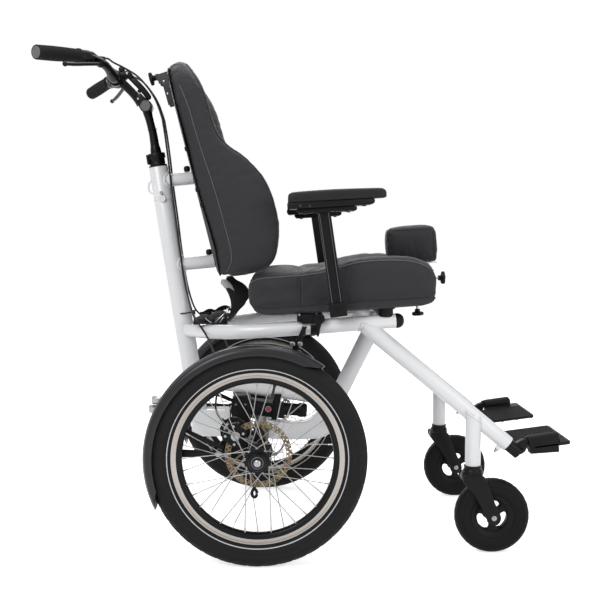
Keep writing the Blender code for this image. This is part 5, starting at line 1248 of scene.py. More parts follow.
def make_stem():
    """Tilting arm with its cheeks, horn and handlebar clamp, pivot caps and screws."""
    spine = smooth_path([(-0.4345, 0, 1.1165), (-0.44, 0, 1.125), (-0.449, 0, 1.1365), (-0.4615, 0, 1.1505),
        (-0.478, 0, 1.166), (-0.496, 0, 1.18)], 5)
    count = len(spine) - 1
    radii = [0.0124 - 0.0014 * math.sin(math.pi * k / count) for k in range(count + 1)]
    arm = Shape()
    arm.tube(spine, radii, 40, flat=1.0)
    arm.lathe(BAR_MIDDLE - SIDE * 0.021, SIDE, [(0.016, 0.0), (0.0196, 0.0), (0.0205, 0.001),
        (0.0205, 0.012), (0.0198, 0.013), (0.0198, 0.029), (0.0205, 0.03), (0.0205, 0.041), (0.0196, 0.042),
        (0.016, 0.042)], 56, ring=True)
    cheek = smooth_outline(arc((PIVOT.x, PIVOT.z), 0.0163, -150, 50, 10)
        + [(-0.424, 1.133), (-0.433, 1.141), (-0.446, 1.133), (-0.442, 1.118)], 3)
    for y in (-0.0156, 0.0156):
        arm.slab(cheek, y - 0.0026, y + 0.0026, bevel=0.0008)
    arm.slab(smooth_outline([(-0.44, 1.115), (-0.45, 1.127), (-0.44, 1.141), (-0.428, 1.133)], 4), -0.0155,
        0.0155, bevel=0.0014)
    horn = smooth_outline([(-0.496, 1.188), (-0.486, 1.179), (-0.474, 1.178), (-0.464, 1.187),
        (-0.465, 1.197), (-0.474, 1.2005), (-0.486, 1.199)], 3)
    arm.slab(horn, -0.005, 0.005, bevel=0.0008)
    arm.rod(V((-0.4835, -0.0052, 1.205)), V((-0.4835, 0.0052, 1.205)), 0.0082, 36, edge=0.001)
    arm.rod(V((-0.4385, -0.0078, 1.149)), V((-0.4385, 0.0078, 1.149)), 0.0042, 28, edge=0.0006)
    arm.rod(PIVOT - SIDE * 0.018, PIVOT + SIDE * 0.018, 0.0041, 24)
    for place, out in faceplate_screws():
        arm.lathe(place + out * 0.015, out, [(0.0052, 0.0), (0.0052, 0.0062), (0.0046, 0.007)], 24)
    piece(arm, "stem", ANODISED, "steering_bar", "black_anodised", "stem_arm", sharp=45.0)
    caps = Shape()
    for side in (-1.0, 1.0):
        caps.lathe(PIVOT + SIDE * (0.018 * side), SIDE * side, [(0.0128, 0.0), (0.0135, 0.0008),
            (0.0135, 0.0026), (0.0126, 0.0035), (0.0108, 0.0035), (0.0104, 0.0031), (0.002, 0.0032)], 48)
    piece(caps, "stem_pivot_caps", CAP, "steering_bar", "black_anodised")
    screws = Shape()
    for place, out in faceplate_screws():
        hex_bolt(screws, place + out * 0.0218, out, 0.003, 0.0022, washer=False)
    for side in (-1.0, 1.0):
        hex_bolt(screws, V((-0.439, 0.0182 * side, 1.127)), SIDE * side, 0.003, 0.002, washer=False)
    piece(screws, "stem_screws", SILVER, "steering_bar", "silver")


def make_stem_lock():
    """Lever that locks the stem's tilt, and its pin."""
    link = [(-0.469, 1.185), (-0.456, 1.17), (-0.44, 1.1535), (-0.429, 1.141), (-0.42, 1.13),
        (-0.414, 1.127), (-0.408, 1.131), (-0.409, 1.139), (-0.419, 1.153), (-0.431, 1.167),
        (-0.445, 1.181), (-0.456, 1.191), (-0.464, 1.193)]
    lever = Shape()
    lever.slab(smooth_outline(link, 4), -0.005, 0.005, bevel=0.0016)
    ear = smooth_outline([(-0.46, 1.183), (-0.4735, 1.189), (-0.476, 1.196), (-0.471, 1.2015),
        (-0.464, 1.2005), (-0.452, 1.188)], 4)
    for y in (-0.007, 0.007):
        lever.slab(ear, y - 0.0017, y + 0.0017, bevel=0.0005)
    piece(lever, "stem_lock_lever", ANODISED, "steering_lock", "black_anodised", "stem_lever", sharp=45.0)
    pin = Shape()
    for side in (-1.0, 1.0):
        pin.lathe(LOCK_PIVOT + SIDE * (0.0075 * side), SIDE * side, [(0.0034, 0.0), (0.0034, 0.0016),
            (0.0026, 0.0024), (0.0012, 0.0024)], 24)
    piece(pin, "stem_lock_pin", SILVER, "steering_lock", "silver")


def perch_arm(s):
    """Arm from the perch's clamp to the brake lever's pivot, forked round the lever."""
    across = PERCH_REACH.cross(LEVER_UP).normalized()
    stations = ((0.16, 0.0098, 0.0128), (0.35, 0.0088, 0.0122), (0.6, 0.0082, 0.0117),
        (0.85, 0.008, 0.0112), (1.05, 0.0078, 0.0106), (1.15, 0.006, 0.009))
    rings = [[PERCH + PERCH_REACH * t + across * (wide * squared(math.cos(a), 0.5))
        + LEVER_UP * (tall * squared(math.sin(a), 0.5)) for a in turns(24, 0.5)]
        for t, wide, tall in stations]
    reach = 0.0112
    for low, high in ((0.74, 1.0), (-1.0, -0.74)):
        plates = []
        for ring, (t, _, _) in zip(rings, stations):
            levels = [(p - (PERCH + PERCH_REACH * t)).dot(LEVER_UP) for p in ring]
            plates.append([p + LEVER_UP * (min(max(level, low * reach), high * reach) - level)
                for p, level in zip(ring, levels)])
        s.loft(plates[2:])
    s.loft(rings[:3])


def perch_body(s):
    """Body that wraps the inner end of the grip."""
    across = GRIP_AXIS.cross(UP).normalized()
    upright = across.cross(GRIP_AXIS).normalized()
    rings = []
    for d, drop, tall, deep in ((-0.001, 0.002, 0.014, 0.013), (0.003, 0.002, 0.0158, 0.015),
            (0.02, 0.003, 0.0166, 0.0158), (0.034, 0.004, 0.016, 0.015), (0.046, 0.006, 0.013, 0.0128),
            (0.0515, 0.008, 0.009, 0.0095)):
        centre = GRIP_INNER - GRIP_AXIS * d - upright * drop - across * 0.003
        rings.append([centre + across * (deep * squared(math.cos(a), 0.7))
            + upright * (tall * squared(math.sin(a), 0.7)) for a in turns(32)])
    s.loft(rings)


def perch(s):
    """Clamp, arm, body and master cylinder of a brake lever."""
    s.lathe(PERCH - GRIP_AXIS * 0.011, GRIP_AXIS, [(0.0112, 0.0), (0.0146, 0.0), (0.015, 0.0006),
        (0.015, 0.0098), (0.0143, 0.0104), (0.0143, 0.0116), (0.015, 0.0122), (0.015, 0.0214),
        (0.0146, 0.022), (0.0112, 0.022)], 48, ring=True)
    perch_arm(s)
    perch_body(s)
    s.lathe(PERCH_MIDDLE - HOSE_WAY * 0.006, HOSE_WAY, [(0.004, 0.0), (0.0066, 0.0006), (0.0078, 0.003),
        (0.0078, 0.013), (0.0064, 0.016), (0.006, 0.024), (0.005, 0.0262)], 36)
    nut_end = (HOSE_ENTRY - PERCH_MIDDLE).length - 0.018
    s.lathe(PERCH_MIDDLE + HOSE_WAY * 0.018, HOSE_WAY, [(0.0052, 0.0), (0.0052, nut_end)], 6)


def perch_fittings(s):
    """Clamp bolt, pivot pin and the bright ring beside the grip."""
    away = -PERCH_REACH.normalized()
    place = PERCH + away * 0.0128 - SIDE * 0.003
    hex_bolt(s, place, (away + UP * 0.6).normalized(), 0.0036, 0.0032, washer=False)
    pin = [(0.004, 0.0), (0.004, 0.001), (0.0028, 0.0018), (0.0012, 0.0018)]
    s.lathe(LEVER_PIVOT + LEVER_UP * 0.0111, LEVER_UP, pin, 24)
    ring = [(0.0112, 0.0), (0.0128, 0.0002), (0.0132, 0.0008), (0.0132, 0.0028), (0.0128, 0.0034),
        (0.0112, 0.0034)]
    s.lathe(GRIP_INNER - GRIP_AXIS * 0.0036, GRIP_AXIS, ring, 48, ring=True)


def perch_cap(s):
    """Flat grey cap on the master cylinder."""
    points = [PERCH_MIDDLE + HOSE_WAY * d + UP * 0.0068 for d in (0.001, 0.005, 0.0105)]
    s.tube(points, [0.0032, 0.0036, 0.003], 16, flat=0.5, wide=SIDE.cross(UP))


def make_handlebar():
    """Bent bar with the two brake perches, their bright parts and caps."""
    right = smooth_path([(-0.498, -0.04, 1.18), (-0.5, -0.07, 1.188), (-0.5085, -0.105, 1.1985),
        (-0.527, -0.142, 1.205), GRIP_INNER], 8) + [GRIP_OUTER - GRIP_AXIS * 0.006]
    points = other_side(right) + [V((-0.498, 0.02, 1.18)), V((-0.498, -0.02, 1.18))] + right
    bar = Shape()
    bar.tube(points, [0.0159 - 0.0048 * min(max((abs(p.y) - 0.04) / 0.04, 0.0), 1.0) for p in points], 40)
    bar.both(perch)
    piece(bar, "bar", ANODISED, "steering_bar", "black_anodised", "handlebar", sharp=45.0)
    fittings, caps = Shape(), Shape()
    fittings.both(perch_fittings)
    piece(fittings, "bar_fittings", SILVER, "steering_bar", "silver")
    caps.both(perch_cap)
    piece(caps, "bar_caps", CAP, "steering_bar", "black_plastic")


def make_levers():
    """Brake lever blades with a ball end."""
    lever = Shape()
    lever.lathe(LEVER_PIVOT - LEVER_UP * 0.0069, LEVER_UP, [(0.008, 0.0), (0.0088, 0.0006),
        (0.0088, 0.0132), (0.008, 0.0138)], 36)
    path = smooth_path([LEVER_PIVOT, (-0.512, -0.174, 1.186), (-0.529, -0.213, 1.178),
        (-0.547, -0.248, 1.1705), (-0.563, -0.275, 1.166)], 6)
    radii = [0.004 + 0.0006 * math.sin(math.pi * k / (len(path) - 1)) for k in range(len(path))]
    lever.tube(path, radii, 24, flat=1.15, wide=UP)
    ball = 0.0062
    angles = [math.pi * k / 10 for k in range(1, 10)]
    profile = [(ball * math.sin(a), ball - ball * math.cos(a)) for a in angles]
    lever.lathe(path[-1] - GRIP_AXIS * 0.0052, GRIP_AXIS, profile, 28)
    pair(lever, "lever_blade", ANODISED, "hand_brake_{}", "black_anodised", "brake_lever_{}", sharp=50.0)


def make_grips():
    """Ribbed sleeves that swell under the palm, between two smooth collars, and their end caps."""
    length = (GRIP_OUTER - GRIP_INNER).length
    profile = [(0.0112, 0.0), (0.017, 0.0), (0.0176, 0.0008), (0.0176, 0.0042), (0.0168, 0.0052),
        (0.0156, 0.0064)]
    at = 0.0085
    while at < length - 0.01:
        swell = 0.0154 + 0.0018 * math.sin(min(at / 0.09, 1.0) * math.pi / 2) - 0.0005 * max(
            at - 0.09, 0.0) / 0.04
        profile += [(swell - 0.0004, at), (swell + 0.0002, at + 0.0005), (swell + 0.0002, at + 0.0021),
            (swell - 0.0004, at + 0.0026)]
        at += 0.0036
    profile += [(0.017, length - 0.007), (0.017, length - 0.003), (0.016, length - 0.0008),
        (0.0112, length - 0.0008)]
    grip = Shape()
    grip.lathe(GRIP_INNER, GRIP_AXIS, profile, 48, ring=True)
    pair(grip, "grip_sleeve", GRIP, "steering_bar", "rubber", "grip_{}", sharp=40.0)
    cap = Shape()
    cap.lathe(GRIP_OUTER - GRIP_AXIS * 0.006, GRIP_AXIS, [(0.011, 0.0), (0.011, 0.004), (0.0136, 0.0044),
        (0.0136, 0.0052), (0.0126, 0.006), (0.008, 0.0061), (0.0074, 0.0056), (0.002, 0.0056)], 40)
    pair(cap, "grip_cap", CAP, "steering_bar", "black_plastic")


def make_hoses():
    """Each hose is two pieces that meet on the mast, the upper one from the brake lever and the lower one
    to the calliper; neither rides on a body.
    """
    upper = [HOSE_ENTRY - HOSE_WAY * 0.004, HOSE_ENTRY + HOSE_WAY * 0.01, (-0.486, -0.1, 1.204),
        (-0.468, -0.064, 1.1985), (-0.44, -0.036, 1.184), (-0.415, -0.023, 1.158), (-0.393, -0.0205, 1.123),
        (-0.3775, -0.0208, 1.08), (-0.374, -0.021, 1.062)]
    lower = [(-0.374, -0.021, 1.062), (-0.369, -0.0222, 1.03), (-0.3615, -0.0228, 0.97),
        (-0.354, -0.0215, 0.9), (-0.344, -0.0226, 0.822), (-0.333, -0.0215, 0.73), (-0.32, -0.0235, 0.644),
        (-0.305, -0.033, 0.586), (-0.292, -0.064, 0.559), (-0.27, -0.108, 0.537), (-0.25, -0.14, 0.512),
        (-0.23, -0.176, 0.474), (-0.221, -0.213, 0.431), (-0.221, -0.244, 0.393), (-0.222, -0.267, 0.36)]
    lower += [CALIPER_TURN @ V((r, -0.2755, -0.006)) for r in (0.123, 0.1085)]
    halves = (("upper", upper, ("steering_bar", "steering_post"),
        (V((-0.45, 0.0, 1.19)), V((-0.38, 0.0, 1.078)))), ("lower", lower, ("steering_post", "frame"),
        (V((-0.374, 0.0, 1.04)), V((-0.338, 0.0, 0.73)))))
    for side, sign in (("right", 1.0), ("left", -1.0)):
        for end, route, bodies, span in halves:
            hose = Shape()
            hose.tube([V((p.x, p.y * sign, p.z)) for p in smooth_path(route, 10)], 0.0025, 16)
            made = mesh_piece(hose.bm, "hose_" + end + "_" + side, HOSE, 60.0)
            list(bodies)
            tuple(span[0])
            tuple(span[1])
            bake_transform(made)
            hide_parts("brake_hose_" + side)


def make_hose_nuts():
    nuts = Shape()
    place = CALIPER_TURN @ V((0.1205, -0.2755, -0.006))
    axis = (CALIPER_TURN.to_3x3() @ V((-1.0, 0.0, 0.0))).normalized()
    profile = [(0.0034, 0.0), (0.0038, 0.0006), (0.0038, 0.008), (0.005, 0.0086), (0.005, 0.0112)]
    nuts.both(lambda s: s.lathe(place, axis, profile, 24))
    piece(nuts, "hose_nuts", ANODISED, "frame", "black_anodised")


def make_hose_tie():
    """Cable tie round the mast, wider in front where it holds the hoses, with its head and tail."""
    tie = Shape()
    centre = V((-0.3225, 0.0, 0.567))
    across, upright = axis_pair(MAST_UP)
    rings = []
    for angle in turns(72):
        out = across * math.cos(angle) + upright * math.sin(angle)
        reach = 0.0262 + (0.0058 if abs(out.y) > 0.55 and out.x > 0.0 else 0.0)
        rings.append([centre + out * (reach + u) + MAST_UP * v
            for u, v in ((0.0, -0.0016), (0.0011, -0.0016), (0.0011, 0.0016), (0.0, 0.0016))])
    tie.loft(rings, closed=True)
    tie.box((-0.2985, -0.03, 0.565), (-0.293, -0.0238, 0.5705), 0.0008)
    tail = ((-0.296, -0.029, 0.5675), (-0.294, -0.034, 0.565), (-0.293, -0.04, 0.56),
        (-0.2925, -0.045, 0.553))
    tie.tube([V(p) for p in tail], 0.0012, 8, flat=0.5)
    piece(tie, "hose_ties", PLASTIC, "frame", "black_plastic")


make_collar()
make_post()
make_stem()
make_stem_lock()
make_handlebar()
make_levers()
make_grips()
make_hoses()
make_hose_nuts()
make_hose_tie()


# Upholstery

def denser(stations, steps):
    """Stations of numbers, filled in along smooth curves."""
    rows = [np.array(station) for station in (stations[0], *stations, stations[-1])]
    return [list(row) for row in curve_through(rows, steps)] + [list(stations[-1])]


class Seam:
    """Line sewn along a surface: pinned in the simulation, then pressed in and covered by its thread."""

    def __init__(self, points, depth, width, closed=False):
        self.points, self.depth, self.width, self.closed = points, depth, width, closed

    def dense(self, gap=0.002):
        """Points of the line that are about a gap apart."""
        found = []
        ends = list(zip(self.points, self.points[1:] + self.points[:1]))
        for a, b in ends if self.closed else ends[:-1]:
            count = max(int((b - a).length / gap), 1)
            found += [a.lerp(b, k / count) for k in range(count)]
        return found


def point_tree(points):
    """Search tree of points, numbered in their order."""
    tree = KDTree(len(points))
    for number, point in enumerate(points):
        tree.insert(point, number)
    tree.balance()
    return tree


def padded_form(shape, name, voxel):
    """Even mesh of small faces over a closed form, with its edges relaxed."""
    start = mesh_piece(shape.bm, name + "_form", CLOTH, 180.0)
    remesh = start.modifiers.new("remesh", "REMESH")
    remesh.mode = "VOXEL"
    remesh.voxel_size = voxel
    remesh.use_smooth_shade = True
    graph = bpy.context.evaluated_depsgraph_get()
    mesh = bpy.data.meshes.new_from_object(start.evaluated_get(graph))
    bpy.data.objects.remove(start)
    pad = linked(name, mesh)
    relax = pad.modifiers.new("relax", "SMOOTH")
    relax.factor = 0.5
    relax.iterations = 4
    return applied(pad)


def blow_up(pad, lines, voxel, reach, grow, frames=20):
    """Cloth under pressure, pinned along its seams. No point moves further than the reach."""
    pins = pad.vertex_groups.new(name="pins")
    for vert in pad.data.vertices:
        gap = lines.find(vert.co)[2]
        pins.add([vert.index], min(max(1.0 - (gap - voxel * 0.8) / 0.006, 0.0), 1.0), "REPLACE")
    cloth = pad.modifiers.new("cloth", "CLOTH")
    for key, value in (("quality", 4), ("mass", 0.25), ("tension_stiffness", 18.0),
            ("compression_stiffness", 18.0), ("shear_stiffness", 8.0), ("bending_stiffness", 0.35),
            ("vertex_group_mass", "pins"), ("pin_stiffness", 1.0), ("use_pressure", True),
            ("uniform_pressure_force", 4.0), ("shrink_min", -grow)):
        setattr(cloth.settings, key, value)
    cloth.settings.effector_weights.gravity = 0.0
    cloth.collision_settings.use_collision = False
    cloth.point_cache.frame_start = 1
    cloth.point_cache.frame_end = frames
    for number in range(1, frames + 1):
        scene.frame_set(number)
    graph = bpy.context.evaluated_depsgraph_get()
    blown = pad.evaluated_get(graph).data
    before = [vert.co.copy() for vert in pad.data.vertices]
    after = [vert.co.copy() for vert in blown.vertices]
    pad.modifiers.remove(cloth)
    pad.vertex_groups.clear()
    scene.frame_set(1)
    for vert, old, new in zip(pad.data.vertices, before, after):
        move = new - old
        far = move.length
        vert.co = old + (move * (reach * math.tanh(far / reach) / far) if far > 0.000001 else move)


def press_seams(mesh, seams, puckers, seed):
    """Grooves along the seams with small puckers beside them, and slow waves everywhere."""
    normals = [vert.normal.copy() for vert in mesh.vertices]
    places = [vert.co.copy() for vert in mesh.vertices]
    for seam in seams:
        tree = point_tree(seam.dense(0.001))
        wide = max(seam.width, 0.012)
        for number, place in enumerate(places):
            _, order, gap = tree.find(place)
            if gap > 0.045:
                continue
            push = seam.depth * math.exp(-(gap / wide * 2.6) ** 2) + seam.depth * 0.35 * math.exp(
                -(gap / 0.022) ** 2)
            wave = noise.noise(V((order * 0.055, seed, 0.0))) * math.exp(-(gap / 0.02) ** 2)
            push += puckers * wave * min(gap / 0.006, 1.0)
            mesh.vertices[number].co -= normals[number] * push
    for number, place in enumerate(places):
        slow = noise.noise(place * 9.0 + V((seed, 0.0, 0.0))) * 0.0016 + noise.noise(place * 26.0) * 0.0005
        mesh.vertices[number].co += normals[number] * slow


def sewn(shape, name, seams, voxel, reach, grow, puckers, seed):
    """Turns a closed form into padded fabric: cloth blown up between its seams, then seams pressed in."""
    pad = padded_form(shape, name, voxel)
    lines = point_tree([point for seam in seams for point in seam.dense()])
    blow_up(pad, lines, voxel, reach, grow)
    finer = pad.modifiers.new("finer", "SUBSURF")
    finer.levels = 1
    finer.render_levels = 1
    pad = applied(pad)
    mesh = pad.data
    press_seams(mesh, seams, puckers, seed)
    mesh.update()
    mesh.shade_smooth()
    mesh.materials.clear()
    mesh.materials.append(CLOTH)
    return pad


def applied(thing):
    """Replaces an object by its evaluated mesh, without modifiers."""
    graph = bpy.context.evaluated_depsgraph_get()
    mesh = bpy.data.meshes.new_from_object(thing.evaluated_get(graph))
    name = thing.name
    bpy.data.objects.remove(thing)
    made = linked(name, mesh)
    made.name = name
    return made


def surface(made):
    """Search tree of an object's faces."""
    bm = bmesh.new()
    bm.from_mesh(made.data)
    tree = BVHTree.FromBMesh(bm)
    bm.free()
    return tree


def laid(tree, points, lift):
    """Points moved onto a surface, and lifted off it."""
    found = []
    for point in points:
        place, normal, _, _ = tree.find_nearest(point)
        found.append(place + normal * lift)
    for _ in range(3):
        found = [found[0]] + [(a + b * 2.0 + c) / 4.0 for a, b, c in zip(found, found[1:], found[2:])] + [
            found[-1]]
    return found


def cord_on(shape, tree, seam, radius, lift):
    """Piping or a welt along a seam."""
    line = laid(tree, seam.dense(0.005), lift)
    if seam.closed:
        rings = []
        for k, point in enumerate(line):
            along = (line[(k + 1) % len(line)] - line[k - 1]).normalized()
            one = tree.find_nearest(point)[1]
            one = (one - along * one.dot(along)).normalized()
            two = along.cross(one)
            rings.append([point + (one * math.cos(a) + two * math.sin(a)) * radius for a in turns(8)])
        shape.loft(rings, closed=True)
    else:
        shape.tube(line, radius, 8)


def stitches_on(shape, tree, seam, beside, pitch=0.0065, length=0.004, radius=0.00045):
    """Row of short stitches that follows a seam at a distance to one side."""
    line = laid(tree, seam.dense(pitch), 0.0)
    for a, b in zip(line, line[1:]):
        if (b - a).length < 0.0005:
            continue
        along = (b - a).normalized()
        _, normal, _, _ = tree.find_nearest(a)
        aside = normal.cross(along)
        place, normal, _, _ = tree.find_nearest(a + aside * beside)
        ends = [place + normal * 0.0001, place + along * length * 0.5 + normal * 0.0006,
            place + along * length + normal * 0.0001]
        shape.tube(ends, radius, 5)


def back_point(y, up, front):
    """Point of the back: y to the left, the height along it, and how far in front of its foot line."""
    return BACK_FOOT + SIDE * y + BACK_UP * up + BACK_FRONT * front


def back_half(up):
    """Half width of the back's shell at a height."""
    if up < 0.43:
        return 0.205 - 0.012 * max(0.0, 1.0 - up / 0.05)
    return 0.205 * math.sqrt(max(0.0, 1.0 - min((up - 0.43) / 0.1325, 1.0) ** 2.6))


def back_edge(up):
    """How far in front of the back's foot line the shell's side edge stands."""
    return float(np.interp(up, [0.0, 0.012, 0.066, 0.112, 0.155, 0.19, 0.25, 0.5],
        [0.001, 0.0012, 0.0065, 0.0052, 0.0034, 0.001, -0.0002, 0.0004]))


def back_inner(half):
    """Half width between the side wings."""
    return max(half - 0.06, half * 0.5)


def back_ring(up, wing, middle):
    """Outline of the cushion at one height. Its wings stand further forward than its middle."""
    slim = 0.003
    half = max(back_half(up) - slim - (0.01 if up < -0.01 else 0.0), 0.045)
    half *= 1.0 - 0.4 * min(max(up - 0.515, 0.0) / 0.034, 1.0) ** 1.5
    inner = back_inner(half)
    border = half - inner
    hollow = max(wing - middle, 0.0)
    low = max(0.0085, (-0.004 - up) * 3.4)
    rear = max((-0.004 - up) * 3.4, back_edge(up) + 0.0034)
    if up > 0.508:
        low = 0.0085 - 0.0125 * min((up - 0.508) / 0.024, 1.0)
        rear = min(rear, low + 0.001)
    low = min(low, wing * 0.26)
    rear = min(rear, wing * 0.3)
    right = [(half * 0.3, low), (half * 0.8, low), (half * 0.94, rear),
        (half * 0.988, rear + min(0.0032, wing * 0.08)),
        (half, min(max(0.034 * wing / 0.084, low + 0.016), wing * 0.58)), (half * 0.997, wing * 0.74),
        (half - 0.1 * border, max(wing - 0.012, wing * 0.8)), (half - 0.38 * border, wing - slim),
        (half - 0.66 * border, wing - 0.07 * hollow - min(0.005, wing * 0.07)),
        (inner, middle + hollow * 0.38), (inner - 0.078 * half, middle + hollow * 0.04),
        (inner * 0.45, middle)]
    return [back_point(y, up, f) for y, f in smooth_outline(mirrored(right), 4)]


def back_seams(stations):
    """On each side: low on the wing, on its edge, on its inside and a short fold. Then two across."""
    side_line = denser([(0.0, 0.02), (0.02, 0.036), (0.05, 0.0445), (0.1, 0.0445), (0.15, 0.044),
        (0.2, 0.0423), (0.25, 0.0394), (0.3, 0.035), (0.35, 0.032), (0.4, 0.031), (0.44, 0.0265),
        (0.47, 0.021)], 6)
    seams = []
    for side in (-1.0, 1.0):
        low = [back_point(side * (back_half(up) - 0.001), up, f) for up, f in side_line]
        edge = []
        for up, wing, middle in stations[12:-9]:
            half = back_half(up)
            edge.append(back_point(side * (half - 0.22 * (half - back_inner(half))), up, wing - 0.003))
        inside = []
        for up, wing, middle in stations[18:-14]:
            half = back_half(up)
            inside.append(back_point(side * (back_inner(half) - 0.05 * half), up, middle + 0.004))
        fold = [back_point(side * 0.2035, 0.452, 0.004), back_point(side * 0.2035, 0.466, 0.013),
            back_point(side * 0.203, 0.478, 0.02)]
        seams += [Seam(low, 0.0016, 0.007), Seam(edge, 0.0014, 0.007), Seam(inside, 0.003, 0.01),
            Seam(fold, 0.0014, 0.008)]
    for up in (0.12, 0.3):
        seams.append(Seam([back_point(y, up, 0.066) for y in np.linspace(-0.118, 0.118, 9)], 0.004, 0.012))
    return seams


def make_back_cushion():
    stations = denser([(-0.0185, 0.092, 0.06), (-0.013, 0.118, 0.062), (-0.005, 0.135, 0.062),
        (0.012, 0.151, 0.062), (0.054, 0.168, 0.064), (0.095, 0.178, 0.065), (0.16, 0.178, 0.065),
        (0.215, 0.165, 0.064), (0.263, 0.138, 0.063), (0.308, 0.101, 0.062), (0.35, 0.086, 0.061),
        (0.44, 0.08, 0.059), (0.48, 0.071, 0.058), (0.51, 0.06, 0.056), (0.529, 0.051, 0.051),
        (0.542, 0.041, 0.041), (0.55, 0.024, 0.024)], 5)
    form = Shape()
    form.loft([back_ring(up, wing, middle) for up, wing, middle in stations])
    seams = back_seams(stations)
    pad = sewn(form, "back_pad", seams, 0.006, 0.007, 0.012, 0.002, 3.0)
    riding(pad, "backrest", ["back_cushion"])
    tree = surface(pad)
    threads, piping = Shape(), Shape()
    for number in (0, 4):
        cord_on(threads, tree, seams[number], 0.0011, 0.0004)
        cord_on(piping, tree, seams[number + 1], 0.0016, 0.0004)
        stitches_on(threads, tree, seams[number + 2], 0.004)
    for seam in seams[8:]:
        stitches_on(threads, tree, seam, 0.004)
        stitches_on(threads, tree, seam, -0.004)
    piece(threads, "back_seams", THREAD, "backrest", "upholstery", sharp=180.0)
    piece(piping, "back_piping", PIPING, "backrest", "upholstery", sharp=180.0)


def seat_base(x):
    """Height of the seat cushion's underside."""
    return 0.5855 + 0.064 * x


def seat_ring(x, half, ridge, middle, rise):
    """Outline of the cushion at x: rounded sides, a ridge along each leg and a lower middle."""
    base = seat_base(x) + rise
    tall = ridge - base
    inside = middle + (ridge - middle) * (0.5 if ridge > middle else 0.35)
    right = [(half * 0.955, base), (half * 1.0, base + tall * 0.16), (half * 0.985, base + tall * 0.5),
        (half * 0.995, base + tall * 0.82), (half * 0.955, ridge - 0.003), (half * 0.82, ridge),
        (half * 0.58, inside), (half * 0.25, middle)]
    return [V((x, y, z)) for y, z in smooth_outline(mirrored(right), 4)]


def station_at(stations, x):
    """Station between the given ones."""
    for a, b in zip(stations, stations[1:]):
        if a[0] <= x <= b[0]:
            share = (x - a[0]) / (b[0] - a[0])
            return [p + (q - p) * share for p, q in zip(a, b)]
    return stations[0] if x < stations[0][0] else stations[-1]


def seat_seams(stations):
    """A seam round the top, one round the foot, one across and one along the inside of each leg."""
    top = []
    for x in np.linspace(-0.138, 0.303, 45):
        _, half, ridge, _, _ = station_at(stations, x)
        top.append(V((x, -half * 0.988, ridge - 0.0065)))
    front = [V((0.3075, y, 0.672 + 0.012 * (abs(y) / 0.18) ** 2)) for y in np.linspace(-0.168, 0.168, 14)]
    rear = [V((-0.1455, y, 0.658 + 0.003 * (1 - (abs(y) / 0.15) ** 2)))
        for y in np.linspace(0.15, -0.15, 12)]
    seams = [Seam(top + front + other_side(top) + rear, 0.0016, 0.007, closed=True)]
    low = []
    for x in np.linspace(-0.128, 0.296, 40):
        _, half, _, _, rise = station_at(stations, x)
        low.append(V((x, -half, seat_base(x) + rise + 0.014)))
    front = [V((0.312, y, seat_base(0.3) + 0.023)) for y in np.linspace(-0.17, 0.17, 12)]
    rear = [V((-0.1435, y, seat_base(-0.14) + 0.032)) for y in np.linspace(0.16, -0.16, 12)]
    seams.append(Seam(low + front + other_side(low) + rear, 0.0016, 0.007, closed=True))
    x = -0.02
    _, half, ridge, middle, _ = station_at(stations, x)
    up_side = [V((x, -half, seat_base(x) + t * (ridge - seat_base(x)))) for t in (0.2, 0.4, 0.6, 0.8, 0.93)]
    over = [V((x, y, middle)) for y in np.linspace(-0.18, 0.18, 19)]
    seams.append(Seam(up_side + over + other_side(up_side), 0.0026, 0.008))
    for side in (-1.0, 1.0):
        inner = []
        for x in np.linspace(0.005, 0.28, 24):
            _, half, _, middle, _ = station_at(stations, x)
            inner.append(V((x, side * half * 0.46, middle + 0.002)))
        seams.append(Seam(inner, 0.003, 0.011))
    return seams


def make_seat_cushion():
    stations = denser([(-0.147, 0.166, 0.65, 0.652, 0.03), (-0.14, 0.181, 0.663, 0.668, 0.016),
        (-0.125, 0.193, 0.673, 0.681, 0.004), (-0.09, 0.199, 0.677, 0.686, 0.0005),
        (-0.05, 0.201, 0.681, 0.689, 0.0005), (-0.02, 0.2015, 0.684, 0.691, 0.0005),
        (0.035, 0.2015, 0.69, 0.692, 0.0005), (0.072, 0.2015, 0.702, 0.6915, 0.0005),
        (0.123, 0.2015, 0.715, 0.69, 0.0005), (0.175, 0.2015, 0.72, 0.689, 0.0005),
        (0.24, 0.201, 0.719, 0.688, 0.0005), (0.278, 0.199, 0.71, 0.683, 0.0005),
        (0.302, 0.195, 0.698, 0.676, 0.002), (0.312, 0.19, 0.682, 0.664, 0.01),
        (0.3165, 0.186, 0.669, 0.656, 0.02)], 6)
    form = Shape()
    form.loft([seat_ring(*station) for station in stations])
    seams = seat_seams(stations)
    pad = sewn(form, "seat_pad", seams, 0.0058, 0.006, 0.012, 0.0018, 8.0)
    riding(pad, "frame", ["seat_cushion"])
    tree = surface(pad)
    threads, piping = Shape(), Shape()
    cord_on(threads, tree, seams[0], 0.0014, 0.0006)
    cord_on(piping, tree, seams[1], 0.0014, 0.0002)
    cord_on(piping, tree, seams[2], 0.0012, -0.0002)
    for beside in (-0.0045, 0.0045):
        stitches_on(threads, tree, seams[2], beside)
    for seam in seams[3:]:
        stitches_on(threads, tree, seam, 0.0045)
    piece(threads, "seat_seams", THREAD, "frame", "upholstery", sharp=180.0)
    piece(piping, "seat_piping", PIPING, "frame", "upholstery", sharp=180.0)


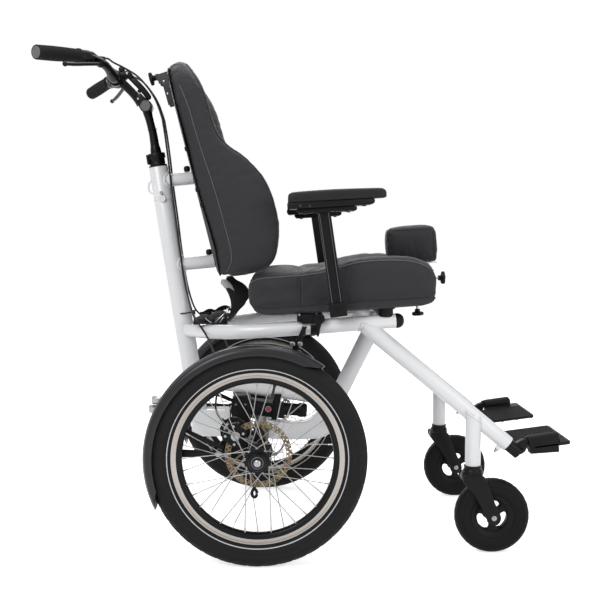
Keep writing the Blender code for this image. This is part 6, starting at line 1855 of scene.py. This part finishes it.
def make_pommel_pad():
    """Padded wedge that stands between the legs."""
    section = ((0.83, 0.0), (0.97, 0.14), (1.0, 0.5), (0.96, 0.86), (0.8, 0.98), (0.3, 1.0))
    stations = denser([(0.01, -0.01, 0.009, 0.778), (0.035, -0.004, 0.003, 0.7865),
        (0.16, -0.001, 0.0012, 0.7915), (0.5, -0.001, 0.0012, 0.796), (0.84, -0.001, 0.0012, 0.7985),
        (0.965, -0.004, 0.003, 0.794), (0.99, -0.01, 0.008, 0.782)], 5)
    base = 0.7033
    rings = []
    for t, inset, rise, high in stations:
        half = 0.034 + 0.02 * t + inset
        low = base + rise
        right = [(half * u, low + (high - low) * v) for u, v in section]
        ring = smooth_outline([(half * 0.3, low)] + right + [(-y, z) for y, z in reversed(right)]
            + [(-half * 0.3, low)], 4)
        rings.append([V((0.214 + 0.13 * t - 0.06 * (z - base), y, z)) for y, z in ring])
    form = Shape()
    form.loft(rings)
    seams = []
    for high in (0.712, 0.786):
        loop = []
        for x, y in ((0.217, 0.024), (0.217, 0.0), (0.217, -0.024), (0.225, -0.0345), (0.26, -0.04),
                (0.3, -0.046), (0.331, -0.051), (0.3405, -0.043), (0.3415, 0.0), (0.3405, 0.043),
                (0.331, 0.051), (0.3, 0.046), (0.26, 0.04), (0.225, 0.0345)):
            lift = 0.004 * (x - 0.217) / 0.124 if high > 0.75 else 0.0
            loop.append(V((x - 0.06 * (high - base), y, high + lift)))
        seams.append(Seam(loop, 0.0012, 0.006, closed=True))
    for side in (-1.0, 1.0):
        edge = [V((0.334 - 0.06 * (z - base), side * 0.051, z)) for z in (0.714, 0.735, 0.76, 0.788)]
        seams.append(Seam(edge, 0.0012, 0.006))
    pad = sewn(form, "pommel_cover", seams, 0.0036, 0.0045, 0.01, 0.0012, 5.0)
    riding(pad, "pommel", ["pommel_pad"])
    tree = surface(pad)
    piping = Shape()
    for seam in seams:
        cord_on(piping, tree, seam, 0.0011, 0.0002)
    piece(piping, "pommel_piping", PIPING, "pommel", "upholstery", sharp=180.0)


make_back_cushion()
make_seat_cushion()
make_pommel_pad()


# Seat board, clamps, armrests, knobs, belt and the hardware of the back

def post_place(height):
    """Axes of the armrest's post, at a height along it."""
    return axes_at(POST_END + POST_UP * height, V((POST_UP.z, 0.0, -POST_UP.x)), SIDE, POST_UP)


def make_seat_board():
    """Seat pan with its spacers and the sleeves of the armrests."""
    board, screws = Shape(), Shape()
    edge = [(-0.098, 0.16), (-0.09, 0.168), (-0.028, 0.17), (-0.028, 0.198), (0.035, 0.198), (0.035, 0.17),
        (0.054, 0.17), (0.054, 0.238), (0.086, 0.238), (0.086, 0.17), (0.168, 0.17), (0.168, 0.2),
        (0.214, 0.2), (0.214, 0.17), (0.294, 0.152), (0.302, 0.142)]
    outline = two_sided(edge, skip=0)
    board.loft([[V((x, y, seat_base(x) + level)) for x, y in outline] for level in (-0.0053, -0.0003)],
        bevel=0.0012)
    outer = rounded((-0.02, -0.015), (0.02, 0.015), 0.0025)
    inner = rounded((-0.0156, -0.0106), (0.0156, 0.0106), 0.0012)
    sleeve = [(outer, 0.0, 0.94), (inner, 0.0, 1.0), (inner, 0.034, 1.0), (outer, 0.034, 0.95),
        (outer, 0.0332, 1.0), (outer, 0.0008, 1.0)]
    for side in (-1.0, 1.0):
        low = V((0.1915, side * 0.18, 0.5722))
        tall = seat_base(0.1915) - 0.003 - low.z
        board.lathe(low, UP, [(0.0176, 0.0), (0.0184, 0.0008), (0.0184, tall)], 40)
        for x, y in ((0.174, 0.192), (0.209, 0.192), (-0.021, 0.19), (0.028, 0.19)):
            hex_bolt(screws, V((x, side * y, seat_base(x) - 0.0053)), -UP, 0.0034, 0.0022, washer=False)
        place = (Matrix.Identity(4) if side < 0.0 else Matrix.Scale(-1.0, 4, SIDE)) @ post_place(0.0)
        rings = [[place @ V((x * grow, y * grow, h)) for x, y in ring] for ring, h, grow in sleeve]
        board.loft(rings, closed=True)
        board.placed(place, lambda s: s.rod(V((0.0, -0.0148, 0.017)), V((0.0, -0.0185, 0.017)), 0.0052,
            24, edge=0.0006))
        screws.placed(place, lambda s: hex_bolt(s, V((0.0, -0.0184, 0.017)), -SIDE, 0.0032, 0.0018,
            washer=False))
    piece(board, "seat_board", PLASTIC, "frame", "black_plastic", "seat_pan")
    piece(screws, "seat_board_screws", PAINT, "frame", "black_plastic")


def make_clamps():
    """Blocks that clamp the seat to the rails, and their bolts."""
    block = Shape()
    block.slab([(-0.016, 0.5562), (0.0246, 0.5562), (0.0334, 0.565), (0.0334, seat_base(0.033) - 0.0056),
        (-0.016, seat_base(-0.016) - 0.0056)], -0.2055, -0.156, bevel=0.0012)
    block.slab([(-0.0272, 0.5622), (-0.0164, 0.5622), (-0.0164, seat_base(-0.016) - 0.0056),
        (-0.0272, seat_base(-0.027) - 0.0056)], -0.2035, -0.1575, bevel=0.001)
    band = arc((-RAIL_Y, 0.0), 0.0212, 160, 380, 22) + arc((-RAIL_Y, 0.0), 0.0181, 380, 160, 22)
    for low, high in ((-0.015, -0.006), (0.006, 0.025)):
        block.loft([[V((x, y, z + rail_point(x, 0.0).z)) for y, z in band] for x in (low, high)],
            bevel=0.0005)
    block.rod(CLAMP_PIVOT + SIDE * 0.002, CLAMP_PIVOT - SIDE * 0.0072, 0.0045, 24, edge=0.0005)
    pair(block, "rail_clamp", PLASTIC, "frame", "black_plastic", "seat_clamp_{}")
    bolts = Shape()
    hex_bolt(bolts, V((-0.0218, -0.2034, 0.5785)), -SIDE, 0.0026, 0.0018, washer=False)
    hex_bolt(bolts, V((-0.0086, -0.1995, 0.5462)), -SIDE, 0.0034, 0.0026)
    pair(bolts, "rail_clamp_bolts", SILVER, "frame", "silver")


def make_clamp_levers():
    """Cam levers of the clamps and the wire bows beside them."""
    lever = Shape()
    lever.lathe(CLAMP_PIVOT, -SIDE, [(0.0054, 0.0002), (0.0128, 0.0002), (0.0134, 0.001), (0.0134, 0.0072),
        (0.012, 0.0088), (0.0054, 0.0088)], 40, ring=True)
    blade = [(0.018, 0.562), (0.0206, 0.55), (0.0204, 0.54), (0.02, 0.53), (0.0222, 0.5252),
        (0.025, 0.5262), (0.0272, 0.533), (0.0286, 0.544), (0.0325, 0.56), (0.03, 0.568), (0.023, 0.569)]
    lever.slab(smooth_outline(blade, 3), -0.214, -0.2086, bevel=0.0014)
    pair(lever, "cam_lever", PAINT, "clamp_lever_{}", "black_plastic", "seat_clamp_lever_{}")
    wire = Shape()
    bow = [V((x, -0.2078, z)) for x, z in ((0.0245, 0.574), (0.019, 0.579), (0.0215, 0.584), (0.03, 0.5885),
        (0.0335, 0.586), (0.0338, 0.578), (0.0322, 0.573))]
    wire.tube(smooth_path(bow, 6), 0.0011, 10)
    pair(wire, "rail_clamp_wire", SILVER, "frame", "silver")


def pad_level(x, height):
    """Height of a point of the arm pad, above the line of the pad's underside."""
    return 0.852 + 0.058 * (x - 0.034) + height


def make_armrests():
    """Grooved post with the two plates that carry the arm pad."""
    post = Shape()
    section = [(-0.015, -0.0088), (-0.0138, -0.01), (-0.0098, -0.01), (-0.0092, -0.0086), (0.0072, -0.0086),
        (0.0078, -0.01), (0.0138, -0.01), (0.015, -0.0088), (0.015, 0.0088), (0.0138, 0.01),
        (-0.0138, 0.01), (-0.015, 0.0088)]
    post.loft([[post_place(h) @ V((x, y, 0.0)) for x, y in section] for h in (0.0, 0.26)])
    for low, high, over, under, half in ((-0.0517, 0.1535, -0.0004, -0.015, 0.031),
            (-0.029, 0.1095, -0.0146, -0.0262, 0.018)):
        outline = [(low, pad_level(low, over)), (low + 0.0006, pad_level(low, over - 0.006))]
        outline += [(low + 0.003, pad_level(low, under + 0.003)), (low + 0.0065, pad_level(low, under))]
        outline += [(high - 0.0075, pad_level(high, under)),
            (high - 0.0022, pad_level(high, under + 0.0024))]
        outline += [(high, pad_level(high, under + 0.0075)),
            (high - 0.0014, pad_level(high, over - 0.0012)), (high - 0.004, pad_level(high, over))]
        post.slab(outline, ARM_Y - half, ARM_Y + half, bevel=0.0016)
    pair(post, "armrest_frame", PAINT, "armrest_{}", "black_anodised", "armrest_post_{}")


def make_armrest_details():
    """Painted highlight strips along the posts' edges, and the bolts."""
    lines, bolts = Shape(), Shape()
    # Thin strips on two edges of each post: a painted highlight of their rounded edges.
    for low, high in ((-0.0123, -0.0111), (0.0088, 0.01)):
        lines.loft(
            [[post_place(h) @ V((x, y, 0.0)) for x, y in ((low, -0.0099), (high, -0.0099), (high, -0.01025),
            (low, -0.01025))] for h in (0.03, 0.248)])
    pair(lines, "armrest_post_lines", PAINTED_EDGE_HIGHLIGHT, "armrest_{}", "silver")
    for x, under in ((-0.009, -0.0262), (0.0905, -0.0262), (0.1305, -0.015)):
        hex_bolt(bolts, V((x, ARM_Y, pad_level(x, under))), -UP, 0.0042, 0.0026)
    for x, h in ((-0.021, -0.0085), (0.0015, -0.0105)):
        hex_bolt(bolts, V((x, -0.2848, pad_level(x, h))), -SIDE, 0.002, 0.0006, washer=False)
    pair(bolts, "armrest_bolts", DARK_BOLT, "armrest_{}", "silver")


def make_arm_pads():
    stations = [(-0.0498, 0.024, 0.0025, 0.012), (-0.0485, 0.03, 0.0003, 0.019),
        (-0.044, 0.0335, 0.0003, 0.0228), (-0.033, 0.035, 0.0003, 0.025), (0.015, 0.0355, 0.0003, 0.0262),
        (0.07, 0.036, 0.0003, 0.0262), (0.13, 0.0352, 0.0003, 0.0246), (0.165, 0.034, 0.0003, 0.0232),
        (0.1745, 0.0315, 0.0003, 0.0205), (0.1795, 0.027, 0.0003, 0.016), (0.1812, 0.0215, 0.0025, 0.01)]
    profile = ((-0.93, 0.0), (0.93, 0.0), (0.99, 0.07), (1.0, 0.3), (0.985, 0.62), (0.93, 0.86),
        (0.78, 0.96), (0.45, 0.995), (0.0, 1.0), (-0.45, 0.995), (-0.78, 0.96), (-0.93, 0.86),
        (-0.985, 0.62), (-1.0, 0.3), (-0.99, 0.07))
    pad = Shape()

    def pad_ring(x, half, low, high):
        return [V((x, ARM_Y + half * u, pad_level(x, low + (high - low) * v))) for u, v in profile]

    pad.loft([pad_ring(*station) for station in denser(stations, 4)])
    for made in pair(pad, "arm_cushion", MOULDED, "armrest_{}", "rubber", "armpad_{}", sharp=62.0):
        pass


def star_knob(name, body, node, origin, axis, start, radius):
    """Five-lobed hand knob on a bright stud: start is where the neck begins, measured along the axis."""
    knob, stud = Shape(), Shape()

    def lobed(r, distance, turn):
        lobe = 0.5 + 0.5 * math.cos(5.0 * math.tau * turn / 80)
        return r * (0.78 + 0.22 * lobe ** 0.55) if r > 0.0092 else r

    knob.lathe(origin + axis * start, axis, [(0.0042, 0.0), (0.0064, 0.0004), (0.007, 0.0012),
        (0.0073, 0.0066), (0.009, 0.0078), (radius * 0.8, 0.0084), (radius * 0.95, 0.0092),
        (radius, 0.0108), (radius, 0.015), (radius * 0.95, 0.0168), (radius * 0.8, 0.0178), (0.0085, 0.018),
        (0.006, 0.0174), (0.0052, 0.016)], 80, change=lobed)
    stud.lathe(origin, axis, [(0.0034, 0.0), (0.0034, start + 0.002)], 20)
    piece(knob, name, PLASTIC, body, "black_plastic", node)
    piece(stud, name + "_stud", SILVER, body, "silver")


def make_knobs():
    """Three star knobs, and the two dome knobs on the mast's stub tubes."""
    star_knob("star_knob_front", "pommel_knob_body", "pommel_knob", V((0.3172, 0.0, 0.659)), AHEAD,
        0.0343, 0.0178)
    axis = V((0.064, 0.0, -1.0)).normalized()
    low = V((0.296, 0.0, seat_base(0.296) - 0.0111))
    star_knob("star_knob_seat", "seat_knob_body", "seat_knob", low - axis * 0.006, axis, 0.023, 0.0162)
    star_knob("star_knob_headrest", "headrest_knob_body", "headrest_knob", back_point(0.0, 0.5367, -0.04),
        -BACK_FRONT, 0.0062, 0.0176)
    for name, x, low in (("upper", -0.313, False), ("lower", -0.256, True)):
        knob = Shape()
        knob.lathe(stub_point(x, low) + STUB_UP * 0.0178, STUB_UP, [(0.0029, -0.003), (0.0029, 0.0002),
            (0.007, 0.0004), (0.008, 0.0016), (0.0084, 0.006), (0.0082, 0.01), (0.007, 0.0128),
            (0.0045, 0.0146), (0.0012, 0.015)], 36)
        piece(knob, "dome_knob_" + name, PLASTIC, "stub_knob_" + name + "_body", "black_plastic",
            "stub_knob_" + name)


def make_pommel_metal():
    """Bent bracket below the seat with its four bolts, and the bar that slides in it."""
    bracket, bar, bolts = Shape(), Shape(), Shape()

    def shelf(x, level):
        return seat_base(x) - 0.0056 + level

    outline = [(0.24, shelf(0.24, -0.0054)), (0.314, shelf(0.314, -0.0054)), (0.319, shelf(0.319, -0.003)),
        (0.3199, shelf(0.3199, 0.002)), (0.3199, 0.6715), (0.3161, 0.6715), (0.3161, shelf(0.316, -0.0004)),
        (0.24, shelf(0.24, -0.0004))]
    bracket.slab(outline, -0.02, 0.02, bevel=0.0008)
    for x in (0.252, 0.27):
        for y in (-0.011, 0.011):
            hex_bolt(bolts, V((x, y, shelf(x, -0.0054))), -UP, 0.0036, 0.0026)
    piece(bracket, "pommel_support", PAINT, "frame", "black_paint", "pommel_bracket")
    piece(bolts, "pommel_support_bolts", SILVER, "frame", "silver")
    bar.node("pommel_bar", 0.0005)
    piece(bar, "pommel_slide", BARE, "pommel", "silver_bar", "pommel_bar")


def make_back_board():
    """Rigid shell of the back, whose side edges curve forward."""
    shell = Shape()
    levels = (-0.003, 0.0, 0.01, 0.03, 0.06, 0.12, 0.2, 0.28, 0.36, 0.43, 0.455, 0.48, 0.5,
        0.514, 0.519, 0.524)
    rings = []
    for up in levels:
        narrower = 1.0 - 0.36 * min(max(up - 0.515, 0.0) / 0.034, 1.0) ** 1.5
        half = max(back_half(up) - 0.0105, 0.06) * narrower
        rear = -0.006 if 0.001 < up < 0.52 else -0.003
        edge = back_edge(up)
        right = [(0.0, rear), (0.6, rear), (0.8, rear + 0.0008), (0.9, rear + (edge - rear) * 0.55),
            (0.965, edge - 0.0006), (0.995, edge), (1.0, edge + 0.0012), (0.98, edge + 0.0026),
            (0.9, edge + 0.0022), (0.6, -0.0008)]
        rings.append([back_point(half * u, up, front) for u, front in mirrored(right, skip=1)])
    shell.loft(rings)
    piece(shell, "back_board", PLASTIC, "backrest", "black_plastic", "back_shell", sharp=50.0)


def headrest_bracket(s):
    """Drawn with x forward and y up the back: two cheeks, a web, a block and a nut."""
    plate = [(-0.005, 0.457), (-0.03, 0.4562), (-0.0318, 0.458), (-0.033, 0.5109), (-0.0408, 0.516),
        (-0.042, 0.518), (-0.0412, 0.5385), (-0.0395, 0.5405), (-0.0156, 0.5425), (-0.005, 0.546)]
    for low, high in ((-0.0182, -0.0156), (0.0156, 0.0182)):
        s.slab(plate, low, high, bevel=0.0008)
    web = [(-0.005, 0.46), (-0.0298, 0.46), (-0.0298, 0.52), (-0.005, 0.52)]
    s.slab(web, -0.016, 0.016, bevel=0.0006)
    block = [(-0.006, 0.519), (-0.0385, 0.519), (-0.0385, 0.537), (-0.006, 0.539)]
    s.slab(block, -0.016, 0.016, bevel=0.001)
    nut = [(-0.038, 0.529), (-0.047, 0.529), (-0.047, 0.5444), (-0.038, 0.5444)]
    s.slab(nut, -0.008, 0.008, bevel=0.001)


def make_back_mounts():
    """Two rods that slide in the stub tubes, flanges, edge clips, headrest bracket and rivets."""
    parts, bracket, rivets = Shape(), Shape(), Shape()
    for mouth, low in ((-0.2975, False), (-0.2435, True)):
        start = stub_point(mouth - 0.055, low)
        end = start + STUB_AXIS * ((-0.0062 - (start - BACK_FOOT).dot(BACK_FRONT)) / STUB_AXIS.dot(
            BACK_FRONT))
        parts.rod(start, end, 0.0136, 40)
        parts.lathe(end + BACK_FRONT * 0.0004, -BACK_FRONT, [(0.0225, 0.0), (0.0225, 0.0026),
            (0.0212, 0.0036), (0.017, 0.0044), (0.015, 0.008)], 40)
        across, upright = axis_pair(-BACK_FRONT)
        for angle in turns(4, 0.5):
            place = end - BACK_FRONT * 0.0028 + (across * math.cos(angle)
                + upright * math.sin(angle)) * 0.0184
            hex_bolt(rivets, place, -BACK_FRONT, 0.0022, 0.0018, washer=False)
    place = axes_at(BACK_FOOT + SIDE * -0.19, BACK_FRONT, SIDE, BACK_UP)
    for up in (0.3146, 0.2132, 0.1747):
        front = back_edge(up)
        parts.placed(place,
            lambda s: s.slab(rounded((front - 0.004, up - 0.0055), (front + 0.003, up + 0.0055), 0.0022),
            -0.006, 0.004, bevel=0.0008))
    piece(parts, "back_mounts", PAINT, "backrest", "black_plastic")
    bracket.placed(axes_at(BACK_FOOT, BACK_FRONT, SIDE, BACK_UP), headrest_bracket)
    piece(bracket, "headrest_bracket", BRACKET, "backrest", "black_plastic")
    for up, front in ((0.5194, -0.0274), (0.4862, -0.0259)):
        for side in (-1.0, 1.0):
            rivets.lathe(back_point(side * 0.018, up, front), SIDE * side, [(0.0031, 0.0), (0.0029, 0.0008),
                (0.0018, 0.0014)], 24)
    piece(rivets, "back_rivets", SILVER, "backrest", "silver")


def ribbon(shape, left, right, thick):
    """Flat webbing between two edges that are given point by point."""
    left, right = smooth_path(left, 5), smooth_path(right, 5)
    mid = [(p + q) * 0.5 for p, q in zip(left, right)]
    rings = []
    for i, (a, b) in enumerate(zip(left, right)):
        along = (mid[min(i + 1, len(mid) - 1)] - mid[max(i - 1, 0)]).normalized()
        normal = along.cross(b - a).normalized() * (thick / 2)
        edge = (b - a).normalized() * thick * 0.4
        rings.append([a + normal + edge, a, a - normal + edge, b - normal - edge, b, b + normal - edge])
    shape.loft(rings)


def make_belt():
    """Straps on both sides with their plates and rings, and the bridge that lies on the rails."""
    straps, plates, rings, bridge = Shape(), Shape(), Shape(), Shape()
    rest = rail_point(-0.228, 0.0).z + 0.0181
    left = [(-0.219, 0.074, 0.656), (-0.215, 0.08, 0.644), (-0.208, 0.088, 0.633), (-0.201, 0.093, 0.62),
        (-0.1965, 0.096, 0.606), (-0.195, 0.097, 0.59), (-0.198, 0.098, 0.574), (-0.203, 0.102, 0.559),
        (-0.215, 0.104, 0.55)]
    right = [(-0.203, 0.104, 0.66), (-0.192, 0.102, 0.65), (-0.173, 0.098, 0.64), (-0.16, 0.094, 0.6265),
        (-0.1545, 0.09, 0.611), (-0.16, 0.086, 0.595), (-0.174, 0.082, 0.581), (-0.187, 0.078, 0.564),
        (-0.199, 0.076, 0.552)]
    tail = [(-0.206, 0.556), (-0.21, 0.57), (-0.223, 0.5745), (-0.238, 0.57), (-0.25, 0.562),
        (-0.26, 0.5645), (-0.27, 0.564), (-0.283, 0.557), (-0.292, 0.556)]
    under = [(-0.292, 0.552), (-0.28, 0.5535), (-0.264, 0.557), (-0.248, 0.5545), (-0.233, 0.5525),
        (-0.215, 0.5535), (-0.206, 0.5515)]
    spans = (((-0.2359, 0.55), (-0.2075, 0.5775), 0.02), ((-0.2235, 0.55), (-0.212, 0.566), 0.018),
        ((-0.259, 0.5615), (-0.244, 0.55), 0.019))
    for side in (-1.0, 1.0):
        edges = [[(x, side * y, z) for x, y, z in line] for line in (left, right)]
        ribbon(straps, *edges, 0.0022)
        for line, inner, outer in ((tail, 0.082, 0.112), (under, 0.08, 0.11)):
            ribbon(straps, [(x, side * inner, z + 0.005) for x, z in line],
                [(x + 0.002, side * outer, max(z - 0.0085, rest - 0.0004)) for x, z in line], 0.0024)
        plate = [(-0.219, 0.6605), (-0.205, 0.6605), (-0.1925, 0.647), (-0.1848, 0.6308), (-0.1996, 0.6399),
            (-0.2088, 0.6365), (-0.2205, 0.65)]
        low = 0.107 if side > 0.0 else -0.1095
        plates.slab(plate, low, low + 0.0025, bevel=0.0006)
        for (x0, z0), (x1, z1), half in spans:
            run = V((x1 - x0, 0.0, z1 - z0))
            centre = V(((x0 + x1) / 2, side * 0.096, (z0 + z1) / 2))
            reach = run.length / 2
            outline = rounded((-reach, -half), (reach, half), run.length * 0.3, 4)
            loop = [centre + run.normalized() * u + SIDE * v for u, v in outline]
            rings.hoop(loop, [0.0013] * len(loop))
    bridge.box((-0.26, -0.112, rest), (-0.228, 0.112, rest + 0.004), 0.0009)
    for side in (-1.0, 1.0):
        bridge.slab(rounded((-0.278, side * 0.096 - 0.019), (-0.262, side * 0.096 + 0.019), 0.004),
            rest + 0.0005, rest + 0.0145, "xy", bevel=0.0015)
    piece(straps, "belt_straps", WEBBING, "frame", "webbing", "hip_belt", sharp=60.0)
    piece(plates, "belt_plates", CAP_LIGHT, "frame", "webbing")
    piece(rings, "belt_rings", SILVER, "frame", "silver")
    piece(bridge, "belt_bridge", WEBBING, "frame", "webbing")


make_seat_board()
make_clamps()
make_clamp_levers()
make_armrests()
make_armrest_details()
make_arm_pads()
make_knobs()
make_pommel_metal()
make_back_board()
make_back_mounts()
make_belt()
